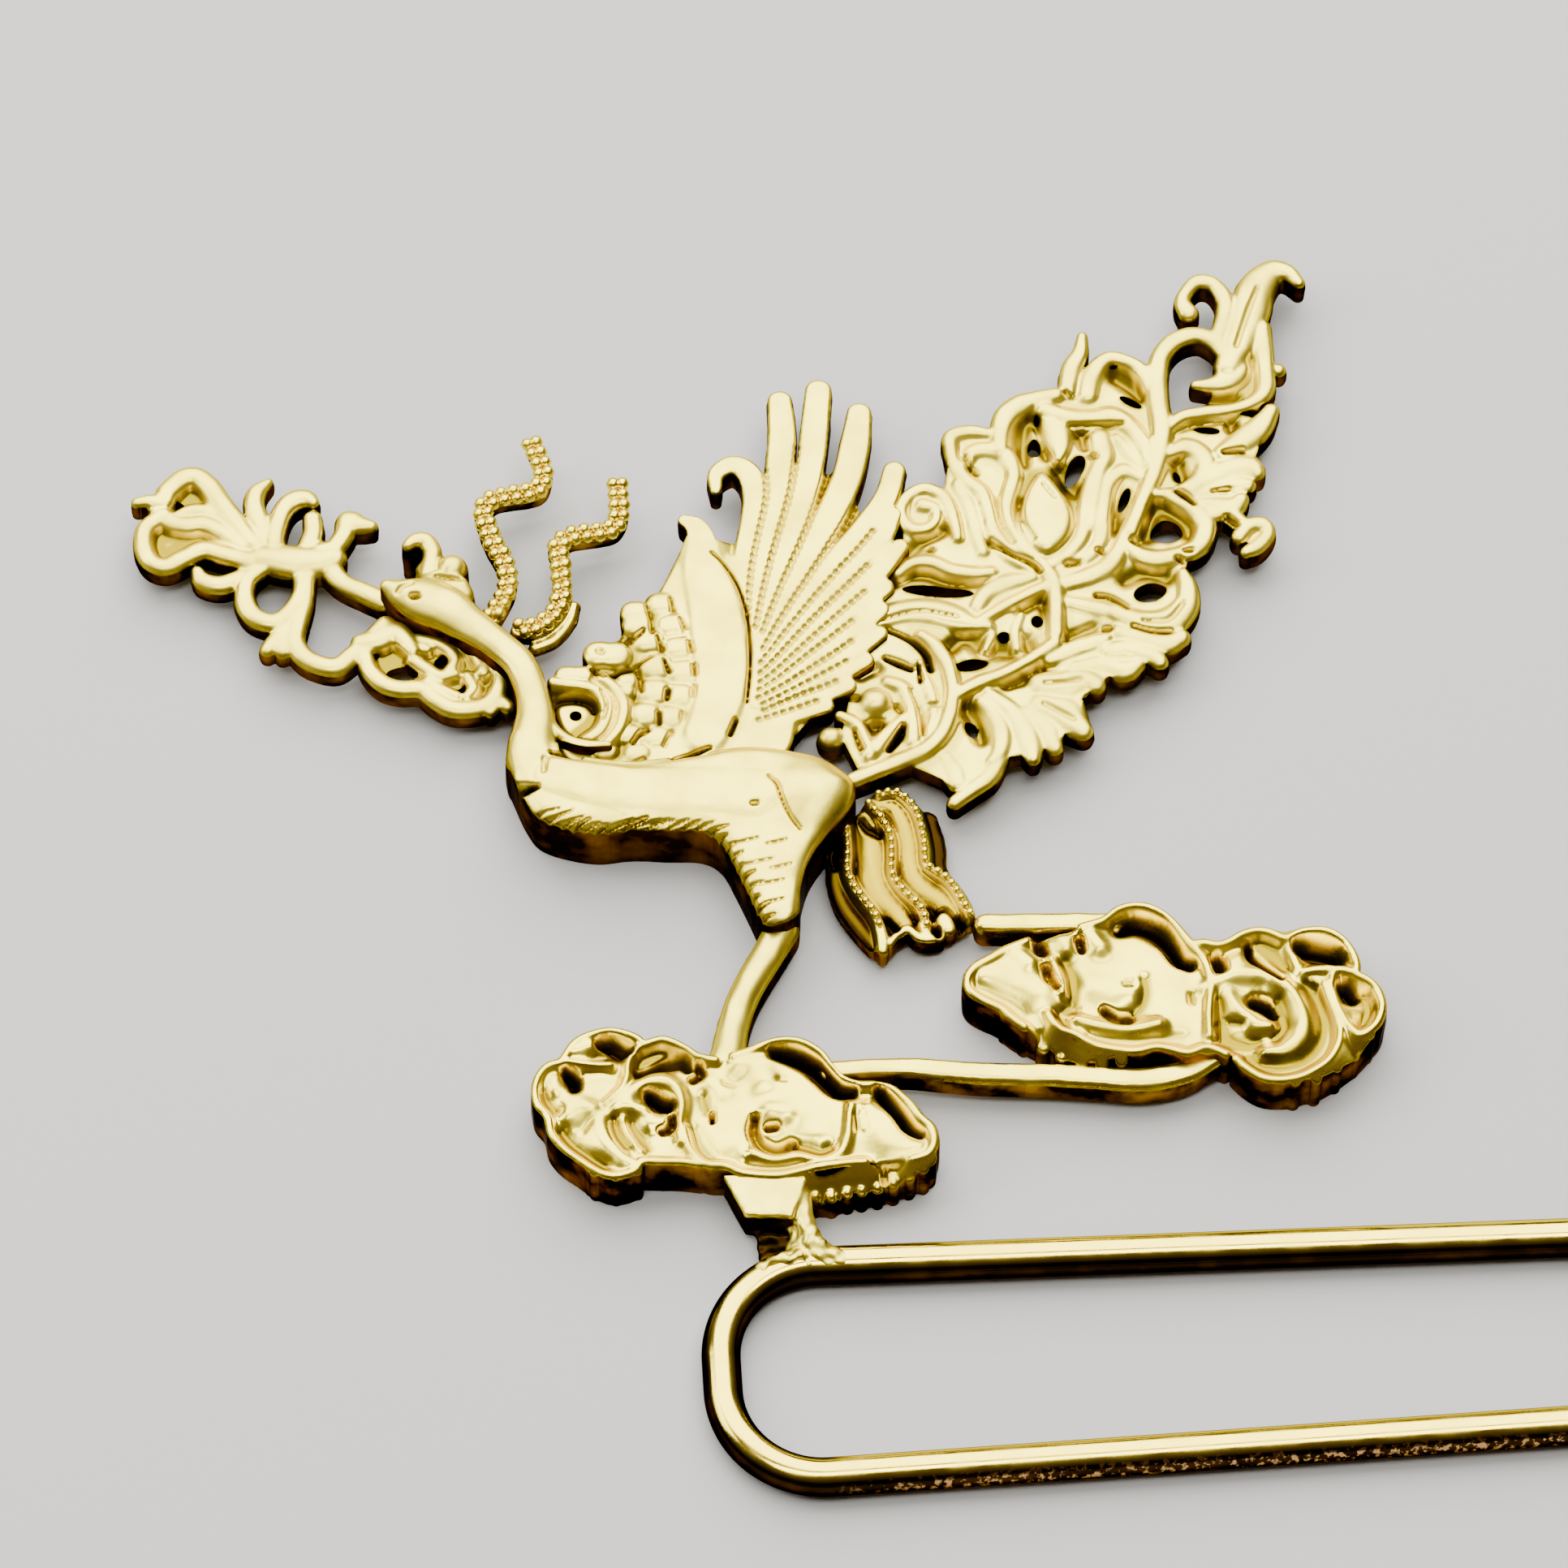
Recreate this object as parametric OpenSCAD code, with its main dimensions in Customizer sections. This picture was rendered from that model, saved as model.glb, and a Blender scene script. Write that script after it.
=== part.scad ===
// Hair stick: a crane with a lotus scroll, a flower spray and two clouds, over a two-pronged wire fork.
// It lies on its back. +X runs along the prongs to their tips, +Z is the front of the ornament,
// and the origin is under the middle of the whole, on the surface that it lies on.

/* [Fork] */
// Diameter of the round wire
wire_d = 2.2; // [1.8:0.1:2.6]
// Distance between the prongs' middles where they leave the bend
prong_spacing = 13; // [11:0.5:15]
// How far each prong leans towards the other, in degrees
toe_in = 1; // [0:0.5:1.5]
// Where the prongs leave the bend, along X
prong_start_x = -33.1; // [-34:0.1:-32]
// Where the prongs end, along X
prong_end_x = 70; // [40:1:90]
// Radius of the bend's corners, at the middle of the wire
bend_r = 5.5; // [4:0.5:6]
// The middle line between the prongs, along Y
fork_y = -31.7; // [-33:0.1:-31]

/* [Cast ornament] */
// Height of the ornament's back where it hangs clear of the surface
back_z = 1.2; // [0.6:0.1:1.4]
// Height of the sunken floors in the pierced work
floor_z = 1.9; // [1.7:0.1:2.1]
// Height of the clouds' sunken cells
cell_z = 2.1; // [1.8:0.1:2.4]
// Clearance between neighbouring pieces
joint_gap = 0.14; // [0.1:0.02:0.2]

/* [Bars] */
// Height of the underside of the bars and the standing leg
bar_low_z = 0.7; // [0.4:0.1:1]
// Height of the bars' flat top
bar_z = 2.5; // [2.2:0.1:2.8]

/* [Hidden] */
wire_r = wire_d / 2;
half_spacing = prong_spacing / 2;
prong_run = prong_end_x - prong_start_x;
tip_l = 1.6;
// The wire is a hair thinner where solder stands on it, and again in the bend's corners
soldered_run = 4.4;
soldered_r = wire_r - 0.01;
bend_end_r = wire_r - 0.06;
corner_r = wire_r - 0.02;
corner_x = prong_start_x - bend_r * sin(toe_in);
corner_y = half_spacing - bend_r * cos(toe_in);
corner_overlap = 2;
// Corners of a strand's discs, and the share of a strand's width that its flat top keeps
strand_sides = 6;
strand_top_share = 0.64;
// Columns of a strand's points: place along X, place along Y, half width
X = 0;
Y = 1;
HALF = 2;
// Columns of a row of strands: height of the top, points
TOP = 0;
POINTS = 1;
// Columns of a hole: middle along X and Y, half length, half width, turn in degrees
HOLE_A = 2;
HOLE_B = 3;
HOLE_TURN = 4;

// The long neck, from the beak's tip down to the breast
neck_rows = [
    [4.0, [[-55.4, 19.1, 0.3], [-54.3, 18.4, 0.8], [-53.1, 17.6, 1.05], [-51.9, 16.9, 1.1], [-50.6, 15.9, 1],
           [-49.2, 14.8, 0.9], [-48, 13.5, 0.9], [-47.3, 11.6, 0.95], [-47.2, 9.8, 1.1], [-47.3, 8, 1.4]]]];

// The curled comb and the ball behind it
comb_rows = [
    [3.4, [[-54, 22, 0.3], [-53.5, 22.4, 0.45], [-52.8, 22.1, 0.5], [-52.6, 21, 0.5], [-52.9, 19.4, 0.8]]],
    [3.5, [[-51.4, 20.3, 0.85], [-51.8, 18.8, 0.8]]]];

// Breast, belly, haunch and thigh as round masses: middle, radius and height of the top
body_masses = [
    [-46.2, 6.1, 2.5, 4.3], [-44, 4.7, 2.9, 4.5], [-40.5, 4.5, 2.8, 4.4], [-37, 4.1, 2.7, 4.4],
    [-34.4, 3.2, 2.9, 4.6], [-31.6, 3.3, 2.3, 4.9], [-33, 0.8, 2.1, 4.4], [-33.7, -1.6, 1.6, 3.9],
    [-33.9, -4.2, 1, 3.3]];

// Ragged breast feathers under the breast's edge
breast_rows = [
    [3.9, [[-48.6, 7.4, 0.5], [-47.6, 4.4, 0.5], [-46.2, 3.2, 0.6]]],
    [3.8, [[-46.4, 3.2, 0.6], [-43.6, 2.5, 0.6], [-40.6, 2.4, 0.6], [-37.6, 2.1, 0.6]]]];

// Long flight feathers, from the tip to the root
flight_rows = [
    [2.9, [[-35.9, 25, 0.3], [-35.7, 26.1, 0.5], [-34.8, 26.6, 0.55], [-33.9, 25.9, 0.65], [-33.6, 24.2, 0.7],
           [-34, 21.5, 0.7], [-34.6, 17, 0.7]]],
    [2.9, [[-31.8, 30.8, 0.7], [-31.8, 28.4, 0.75], [-32.5, 23.8, 0.75], [-34.2, 16.5, 0.65]]],
    [2.9, [[-29.5, 31.4, 0.7], [-30.1, 27, 0.75], [-31.3, 22.8, 0.75], [-33.9, 15.4, 0.65]]],
    [2.9, [[-27.2, 29.7, 0.7], [-27.9, 26.4, 0.8], [-29.8, 21.8, 0.8], [-33.7, 14.4, 0.65]]],
    [2.9, [[-25.4, 25.6, 0.6], [-26.4, 23, 0.7], [-29.2, 19.4, 0.75], [-34, 13.1, 0.6]]],
    [2.9, [[-25.8, 22.4, 0.55], [-28, 19.4, 0.7], [-31.8, 15.3, 0.7], [-34.1, 12.5, 0.5]]],
    [2.9, [[-25.6, 20.1, 0.5], [-28.6, 17.1, 0.7], [-32.4, 13.3, 0.65], [-34.2, 11.8, 0.5]]],
    [2.9, [[-26.7, 17.7, 0.6], [-30, 14.9, 0.7], [-34.2, 11.3, 0.5]]],
    [2.9, [[-27, 16.1, 0.55], [-30.9, 13.1, 0.65], [-34.4, 10.8, 0.5]]],
    [2.9, [[-27.2, 14.5, 0.5], [-31.1, 11.9, 0.6], [-34.4, 10.3, 0.45]]],
    [2.9, [[-28.1, 12.8, 0.5], [-31.9, 11, 0.6], [-34.5, 9.8, 0.5]]],
    [2.9, [[-29.2, 11.2, 0.45], [-34.3, 9.5, 0.45]]],
    [2.9, [[-30.6, 9.9, 0.45], [-34.7, 8.8, 0.4]]]];

// Broad shoulder feather and the strip beside it
shoulder_rows = [
    [3.3, [[-37.9, 22.8, 0.3], [-37.1, 22.1, 0.6], [-36.5, 18.4, 1.4], [-36.1, 15, 1.6],
           [-36.4, 11.2, 1.45], [-37.4, 8.7, 1]]],
    [3.2, [[-39.3, 18.4, 0.7], [-38.9, 16.2, 0.75], [-38.5, 14, 0.75], [-38.6, 10.5, 0.75]]]];

// Scale-shaped coverts on the leading edge
covert_rows = [
    [3.2, [[-41, 16.9, 0.75], [-40.5, 15.4, 0.85], [-40.1, 13.8, 0.75]]],
    [3.2, [[-43.2, 14.2, 0.8], [-41.8, 14, 0.85], [-40.4, 13.4, 0.75]]],
    [3.2, [[-45.3, 12.7, 0.7], [-43.9, 12.6, 0.85], [-42.4, 12.4, 0.75]]],
    [3.2, [[-41.8, 12.3, 0.75], [-40.8, 11.1, 0.8], [-40.4, 9.8, 0.7]]],
    [3.2, [[-40.2, 12.6, 0.75], [-39.8, 11.2, 0.7], [-39.6, 9.6, 0.6]]],
    [3.2, [[-42, 10.2, 0.8], [-41.2, 9, 0.8], [-40.4, 8.6, 0.8]]],
    [3.2, [[-39.6, 9.2, 0.75], [-38.6, 8.8, 0.7]]]];

// Volute of curls at the wing's root, round a hole
volute_rows = [
    [3.1, [[-45.8, 11.2, 0.6], [-45, 12.2, 0.65], [-43.7, 12, 0.7], [-42.8, 10.8, 0.7], [-42.8, 9.6, 0.7],
           [-43.6, 8.8, 0.65]]],
    [2.9, [[-45.4, 9.6, 0.35], [-45.5, 10.7, 0.35], [-44.7, 11.4, 0.35], [-43.9, 10.9, 0.4], [-43.7, 10, 0.45]]]];

// Sunken floor of the wing between its feathers
wing_floor = [
    [-45.4, 10], [-45.2, 12], [-41, 16.2], [-39.2, 18.2], [-37.2, 21.4], [-34.4, 21.2], [-33.4, 25],
    [-32, 29], [-29.8, 29.8], [-27.6, 28], [-26.2, 23.4], [-26, 20.4], [-27, 16.2],
    [-28.4, 12.6], [-30.8, 9.9], [-35, 8.9], [-42.4, 9]];

// Stems, petals and leaves of the lotus scroll
fan_rows = [
    [2.9, [[-12.4, 20, 0.45], [-11, 22.8, 0.4], [-10, 25.2, 0.5], [-9.6, 28, 0.55], [-9.5, 31.2, 0.55],
           [-9, 32.8, 0.5], [-8, 33.8, 0.5], [-6.8, 34, 0.45], [-5.4, 32.8, 0.45]]],
    [3.0, [[-5.2, 31.8, 0.65], [-4.4, 33.7, 0.9], [-3.7, 35.6, 1], [-3.1, 37.3, 0.95], [-2.1, 38.2, 0.65],
           [-1.2, 38, 0.45], [-0.6, 37.3, 0.3]]],
    [2.9, [[-5.6, 33.8, 0.45], [-5.1, 35.6, 0.45], [-5.3, 37, 0.4], [-6.2, 37.9, 0.4], [-7.6, 36.9, 0.4],
           [-7.3, 35.7, 0.45]]],
    [2.7, [[-5.2, 32.8, 0.5], [-4.8, 31.6, 0.75], [-5.6, 30.8, 0.6], [-7.3, 30.6, 0.25]]],
    [3.0, [[-3.1, 34.4, 0.45], [-3.1, 31.5, 0.45], [-3.3, 30, 0.45], [-4.6, 28.9, 0.35], [-7.2, 28.7, 0.35],
           [-9.1, 27.8, 0.35]]],
    [2.8, [[-6.1, 25.8, 0.4], [-4.8, 26.7, 0.7], [-3.7, 27.7, 0.6], [-3, 28.6, 0.4]]],
    [2.7, [[-8.6, 23.3, 0.35], [-7.1, 24.1, 0.6], [-5.5, 24.8, 0.7], [-4.3, 24.6, 0.5]]],
    [2.9, [[-9.2, 26, 0.35], [-8.2, 26.3, 0.45], [-7.2, 25.6, 0.5], [-7.4, 24.2, 0.5], [-8.9, 23.2, 0.4]]],
    [2.8, [[-14.9, 30.6, 0.5], [-14.4, 32.2, 0.5], [-13.7, 34.3, 0.25]]],
    [2.7, [[-13.7, 30.3, 0.5], [-13.2, 31.9, 0.45], [-12.2, 32.7, 0.4], [-11, 32.4, 0.4], [-10.1, 31.2, 0.4]]],
    [3.0, [[-16.3, 29.4, 0.45], [-15, 28.8, 0.5], [-13, 28.6, 0.55], [-11.6, 28, 0.5], [-10.5, 26, 0.45]]],
    [2.9, [[-15.9, 28.6, 0.6], [-15.7, 27.6, 0.75], [-15.7, 26, 0.3]]],
    [3.0, [[-13.2, 27.2, 0.6], [-13.2, 25.8, 0.5], [-13.9, 23.4, 0.45], [-14.2, 21, 0.45], [-15.6, 19.2, 0.4],
           [-16.9, 18.6, 0.4]]],
    [2.8, [[-11.2, 24.5, 0.3], [-12.3, 24.9, 0.4], [-13, 23.8, 0.4], [-13.5, 21.2, 0.45], [-14.3, 19.5, 0.4],
           [-16.3, 18, 0.4]]],
    [3.1, [[-16.9, 25, 0.35], [-16.8, 23.4, 0.9], [-16.8, 21.4, 1.35], [-16.9, 18.8, 0.5]]],
    [2.9, [[-17.2, 18.7, 0.35], [-18.5, 20.4, 0.45], [-19.1, 22.6, 0.45], [-18.5, 25, 0.45], [-18.9, 26.5, 0.5],
           [-20, 26.9, 0.45], [-21.2, 26, 0.3]]],
    [3.0, [[-17.8, 18.5, 0.35], [-19.3, 20, 0.45], [-20.1, 22.6, 0.45], [-20.6, 24.1, 0.45], [-21.8, 25.8, 0.35],
           [-22, 27.2, 0.4], [-21.4, 28.1, 0.4], [-19.8, 28, 0.35]]],
    [2.9, [[-19.1, 26.8, 0.4], [-19, 28.2, 0.55], [-18.2, 29.5, 0.6], [-16.8, 30.2, 0.5], [-15.2, 30.6, 0.45]]],
    [3.0, [[-22, 20.9, 0.3], [-22.3, 22.9, 0.4], [-23.1, 24.2, 0.4], [-24.4, 24.1, 0.4], [-25, 22.8, 0.4],
           [-24.2, 21.7, 0.35], [-23.2, 22.3, 0.35]]],
    [2.7, [[-25.4, 18.9, 0.3], [-24.2, 19.4, 0.35], [-22.5, 18.8, 0.4], [-20.2, 18.5, 0.35]]],
    [2.8, [[-21.2, 16.2, 0.45], [-20.4, 17.3, 0.5], [-17.8, 18, 0.35]]],
    [2.9, [[-17.1, 18.8, 0.4], [-16.6, 17.2, 0.4], [-16.8, 14, 0.4]]],
    [3.0, [[-27.3, 15.6, 0.45], [-25.4, 16, 0.7], [-23.4, 15.8, 0.8], [-22, 15.3, 0.6], [-20.6, 14.8, 0.25]]],
    [2.9, [[-24.6, 14.4, 0.3], [-23.3, 12.8, 0.35], [-23, 10.8, 0.4], [-23.2, 9, 0.4], [-24.2, 7.2, 0.45],
           [-26.2, 6.1, 0.4], [-28.6, 5.2, 0.45]]],
    [3.0, [[-25.5, 7.4, 0.4], [-25.4, 9.6, 0.4], [-26, 11.1, 0.4], [-27, 11.3, 0.3]]],
    [2.9, [[-27.5, 10.2, 0.8], [-27.4, 10, 0.7]]],
    [3.0, [[-29.4, 9.2, 0.3], [-28.5, 8.4, 0.4], [-28.1, 6.6, 0.4]]],
    [2.7, [[-29.6, 7.7, 0.7], [-29.2, 6.8, 0.5]]],
    [2.9, [[-22.9, 10.2, 0.35], [-20.1, 11.5, 0.4], [-16.9, 13.5, 0.4]]],
    [3.0, [[-21.4, 15, 0.3], [-19, 16.5, 0.35], [-17, 17.3, 0.35]]],
    [2.8, [[-21.4, 10, 0.35], [-20.5, 8.4, 0.5], [-20.8, 6, 0.35]]],
    [2.7, [[-20.9, 10.4, 0.4], [-19.4, 8.6, 0.6], [-18.7, 6.2, 0.45]]],
    [2.8, [[-23.7, 6.2, 0.5], [-23.2, 4.8, 0.7]]],
    [2.9, [[-9.4, 23, 0.3], [-7.9, 22, 0.5], [-7.6, 20.4, 0.55], [-8.6, 19.2, 0.5], [-10.6, 18.8, 0.5],
           [-12.3, 19.8, 0.4]]],
    [2.7, [[-16.2, 16.3, 0.35], [-13.3, 15.4, 0.45], [-11.6, 14.7, 0.65], [-9.9, 14.8, 0.75], [-9, 16, 0.55],
           [-9.1, 17.7, 0.35]]],
    [2.8, [[-13.2, 14.1, 0.45], [-10.6, 13.2, 0.55], [-9.7, 13.5, 0.5]]],
    [2.7, [[-13.8, 12.8, 0.5], [-12.4, 12.8, 0.65], [-11, 12, 0.4]]],
    [2.8, [[-15.8, 11.8, 0.45], [-13.6, 11.8, 0.55], [-12.3, 11.9, 0.4]]],
    [2.7, [[-17.8, 10.8, 0.8], [-16.2, 10.8, 1], [-14.8, 10.6, 0.5]]],
    [2.8, [[-17.9, 9.4, 0.85], [-16.8, 8.9, 1], [-15.8, 7.7, 0.5]]],
    [2.7, [[-18.8, 8.9, 0.65], [-17.7, 7.4, 0.65]]],
    [2.8, [[-7.4, 21.6, 0.45], [-6.2, 21.8, 0.5], [-5.4, 20.6, 0.45]]],
    [2.7, [[-5.6, 20.2, 0.4], [-4.8, 20.9, 0.4], [-4, 20.4, 0.4], [-4.6, 19.3, 0.4], [-5.4, 19.1, 0.35]]],
    [3.0, [[-12.5, 19.8, 0.45], [-14, 18.2, 0.5], [-16, 17.5, 0.45]]]];

// Sunken floors of the scroll: the main one, and the one inside the tip's loop
fan_floor = [
    [-25, 22.6], [-24.2, 24], [-22.8, 24], [-21.8, 27.4], [-19.2, 28], [-18, 29.6], [-15, 30.7],
    [-13.3, 32], [-11, 32.2], [-9.7, 31], [-9.6, 28], [-5.6, 28.7], [-3.8, 27.8], [-4.6, 24.4],
    [-7.7, 21], [-8.9, 19], [-9, 16.2], [-10.2, 13.4], [-12.6, 12], [-15.4, 10.6],
    [-16.2, 8.4], [-18.6, 6.6], [-21, 6.4], [-23.4, 5], [-26, 6.2], [-28.4, 5.4], [-29.3, 8.8], [-27.4, 14.2],
    [-25.8, 19]];
tip_floor = [[-5.5, 30.7], [-8.2, 28.6], [-3.7, 28.7], [-3.2, 31], [-3.3, 33.6], [-4.7, 32.5]];

// Holes through the scroll's floor
fan_holes = [
    [-10.3, 19.9, 0.9, 0.75, 0], [-11.3, 16.7, 0.95, 0.55, 15], [-15, 25.4, 0.4, 0.9, -20],
    [-12.4, 22.6, 0.28, 0.8, -15], [-18.2, 26.6, 0.3, 0.5, 0], [-18.1, 28.2, 0.25, 0.3, 0],
    [-11.8, 29.6, 0.6, 0.25, -35], [-12, 31.4, 0.5, 0.3, -20], [-7.2, 27, 0.7, 0.25, -10],
    [-8.9, 24, 0.25, 0.4, 0], [-24.1, 17, 2.2, 0.33, -4], [-21.9, 11.4, 0.9, 0.4, -10], [-22.1, 8, 0.4, 0.5, 0],
    [-21.5, 13.9, 0.3, 0.3, 0], [-20, 13.7, 0.45, 0.4, 0], [-18.1, 14.6, 0.35, 0.42, 0],
    [-26.6, 7.6, 0.2, 0.6, -40], [-8.6, 21.6, 0.45, 0.25, -40], [-18.2, 11.6, 0.4, 0.25, 20]];

// The flower spray in the beak
spray_rows = [
    [2.8, [[-69.7, 26.2, 0.3], [-68.6, 26.3, 0.5], [-67.8, 27.2, 0.6], [-66.5, 27.9, 0.6], [-65.4, 27, 0.6],
           [-64.2, 25, 0.6], [-62.8, 22.9, 0.5]]],
    [2.6, [[-68.5, 25.6, 0.5], [-67.2, 24.7, 0.55], [-65.8, 24.6, 0.55], [-63.6, 22.9, 0.5]]],
    [2.8, [[-68.4, 25.2, 0.5], [-69.4, 24, 0.5], [-69, 22.2, 0.5], [-68, 21.9, 0.5], [-66, 22.8, 0.55],
           [-63.2, 21.9, 0.55]]],
    [2.6, [[-66.3, 21.4, 0.4], [-65.2, 20.5, 0.55], [-62.8, 21.2, 0.5]]],
    [2.6, [[-62, 27.2, 0.25], [-62.9, 26.2, 0.5], [-62.4, 23.6, 0.5]]],
    [2.8, [[-59.4, 25.6, 0.3], [-60.4, 25.9, 0.6], [-61.4, 24.6, 0.6], [-61.8, 22.6, 0.55]]],
    [2.6, [[-59.5, 24.6, 0.5], [-59.9, 22.5, 0.6]]],
    [2.8, [[-62.5, 22.1, 0.8], [-60.8, 21.8, 1], [-59, 21.7, 0.95], [-58.4, 21.8, 0.7]]],
    [2.8, [[-56.1, 23.8, 0.35], [-57.3, 24.2, 0.65], [-57.8, 23.2, 0.55], [-59.1, 22.2, 0.7]]],
    [2.6, [[-58.6, 21.1, 0.6], [-57.4, 19.8, 0.55], [-55.9, 18.9, 0.6]]],
    [2.6, [[-62.6, 21.4, 0.5], [-63.6, 20, 0.5], [-63.2, 18.3, 0.55], [-62, 17.7, 0.55], [-60.8, 18.6, 0.5],
           [-60.2, 21, 0.5]]],
    [2.6, [[-61, 17.2, 0.6], [-62.4, 15.9, 0.4]]],
    [2.6, [[-60, 20.5, 0.5], [-60.4, 18, 0.5], [-60.7, 16.2, 0.55], [-59.8, 14.9, 0.55], [-58.4, 14.6, 0.55],
           [-57, 15.6, 0.55], [-55.4, 17.1, 0.6]]],
    [2.8, [[-57, 16, 0.5], [-55.2, 16.5, 0.7], [-54.1, 15.3, 0.45]]],
    [2.6, [[-56.9, 15.2, 0.45], [-56.3, 13.7, 0.5], [-54.8, 12.9, 0.5], [-53.4, 12.5, 0.5], [-52.2, 11.5, 0.5],
           [-50.4, 11.2, 0.5], [-49.2, 12.2, 0.45], [-49.2, 13.8, 0.4], [-50, 13.6, 0.4]]],
    [2.6, [[-55, 16.9, 0.45], [-53.2, 15.4, 0.45], [-51.5, 15.6, 0.35]]],
    [2.6, [[-54, 14.7, 0.4], [-52.5, 13.6, 0.35], [-51.6, 13.6, 0.3]]],
    [2.6, [[-49.8, 11, 0.4], [-48.7, 11.1, 0.4]]]];

// Floors of the spray: the two petals, and the pierced scroll
petal_floor = [[-68.4, 25.4], [-67, 27.4], [-65.2, 26.6], [-63.2, 23.4], [-66, 22.8], [-68.6, 22.2], [-69.2, 24]];
scroll_floor = [[-56.4, 14.6], [-54.8, 16.6], [-51.4, 15.6], [-49.4, 14], [-49.6, 11.8], [-52.4, 11.8], [-55.6, 13]];
spray_holes = [
    [-67.1, 25.7, 0.25, 0.45, 10], [-54.5, 13.9, 0.85, 0.4, 0], [-52.4, 14.6, 0.4, 0.35, 0],
    [-51.2, 12.6, 0.5, 0.25, 20]];

// Wavy beaded crest plumes, from the head to the tip
front_plume_rows = [
    [3.1, [[-49.5, 16.8, 0.5], [-48.7, 18.3, 0.55], [-48.3, 19.8, 0.6], [-48.7, 21.5, 0.55], [-49.4, 23.4, 0.55],
           [-49.5, 24.7, 0.55], [-48.7, 25.3, 0.55], [-47, 25.5, 0.55], [-46.1, 26, 0.55], [-46, 27.2, 0.5],
           [-46.5, 29, 0.35]]]];
rear_plume_rows = [
    [3.1, [[-47.9, 16, 0.5], [-46.4, 16.6, 0.65], [-45.5, 17.6, 0.6], [-45.2, 19.2, 0.55], [-45.3, 21.4, 0.55],
           [-44.7, 22.4, 0.55], [-42.9, 22.6, 0.5], [-41.9, 23, 0.5], [-41.6, 24.2, 0.5], [-41.6, 25.9, 0.35]]],
    [2.2, [[-46.9, 15.3, 0.4], [-45.6, 15.9, 0.4], [-44.6, 17.6, 0.35]]]];

// Beaded tail bands, from the haunch to the tip, and the deeper strips between them
tail_rows = [
    [2.6, [[-30.5, 2, 0.3], [-30.5, -0.4, 0.35], [-29.9, -2.6, 0.35], [-28.2, -6.1, 0.3]]],
    [2.6, [[-29, 3, 0.3], [-29, -1.6, 0.35], [-28.2, -4, 0.35], [-27.3, -5.7, 0.3]]],
    [2.6, [[-27.7, 3.4, 0.3], [-27.2, 1, 0.35], [-27.2, -1.2, 0.35], [-26.3, -3.4, 0.35], [-25.4, -4.9, 0.3]]],
    [2.6, [[-26, 3.8, 0.3], [-25.4, 1.8, 0.35], [-25.3, -0.4, 0.35], [-23.5, -4.1, 0.3]]],
    [2.6, [[-24.5, 2.8, 0.3], [-24.3, -0.6, 0.35], [-23.4, -2.1, 0.35], [-22.8, -3.7, 0.3]]]];
tail_floor = [
    [-30.5, 2.4], [-30.5, -0.4], [-29.9, -2.6], [-28.2, -6], [-27, -5], [-25.6, -5.2], [-24.6, -4.4],
    [-22.9, -4], [-23.6, -1.8], [-24.4, -0.4], [-24.5, 2.8], [-26, 3.8]];

// Cloud at the right, under the bar from the tail
upper_cloud_rows = [
    [3.1, [[-20.4, -6.3, 0.5], [-23, -7.9, 0.6], [-22.8, -9.8, 0.6], [-20, -11.2, 0.6]]],
    [3.1, [[-20.4, -7.4, 0.8], [-20.8, -9.2, 0.95], [-19.4, -10.2, 0.8]]],
    [3.4, [[-15.5, -6.7, 0.4], [-15, -5.5, 0.35], [-13.8, -4.8, 0.35], [-12.3, -5.2, 0.35], [-11.2, -7, 0.4],
           [-10.3, -8.6, 0.45]]],
    [3.4, [[-14.7, -10.2, 1.6], [-14.5, -10.1, 1.5]]],
    [3.1, [[-11.6, -9.2, 0.85], [-13.4, -7.4, 0.85], [-15.7, -7.5, 0.8], [-17.1, -9.6, 0.7],
           [-16.3, -11.8, 0.6], [-13.8, -12.6, 0.75], [-11.7, -11.9, 0.95], [-11.3, -10.4, 0.95]]],
    [3.1, [[-17.4, -7, 0.5], [-18.2, -8.8, 0.5], [-18.6, -10.8, 0.5]]],
    [3.4, [[-19.7, -11.1, 0.5], [-18, -12.9, 0.5], [-15.4, -13.9, 0.5], [-12, -13.5, 0.5], [-9.5, -14.1, 0.5]]],
    [3.4, [[-11.2, -6.8, 0.4], [-9.3, -7.3, 0.4], [-7.6, -6.8, 0.4], [-5.5, -7.4, 0.4]]],
    [3.1, [[-10, -8.9, 0.6], [-9.7, -12.5, 0.65]]],
    [3.4, [[-9.4, -9.8, 0.5], [-6.6, -9.6, 0.6], [-4.9, -11.4, 0.75], [-4.6, -13.4, 0.8],
           [-5.8, -14.8, 0.75], [-7.4, -15.1, 0.65], [-9, -14.2, 0.55]]],
    [3.1, [[-8.9, -13, 0.55], [-9.2, -11.4, 0.55], [-8.2, -10.3, 0.5], [-6.8, -10.4, 0.5], [-6.2, -11.8, 0.5],
           [-7.6, -12.6, 0.7]]],
    [3.4, [[-5, -9.7, 0.45], [-3.8, -11, 0.55], [-3.3, -13.2, 0.6], [-4, -15.2, 0.6]]],
    [3.4, [[-5.3, -7.7, 0.35], [-4.2, -7, 0.35], [-2.8, -7.6, 0.35], [-2, -9.4, 0.4], [-4.4, -9, 0.4]]],
    [3.4, [[-2.8, -10, 0.3], [-1.4, -10.3, 0.4], [-0.9, -11.9, 0.4], [-1.9, -13.5, 0.45], [-3, -12.2, 0.4]]]];
upper_cloud_floor = [
    [-22.8, -8.4], [-20.2, -6.5], [-17.4, -7], [-15.2, -5.4], [-12.8, -5.1], [-10.6, -7.1], [-4.4, -7.2],
    [-1.2, -10.8], [-2, -13.2], [-4.4, -15.2], [-8, -14.7], [-15.2, -13.8], [-20, -11.2]];
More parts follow.
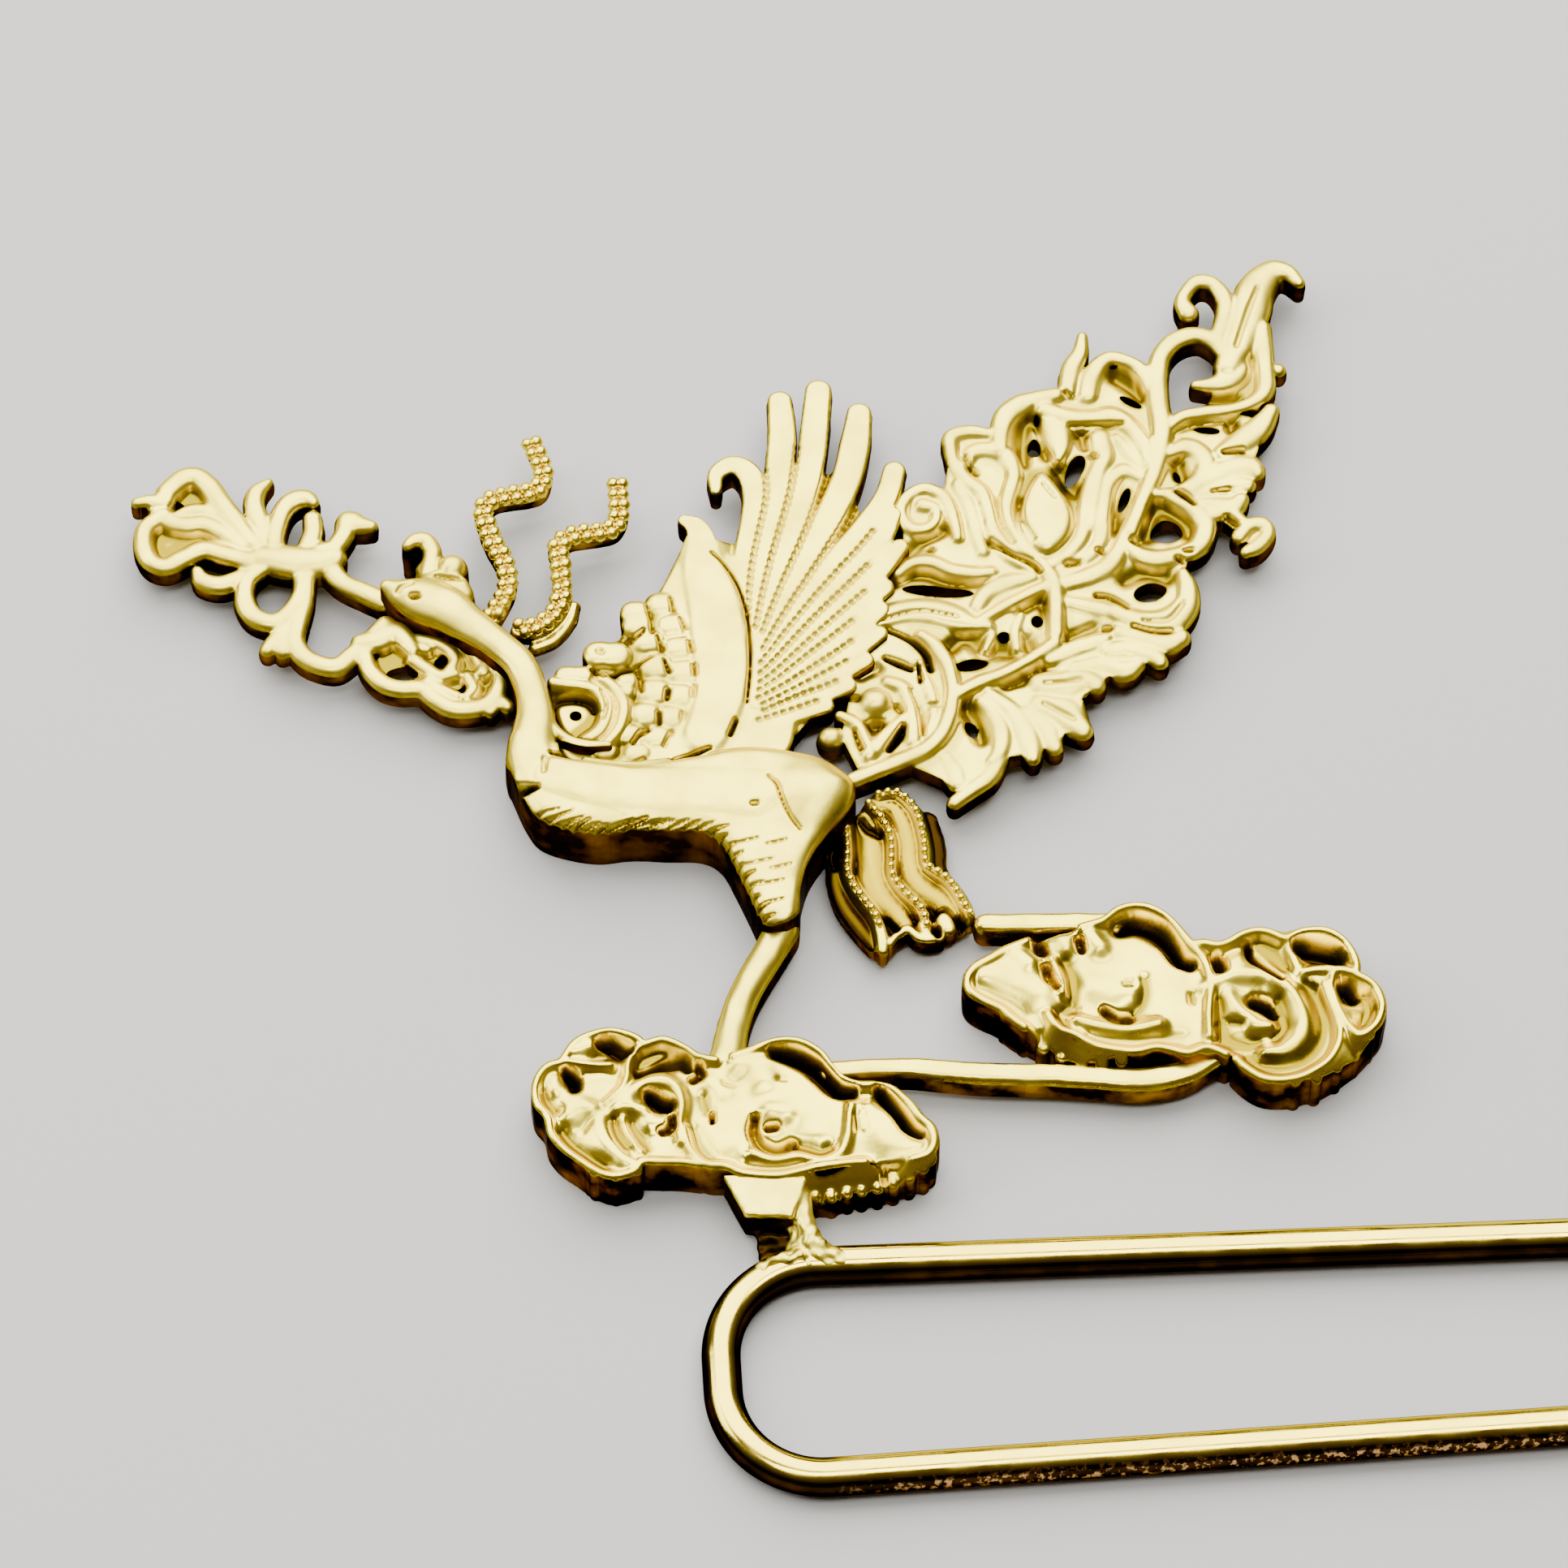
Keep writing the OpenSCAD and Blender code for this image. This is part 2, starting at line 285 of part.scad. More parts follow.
upper_ruffle_rows = [
    [1.7, [[-22.8, -9.3, 0.55], [-18.6, -12.8, 0.6], [-15, -13.6, 0.45]]],
    [1.7, [[-8, -14.6, 0.5], [-5.2, -15.5, 0.65], [-1.4, -13.2, 0.5]]]];

// Cloud at the left, over the post: much the same scrolls, turned over
lower_cloud_rows = [
    [3.4, [[-46.4, -12.6, 0.3], [-45.2, -11.2, 0.35], [-43.1, -11, 0.35], [-42.4, -12.4, 0.4],
           [-45.4, -12.9, 0.4]]],
    [3.4, [[-46.6, -12.9, 0.35], [-47.8, -13.3, 0.4], [-48.2, -14.6, 0.4], [-47.4, -15.8, 0.4], [-45.4, -14.6, 0.4]]],
    [3.1, [[-47.3, -16.4, 0.4], [-46.9, -18, 0.4], [-45.4, -19.5, 0.45], [-43, -19.8, 0.45]]],
    [3.1, [[-45.1, -14.8, 0.5], [-45.2, -16.6, 0.7], [-44, -18.8, 0.65]]],
    [3.4, [[-42.4, -13.3, 0.35], [-41.9, -12, 0.35], [-40.6, -11.9, 0.35], [-38.2, -13.2, 0.4]]],
    [3.4, [[-43.8, -15.2, 0.45], [-42.3, -14, 0.5], [-40.2, -14.5, 0.5], [-40, -17.1, 0.5],
           [-39.3, -18.8, 0.5], [-37.5, -19.6, 0.5]]],
    [3.1, [[-42.6, -15.4, 0.5], [-43, -17.2, 0.55], [-42, -18.7, 0.55], [-40.6, -18.4, 0.5]]],
    [3.1, [[-41.8, -17, 0.75], [-41.6, -17, 0.65]]],
    [3.4, [[-34.6, -17.1, 1.6], [-34.4, -17.1, 1.5]]],
    [3.1, [[-36.4, -19.2, 0.7], [-38, -17.6, 0.95], [-37.8, -15.4, 1], [-35.7, -13.9, 0.95],
           [-33.3, -14.3, 0.95], [-31.8, -16, 0.9], [-31.4, -17.4, 0.85]]],
    [3.1, [[-36, -19.3, 0.6], [-34, -19.7, 0.65], [-32.1, -19.5, 0.65], [-31, -18.3, 0.6]]],
    [3.4, [[-36, -12.9, 0.45], [-34.9, -12.2, 0.35], [-33.4, -12.1, 0.35], [-31.9, -13.1, 0.35], [-30.4, -15.2, 0.4]]],
    [3.1, [[-30.6, -16.2, 0.7], [-29.9, -18, 0.8], [-31, -20, 0.7]]],
    [3.1, [[-29.6, -19, 0.85], [-27.2, -19.3, 0.8], [-26.6, -19.9, 0.6]]],
    [3.4, [[-30, -15.8, 0.5], [-28.6, -17.2, 0.6], [-27.3, -18.6, 0.55], [-26.3, -19.3, 0.5]]]];
lower_cloud_floor = [
    [-48, -14.4], [-45.6, -11.7], [-43.2, -11.4], [-38, -13.2], [-34.2, -12.4], [-31.8, -13.2], [-27, -18.8],
    [-31, -20.2], [-38, -19.6], [-40.4, -18.8], [-44.2, -19.7], [-46.6, -18.4]];
lower_ruffle_rows = [
    [1.7, [[-33, -20.9, 0.5], [-30.4, -20.9, 0.55], [-26.6, -19.8, 0.5]]],
    [1.7, [[-45.2, -19.3, 0.5], [-41.6, -19.1, 0.5], [-38.6, -19.4, 0.45]]]];

// Standing leg from the thigh to the lower cloud
standing_rows = [
    [3.0, [[-33.9, -4.4, 1], [-34.6, -5.8, 0.95], [-35.4, -7.1, 0.93], [-36, -8.2, 0.9], [-36.5, -9.3, 0.9],
           [-36.9, -10.4, 0.9], [-37.2, -11.4, 0.95], [-37.5, -12.4, 1], [-37.6, -12.8, 1.05], [-37.7, -13.2, 1.05]]]];

// Outlines of the two flat-topped bars, as a middle line with half widths
trailing_line = [[-22.2, -4.6, 0.65], [-18.5, -4.7, 0.68], [-15, -5, 0.68]];
strut_line = [
    [-31.6, -13.5, 0.6], [-27, -13.6, 0.65], [-22.8, -14.2, 0.7], [-16.7, -14.8, 0.75], [-13.4, -15.1, 0.78],
    [-11.6, -14.8, 0.72], [-9.8, -14, 0.5]];

// The tab that carries the ornament, its neck down to the wire, and the solder round it
tab = [[-38, -20.2], [-36.9, -22.8], [-34.3, -23.1], [-33.3, -20.6]];
tab_low_z = 0.4;
tab_z = 3.2;
web = [[-36.3, -22.4], [-36.2, -25.6], [-33.4, -25.4], [-34.2, -22.4]];
web_z = 1.1;
neck_r = 0.48;
neck_top = [-33.9, -21.4, 2.3];
neck_foot = [-33.4, -25, 1.5];
// Columns of a solder lump: middle along X, Y and Z, radius
solder_lumps = [[-35.5, -25.9, 1.7, 0.75], [-33.5, -24.6, 1.5, 0.85], [-34.4, -24, 1.2, 0.6], [-31.9, -24.9, 1.35, 1.25]];

// A flat-ended disc of a strand, narrower at its top
module strand_disc(point, low, top, sides) {
    translate([point[X], point[Y], low])
        cylinder(h = top - low, r1 = point[HALF], r2 = point[HALF] * strand_top_share, $fn = sides);
}

// Strands drawn through the points of each row, from the height low up to the row's own top
module strands(rows, low, sides = strand_sides) {
    for (row = rows)
        for (i = [0 : len(row[POINTS]) - 2])
            hull() {
                strand_disc(row[POINTS][i], low, row[TOP], sides);
                strand_disc(row[POINTS][i + 1], low, row[TOP], sides);
            }
}

// The same strands as a flat outline
module strands_plan(rows) {
    for (row = rows)
        for (i = [0 : len(row[POINTS]) - 2])
            hull() {
                plan_disc(row[POINTS][i]);
                plan_disc(row[POINTS][i + 1]);
            }
}

module plan_disc(point) {
    translate([point[X], point[Y]])
        circle(r = point[HALF], $fn = strand_sides);
}

// A sunken floor between two heights, with holes through it
module sunken_floor(outline, holes, low, top) {
    translate([0, 0, low])
        linear_extrude(top - low)
            difference() {
                polygon(outline);
                for (hole = holes)
                    translate([hole[X], hole[Y]])
                        rotate(hole[HOLE_TURN])
                            scale([hole[HOLE_A], hole[HOLE_B]])
                                circle(r = 1, $fn = 6);
            }
}

// Takes away the plan of neighbouring pieces, widened by the clearance
module keep_clear_of() {
    difference() {
        children(0);
        translate([0, 0, -1])
            linear_extrude(12)
                offset(delta = joint_gap)
                    children(1);
    }
}

// A round mass of the body, fuller at its foot than at its crown
module mass(row) {
    sides = 12;
    foot_share = 0.5;
    crown_share = 0.55;
    translate([row[0], row[1], 0]) {
        cylinder(h = row[3] * foot_share, r = row[2], $fn = sides);
        cylinder(h = row[3] * 0.85, r = row[2] * 0.86, $fn = sides);
        cylinder(h = row[3], r = row[2] * crown_share, $fn = sides);
    }
}

// Where two masses meet, they are joined by the shape that wraps both
module masses(rows) {
    for (i = [0 : len(rows) - 2])
        hull() {
            mass(rows[i]);
            mass(rows[i + 1]);
        }
}

module masses_plan(rows) {
    for (i = [0 : len(rows) - 2])
        hull() {
            translate([rows[i][0], rows[i][1]]) circle(r = rows[i][2], $fn = 12);
            translate([rows[i + 1][0], rows[i + 1][1]]) circle(r = rows[i + 1][2], $fn = 12);
        }
}

// A straight round bar between two places
module round_bar(from, to, r) {
    run = to - from;
    length = norm(run);
    translate(from)
        rotate([0, acos(run[2] / length), atan2(run[1], run[0])])
            cylinder(h = length, r = r, $fn = 32);
}

// One prong with its corner of the bend, for the upper side of the middle line.
// The corner runs a little way into the straight wire, so that they are one solid.
module half_fork() {
    free_length = prong_run / cos(toe_in) - tip_l - soldered_run;
    translate([corner_x, corner_y, 0])
        rotate(90 - toe_in - corner_overlap)
            rotate_extrude(angle = 90 + toe_in + 2 * corner_overlap, $fn = 96)
                translate([bend_r, 0]) circle(r = corner_r, $fn = 32);
    translate([prong_start_x, half_spacing, 0])
        rotate([0, 0, -toe_in])
            rotate([0, 90, 0]) {
                cylinder(h = soldered_run + 1, r1 = bend_end_r, r2 = soldered_r, $fn = 32);
                translate([0, 0, soldered_run]) {
                    cylinder(h = free_length, r = wire_r, $fn = 32);
                    translate([0, 0, free_length]) cylinder(h = tip_l, r1 = wire_r, r2 = wire_r * 0.5, $fn = 32);
                }
            }
}

module hair_fork() color("#f2e2a6") {
    translate([0, fork_y, wire_r]) {
        half_fork();
        mirror([0, 1, 0]) half_fork();
        // The straight middle of the bend
        translate([corner_x - bend_r, -corner_y, 0])
            rotate([-90, 0, 0])
                cylinder(h = 2 * corner_y, r = wire_r, $fn = 32);
    }
    translate([0, 0, tab_low_z]) linear_extrude(tab_z - tab_low_z) polygon(tab);
    translate([0, 0, tab_low_z]) linear_extrude(web_z - tab_low_z) polygon(web);
    round_bar(neck_top, neck_foot, neck_r);
    for (lump = solder_lumps)
        translate([lump[0], lump[1], lump[2]]) sphere(r = lump[3], $fn = 32);
}

module body_plan() {
    masses_plan(body_masses);
    strands_plan(neck_rows);
    strands_plan(breast_rows);
    strands_plan(comb_rows);
}

module wing_plan() {
    strands_plan(concat(flight_rows, shoulder_rows, covert_rows, volute_rows));
    polygon(wing_floor);
}

module spray_plan() {
    strands_plan(spray_rows);
    polygon(petal_floor);
    polygon(scroll_floor);
}

module fan_plan() {
    strands_plan(fan_rows);
    polygon(fan_floor);
}

module tail_plan() {
    strands_plan(tail_rows);
    polygon(tail_floor);
}

module upper_cloud_plan() {
    strands_plan(concat(upper_cloud_rows, upper_ruffle_rows));
    polygon(upper_cloud_floor);
}

module lower_cloud_plan() {
    strands_plan(concat(lower_cloud_rows, lower_ruffle_rows));
    polygon(lower_cloud_floor);
}

module bird_body() color("#f3e6b4") {
    masses(body_masses);
    strands(neck_rows, 0.6, 8);
    strands(breast_rows, 0.4);
    strands(comb_rows, 1.2);
}

module wing() color("#f0e2b0") {
    keep_clear_of() {
        union() {
            strands(flight_rows, back_z);
            strands(shoulder_rows, back_z);
            strands(covert_rows, back_z);
            strands(volute_rows, back_z);
            sunken_floor(wing_floor, [[-44.6, 10.6, 0.4, 0.4, 0]], back_z, floor_z + 0.4);
        }
        body_plan();
    }
}

module scroll_fan() color("#eedc9c") {
    keep_clear_of() {
        union() {
            strands(fan_rows, back_z);
            sunken_floor(fan_floor, fan_holes, back_z, floor_z);
            sunken_floor(tip_floor, [], back_z, floor_z);
        }
        union() {
            wing_plan();
            body_plan();
        }
    }
}

module flower_spray() color("#eedc9c") {
    keep_clear_of() {
        union() {
            strands(spray_rows, back_z);
            sunken_floor(petal_floor, spray_holes, back_z, floor_z);
            sunken_floor(scroll_floor, spray_holes, back_z, floor_z);
        }
        body_plan();
    }
}

module front_plume() color("#ecd28a") {
    keep_clear_of() {
        strands(front_plume_rows, 1.6);
        body_plan();
    }
}

module rear_plume() color("#ecd28a") {
    keep_clear_of() {
        strands(rear_plume_rows, 1.6);
        union() {
            body_plan();
            wing_plan();
        }
    }
}

module tail() color("#e9c765") {
    keep_clear_of() {
        union() {
            strands(tail_rows, 0.5);
            sunken_floor(tail_floor, [], 0.5, floor_z);
        }
        union() {
            body_plan();
            fan_plan();
        }
    }
}

module upper_cloud() color("#f4e6a8") {
    strands(upper_cloud_rows, 0.3);
    strands(upper_ruffle_rows, 0);
    sunken_floor(upper_cloud_floor, [], 0.3, cell_z);
}

module lower_cloud() color("#f4e6a8") {
    keep_clear_of() {
        union() {
            strands(lower_cloud_rows, 0.3);
            strands(lower_ruffle_rows, 0);
            sunken_floor(lower_cloud_floor, [], 0.3, cell_z);
        }
        polygon(tab);
    }
}

module standing_leg() color("#f0dfa0") {
    keep_clear_of() {
        strands(standing_rows, bar_low_z, 8);
        union() {
            body_plan();
            lower_cloud_plan();
        }
    }
}

// A bar with a flat top and upright sides, drawn through its middle line
module flat_bar(line) {
    translate([0, 0, bar_low_z])
        linear_extrude(bar_z - bar_low_z)
            for (i = [0 : len(line) - 2])
                hull() {
                    translate([line[i][X], line[i][Y]]) circle(r = line[i][HALF], $fn = 24);
                    translate([line[i + 1][X], line[i + 1][Y]]) circle(r = line[i + 1][HALF], $fn = 24);
                }
}

module trailing_leg() color("#f0dfa0") {
    keep_clear_of() {
        flat_bar(trailing_line);
        union() {
            tail_plan();
            fan_plan();
            upper_cloud_plan();
        }
    }
}

module cloud_strut() color("#f0dfa0") {
    keep_clear_of() {
        flat_bar(strut_line);
        union() {
            lower_cloud_plan();
            upper_cloud_plan();
        }
    }
}

hair_fork();
lower_cloud();
upper_cloud();
cloud_strut();
standing_leg();
trailing_leg();
bird_body();
wing();
scroll_fan();
flower_spray();
front_plume();
rear_plume();
tail();
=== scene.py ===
# %% [markdown]
# # A hair stick with a crane, a lotus scroll and two clouds
# The real thing is one flat casting in pale gold plating, soldered to a fork of round wire.
# The fixed frame holds its plain solids at their true size. This script dresses them: it models
# the relief of the casting, the wire, the beads and the finish, and leaves every size as it is.

# %% Load the fixed frame
import math

import bmesh
import bpy
import numpy as np
from mathutils import Matrix, Vector


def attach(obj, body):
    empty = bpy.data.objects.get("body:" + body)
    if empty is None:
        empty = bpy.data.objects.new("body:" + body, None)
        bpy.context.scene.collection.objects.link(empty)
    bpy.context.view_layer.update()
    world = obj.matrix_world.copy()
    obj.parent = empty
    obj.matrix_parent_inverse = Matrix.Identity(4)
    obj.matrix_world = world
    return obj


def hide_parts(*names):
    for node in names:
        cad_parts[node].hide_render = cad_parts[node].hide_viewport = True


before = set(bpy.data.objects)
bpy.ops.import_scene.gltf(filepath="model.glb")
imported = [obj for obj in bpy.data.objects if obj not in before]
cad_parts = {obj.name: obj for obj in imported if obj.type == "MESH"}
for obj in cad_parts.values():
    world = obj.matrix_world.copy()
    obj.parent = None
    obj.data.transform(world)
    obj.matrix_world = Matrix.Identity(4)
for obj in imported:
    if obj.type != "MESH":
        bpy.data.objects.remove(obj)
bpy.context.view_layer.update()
MM = 0.001
print("nodes:", sorted(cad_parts))

# %% [markdown]
# ## The camera
# The photograph looks down on the pin from about 60 degrees, from the side of the fork, through a
# long lens. The camera is set first, because every later choice is judged through it.

# %% Place the camera
AZIMUTH = math.radians(-3.4)
ELEVATION = math.radians(60)
DISTANCE = 0.5
TARGET = Vector((-0.033, 0.0065, 0))
MM_PER_PIXEL = 0.0468
FRAME_PIXELS = 1932
SENSOR_MM = 36


def add_object(name, data):
    """Puts a new object into the scene."""
    made = bpy.data.objects.new(name, data)
    bpy.context.scene.collection.objects.link(made)
    return made


def aim(obj, target):
    """Turns a camera or a light towards a place."""
    obj.rotation_euler = (Vector(target) - obj.location).to_track_quat("-Z", "Y").to_euler()


camera_data = bpy.data.cameras.new("camera")
camera_data.sensor_width = SENSOR_MM
camera_data.lens = SENSOR_MM * DISTANCE / (MM_PER_PIXEL * FRAME_PIXELS * MM)
camera_data.clip_start = 0.01
camera = add_object("camera", camera_data)
towards_camera = Vector((
    math.sin(AZIMUTH) * math.cos(ELEVATION),
    -math.cos(AZIMUTH) * math.cos(ELEVATION),
    math.sin(ELEVATION)))
camera.location = TARGET + towards_camera * DISTANCE
aim(camera, TARGET)
bpy.context.scene.camera = camera
print("lens", round(camera_data.lens, 1), "mm")

# %% [markdown]
# ## A casting as a height map
# A flat casting like this one is shaped from its front: every place on it has one height. So it
# can be worked out on a fine grid, like a map of hills. Strands, pads and floors are laid on the
# grid, the highest wins, and the grid is then skinned into a closed mesh with side walls and a
# flat back. That gives strands that flow into each other, as in cast metal, which separate tubes
# would not.

# %% The grid that a casting is laid on
GRID = 0.11
NO_METAL = -9.0
METAL_ABOVE = -5.0


def new_casting(low_x, low_y, high_x, high_y, grid=GRID):
    """An empty grid in millimetres.

    cover is above 0 where there is metal, height is its top, and sunk is how deep its grooves are,
    weighted by tone for the painted shade.
    """
    x, y = np.meshgrid(np.arange(low_x, high_x, grid), np.arange(low_y, high_y, grid))
    empty = np.full(x.shape, NO_METAL)
    return {"x": x, "y": y, "grid": grid, "height": empty, "cover": empty.copy(), "sunk": 0 * x}


def window(casting, points, reach):
    """The part of the grid that lies within reach of some points."""
    corner = np.array([casting["x"][0, 0], casting["y"][0, 0]])
    low = (points[:, :2].min(0) - reach - corner) / casting["grid"]
    high = (points[:, :2].max(0) + reach - corner) / casting["grid"]
    left, bottom = np.maximum(0, low.astype(int))
    right, top = np.minimum(casting["x"].shape[::-1], high.astype(int) + 2)
    return slice(bottom, top), slice(left, right)


def lay(casting, part, height, cover):
    """Adds metal to a part of the grid. The highest wins."""
    casting["height"][part] = np.maximum(casting["height"][part], height)
    casting["cover"][part] = np.maximum(casting["cover"][part], cover)


def sink(casting, part, depth, tone=1.0):
    """Lowers a part of the grid. A tone above 1 paints it with the shade of a deeper groove."""
    casting["height"][part] -= depth
    casting["sunk"][part] = np.maximum(casting["sunk"][part], tone * depth)


# %% [markdown]
# A strand is a short row of places with a half width at each. A curve is drawn smoothly through
# them, the way a wax worker rolls a strand and bends it.

# %% Smooth lines
FAR = 99.0
LEAST_HALF = 0.05


def smooth_span(before, start, stop, after, step, fewest):
    """Places on a smooth curve from start up to stop, given the places on both sides."""
    count = max(fewest, int(np.hypot(*(stop - start)[:2]) / step))
    return [0.5 * (2 * start + (stop - before) * t
                   + (2 * before - 5 * start + 4 * stop - after) * t ** 2
                   + (3 * start - before - 3 * stop + after) * t ** 3) for t in np.arange(count) / count]


def smooth_path(rows, step=0.2):
    """A smooth curve through rows of numbers, as many numbers to a row as it is given."""
    points = np.array(rows, float)
    if len(points) == 2:
        points = np.array([points[0], points.mean(0), points[1]])
    ends = np.vstack([2 * points[0] - points[1], points, 2 * points[-1] - points[-2]])
    path = []
    for four in zip(ends, ends[1:], ends[2:], ends[3:]):
        path += smooth_span(*four, step, 2)
    return np.array(path + [points[-1]])


def closed_curve(outline, step=0.3):
    """A smooth closed outline through a few places."""
    points = np.array(outline, float)
    ring = np.vstack([points[-1], points, points[0], points[1]])
    path = []
    for four in zip(ring, ring[1:], ring[2:], ring[3:]):
        path += smooth_span(*four, step, 1)
    return np.array(path)


def to_segment(x, y, start, stop):
    """How far along a segment each place is, from 0 to 1, and how far away from it."""
    run = stop[:2] - start[:2]
    along = np.clip(((x - start[0]) * run[0] + (y - start[1]) * run[1]) / max(run @ run, 1e-9), 0, 1)
    return along, np.hypot(x - start[0] - along * run[0], y - start[1] - along * run[1])


def near_path(casting, path, reach):
    """The grid near a path, each place's distance to the path, and the half width there."""
    part = window(casting, path, reach)
    best = np.full(casting["x"][part].shape, FAR)
    half = np.zeros(best.shape)
    for start, stop in zip(path[:-1], path[1:]):
        along, away = to_segment(casting["x"][part], casting["y"][part], start, stop)
        width = start[2] + along * (stop[2] - start[2])
        nearer = away - width < best - half
        best = np.where(nearer, away, best)
        half = np.where(nearer, width, half)
    return part, best, np.maximum(half, LEAST_HALF)


# %% Strands and grooves
ROUNDNESS = 0.8
FLANK = 3.0
BESIDE = 0.6
GROOVE_REACH = 2.5


def crown(share):
    """A round cross-section: 1 on the middle line, 0 at the edge."""
    return np.sqrt(np.clip(1 - share ** 2, 0, 1))


def lay_strand(casting, rows, top, roundness=ROUNDNESS, flank=FLANK):
    """Lays a strand. Its edge is roundness half widths lower than its top, and beyond its edge it
    falls by flank millimetres in each millimetre to whatever lies beside it."""
    path = smooth_path(rows)
    part, away, half = near_path(casting, path, path[:, 2].max() + BESIDE)
    hill = top - roundness * half * (1 - crown(away / half)) - flank * np.clip(away - half, 0, None)
    lay(casting, part, hill, half - away)


def lay_table(casting, table, roundness=ROUNDNESS, swell=1.0):
    """Lays every strand of a table of tops and rows. swell makes them all broader."""
    for top, rows in table:
        lay_strand(casting, broaden(rows, swell), top, roundness)


def lay_knob(casting, x, y, half, top, reach=0.05, roundness=1.0, flank=FLANK):
    """Lays a round knob, or a short scale if reach is more."""
    lay_strand(casting, [(x - reach, y, half), (x + reach, y, half)], top, roundness, flank)


def broaden(rows, factor):
    """The same row of places with broader half widths."""
    return [(x, y, half * factor) for x, y, half in rows]


def cut_groove(casting, rows, depth, tone=1.0):
    """Sinks a soft groove along a row of places."""
    path = smooth_path(rows)
    part, away, half = near_path(casting, path, path[:, 2].max() * GROOVE_REACH)
    sink(casting, part, depth * np.exp(-(away / half) ** 2), tone)


def cut_table(casting, table, tone=1.0):
    """Sinks every groove of a table of depths and rows."""
    for depth, rows in table:
        cut_groove(casting, rows, depth, tone)


# %% [markdown]
# Pads are the broad forms, such as the bird's body, and floors are the sunken webs between
# strands. Both are closed outlines. A floor can have holes, and a strand may cross a hole, as the
# real ones do.

# %% Pads, floors and holes
# A floor keeps its height this far beyond its outline, so that its edge is clipped level
FLOOR_EDGE = 0.3


def outline_distance(x, y, outline):
    """Distance to a closed outline, above 0 inside it."""
    best = np.full(x.shape, FAR)
    inside = np.zeros(x.shape, bool)
    for start, stop in zip(outline, np.roll(outline, -1, axis=0)):
        best = np.minimum(best, to_segment(x, y, start, stop)[1])
        run = stop - start
        if run[1] != 0:
            between = (start[1] > y) != (stop[1] > y)
            inside ^= between & (x < start[0] + (y - start[1]) * run[0] / run[1])
    return np.where(inside, best, -best)


def lay_pad(casting, outline, top, edge, drop):
    """Lays a broad form whose edge rounds off by drop over the width edge."""
    shape = closed_curve(outline)
    part = window(casting, shape, 1)
    inside = outline_distance(casting["x"][part], casting["y"][part], shape)
    edge_share = np.clip(1 - inside / edge, 0, 1)
    lay(casting, part, top - drop * (1 - crown(edge_share)) + FLANK * np.clip(inside, None, 0), inside)


def hole_cover(x, y, hole):
    """Above 0 outside an oval hole: middle x, y, half length, half width, turn in degrees."""
    middle_x, middle_y, half_long, half_wide, turn = hole
    turn = math.radians(turn)
    along = (x - middle_x) * math.cos(turn) + (y - middle_y) * math.sin(turn)
    across = (y - middle_y) * math.cos(turn) - (x - middle_x) * math.sin(turn)
    return (np.hypot(along / half_long, across / half_wide) - 1) * min(half_long, half_wide)


def lay_floor(casting, outline, level, holes=()):
    """Lays a sunken web with holes through it. Call it before the strands that cross it."""
    shape = np.array(outline, float)
    part = window(casting, shape, 1)
    x, y = casting["x"][part], casting["y"][part]
    inside = outline_distance(x, y, shape)
    for hole in holes:
        inside = np.minimum(inside, hole_cover(x, y, hole))
    lay(casting, part, np.where(inside > -FLOOR_EDGE, level, NO_METAL), inside)


# %% [markdown]
# Cast metal is never quite even. The lumps are a sum of slow waves that run in random directions,
# from a fixed seed, because a noise in the plating alone wouldn't change the form.

# %% Lumps and soft creases
WAVES = 14
USUAL_PEAK = 5.3


def lumps(x, y, z, size, seed):
    """A smooth uneven field between about -1 and 1. size is the lumps' size in millimetres."""
    chance = np.random.default_rng(seed)
    total = np.zeros(np.shape(x))
    for _ in range(WAVES):
        way = chance.normal(size=3)
        way *= 2 * math.pi / (size * chance.uniform(0.8, 2.2) * np.linalg.norm(way))
        total = total + np.sin(way[0] * x + way[1] * y + way[2] * z + chance.uniform(0, 6.3))
    return total / USUAL_PEAK


def blur(values):
    """Blurs a field by about one step of the grid."""
    for axis in (0, 1):
        values = 0.5 * values + 0.25 * (np.roll(values, 1, axis) + np.roll(values, -1, axis))
    return values


def soften(casting, times=1):
    """Rounds the creases between strands a little, where there is metal."""
    metal = casting["height"] > METAL_ABOVE
    for _ in range(times):
        value = blur(np.where(metal, casting["height"], 0))
        weight = np.maximum(blur(metal.astype(float)), 1e-6)
        casting["height"] = np.where(metal, value / weight, casting["height"])


def hollow_share(casting, reach, depth):
    """How sunken each place is below the metal within reach of it, from 0 to 1 at depth."""
    metal = casting["cover"] > 0
    height = np.where(metal, casting["height"], 0)
    highest = np.where(metal, height, NO_METAL)
    count = max(1, int(reach / casting["grid"]))
    for axis in (0, 1):
        highest = np.max([np.roll(highest, shift, axis) for shift in range(-count, count + 1)], 0)
    return blur(blur(np.clip((highest - height) / depth, 0, 1)))


# %% [markdown]
# The skin follows the edge of the metal exactly: each grid square that the edge crosses is clipped
# at the crossing. A skin that kept to whole squares would have stairs along every edge.

# %% The front of a skin
def crossing(inside_value, outside_value):
    """Where the edge of the metal crosses between two places, as a share of the way."""
    return np.clip(inside_value / (inside_value - outside_value), 0.1, 0.9)


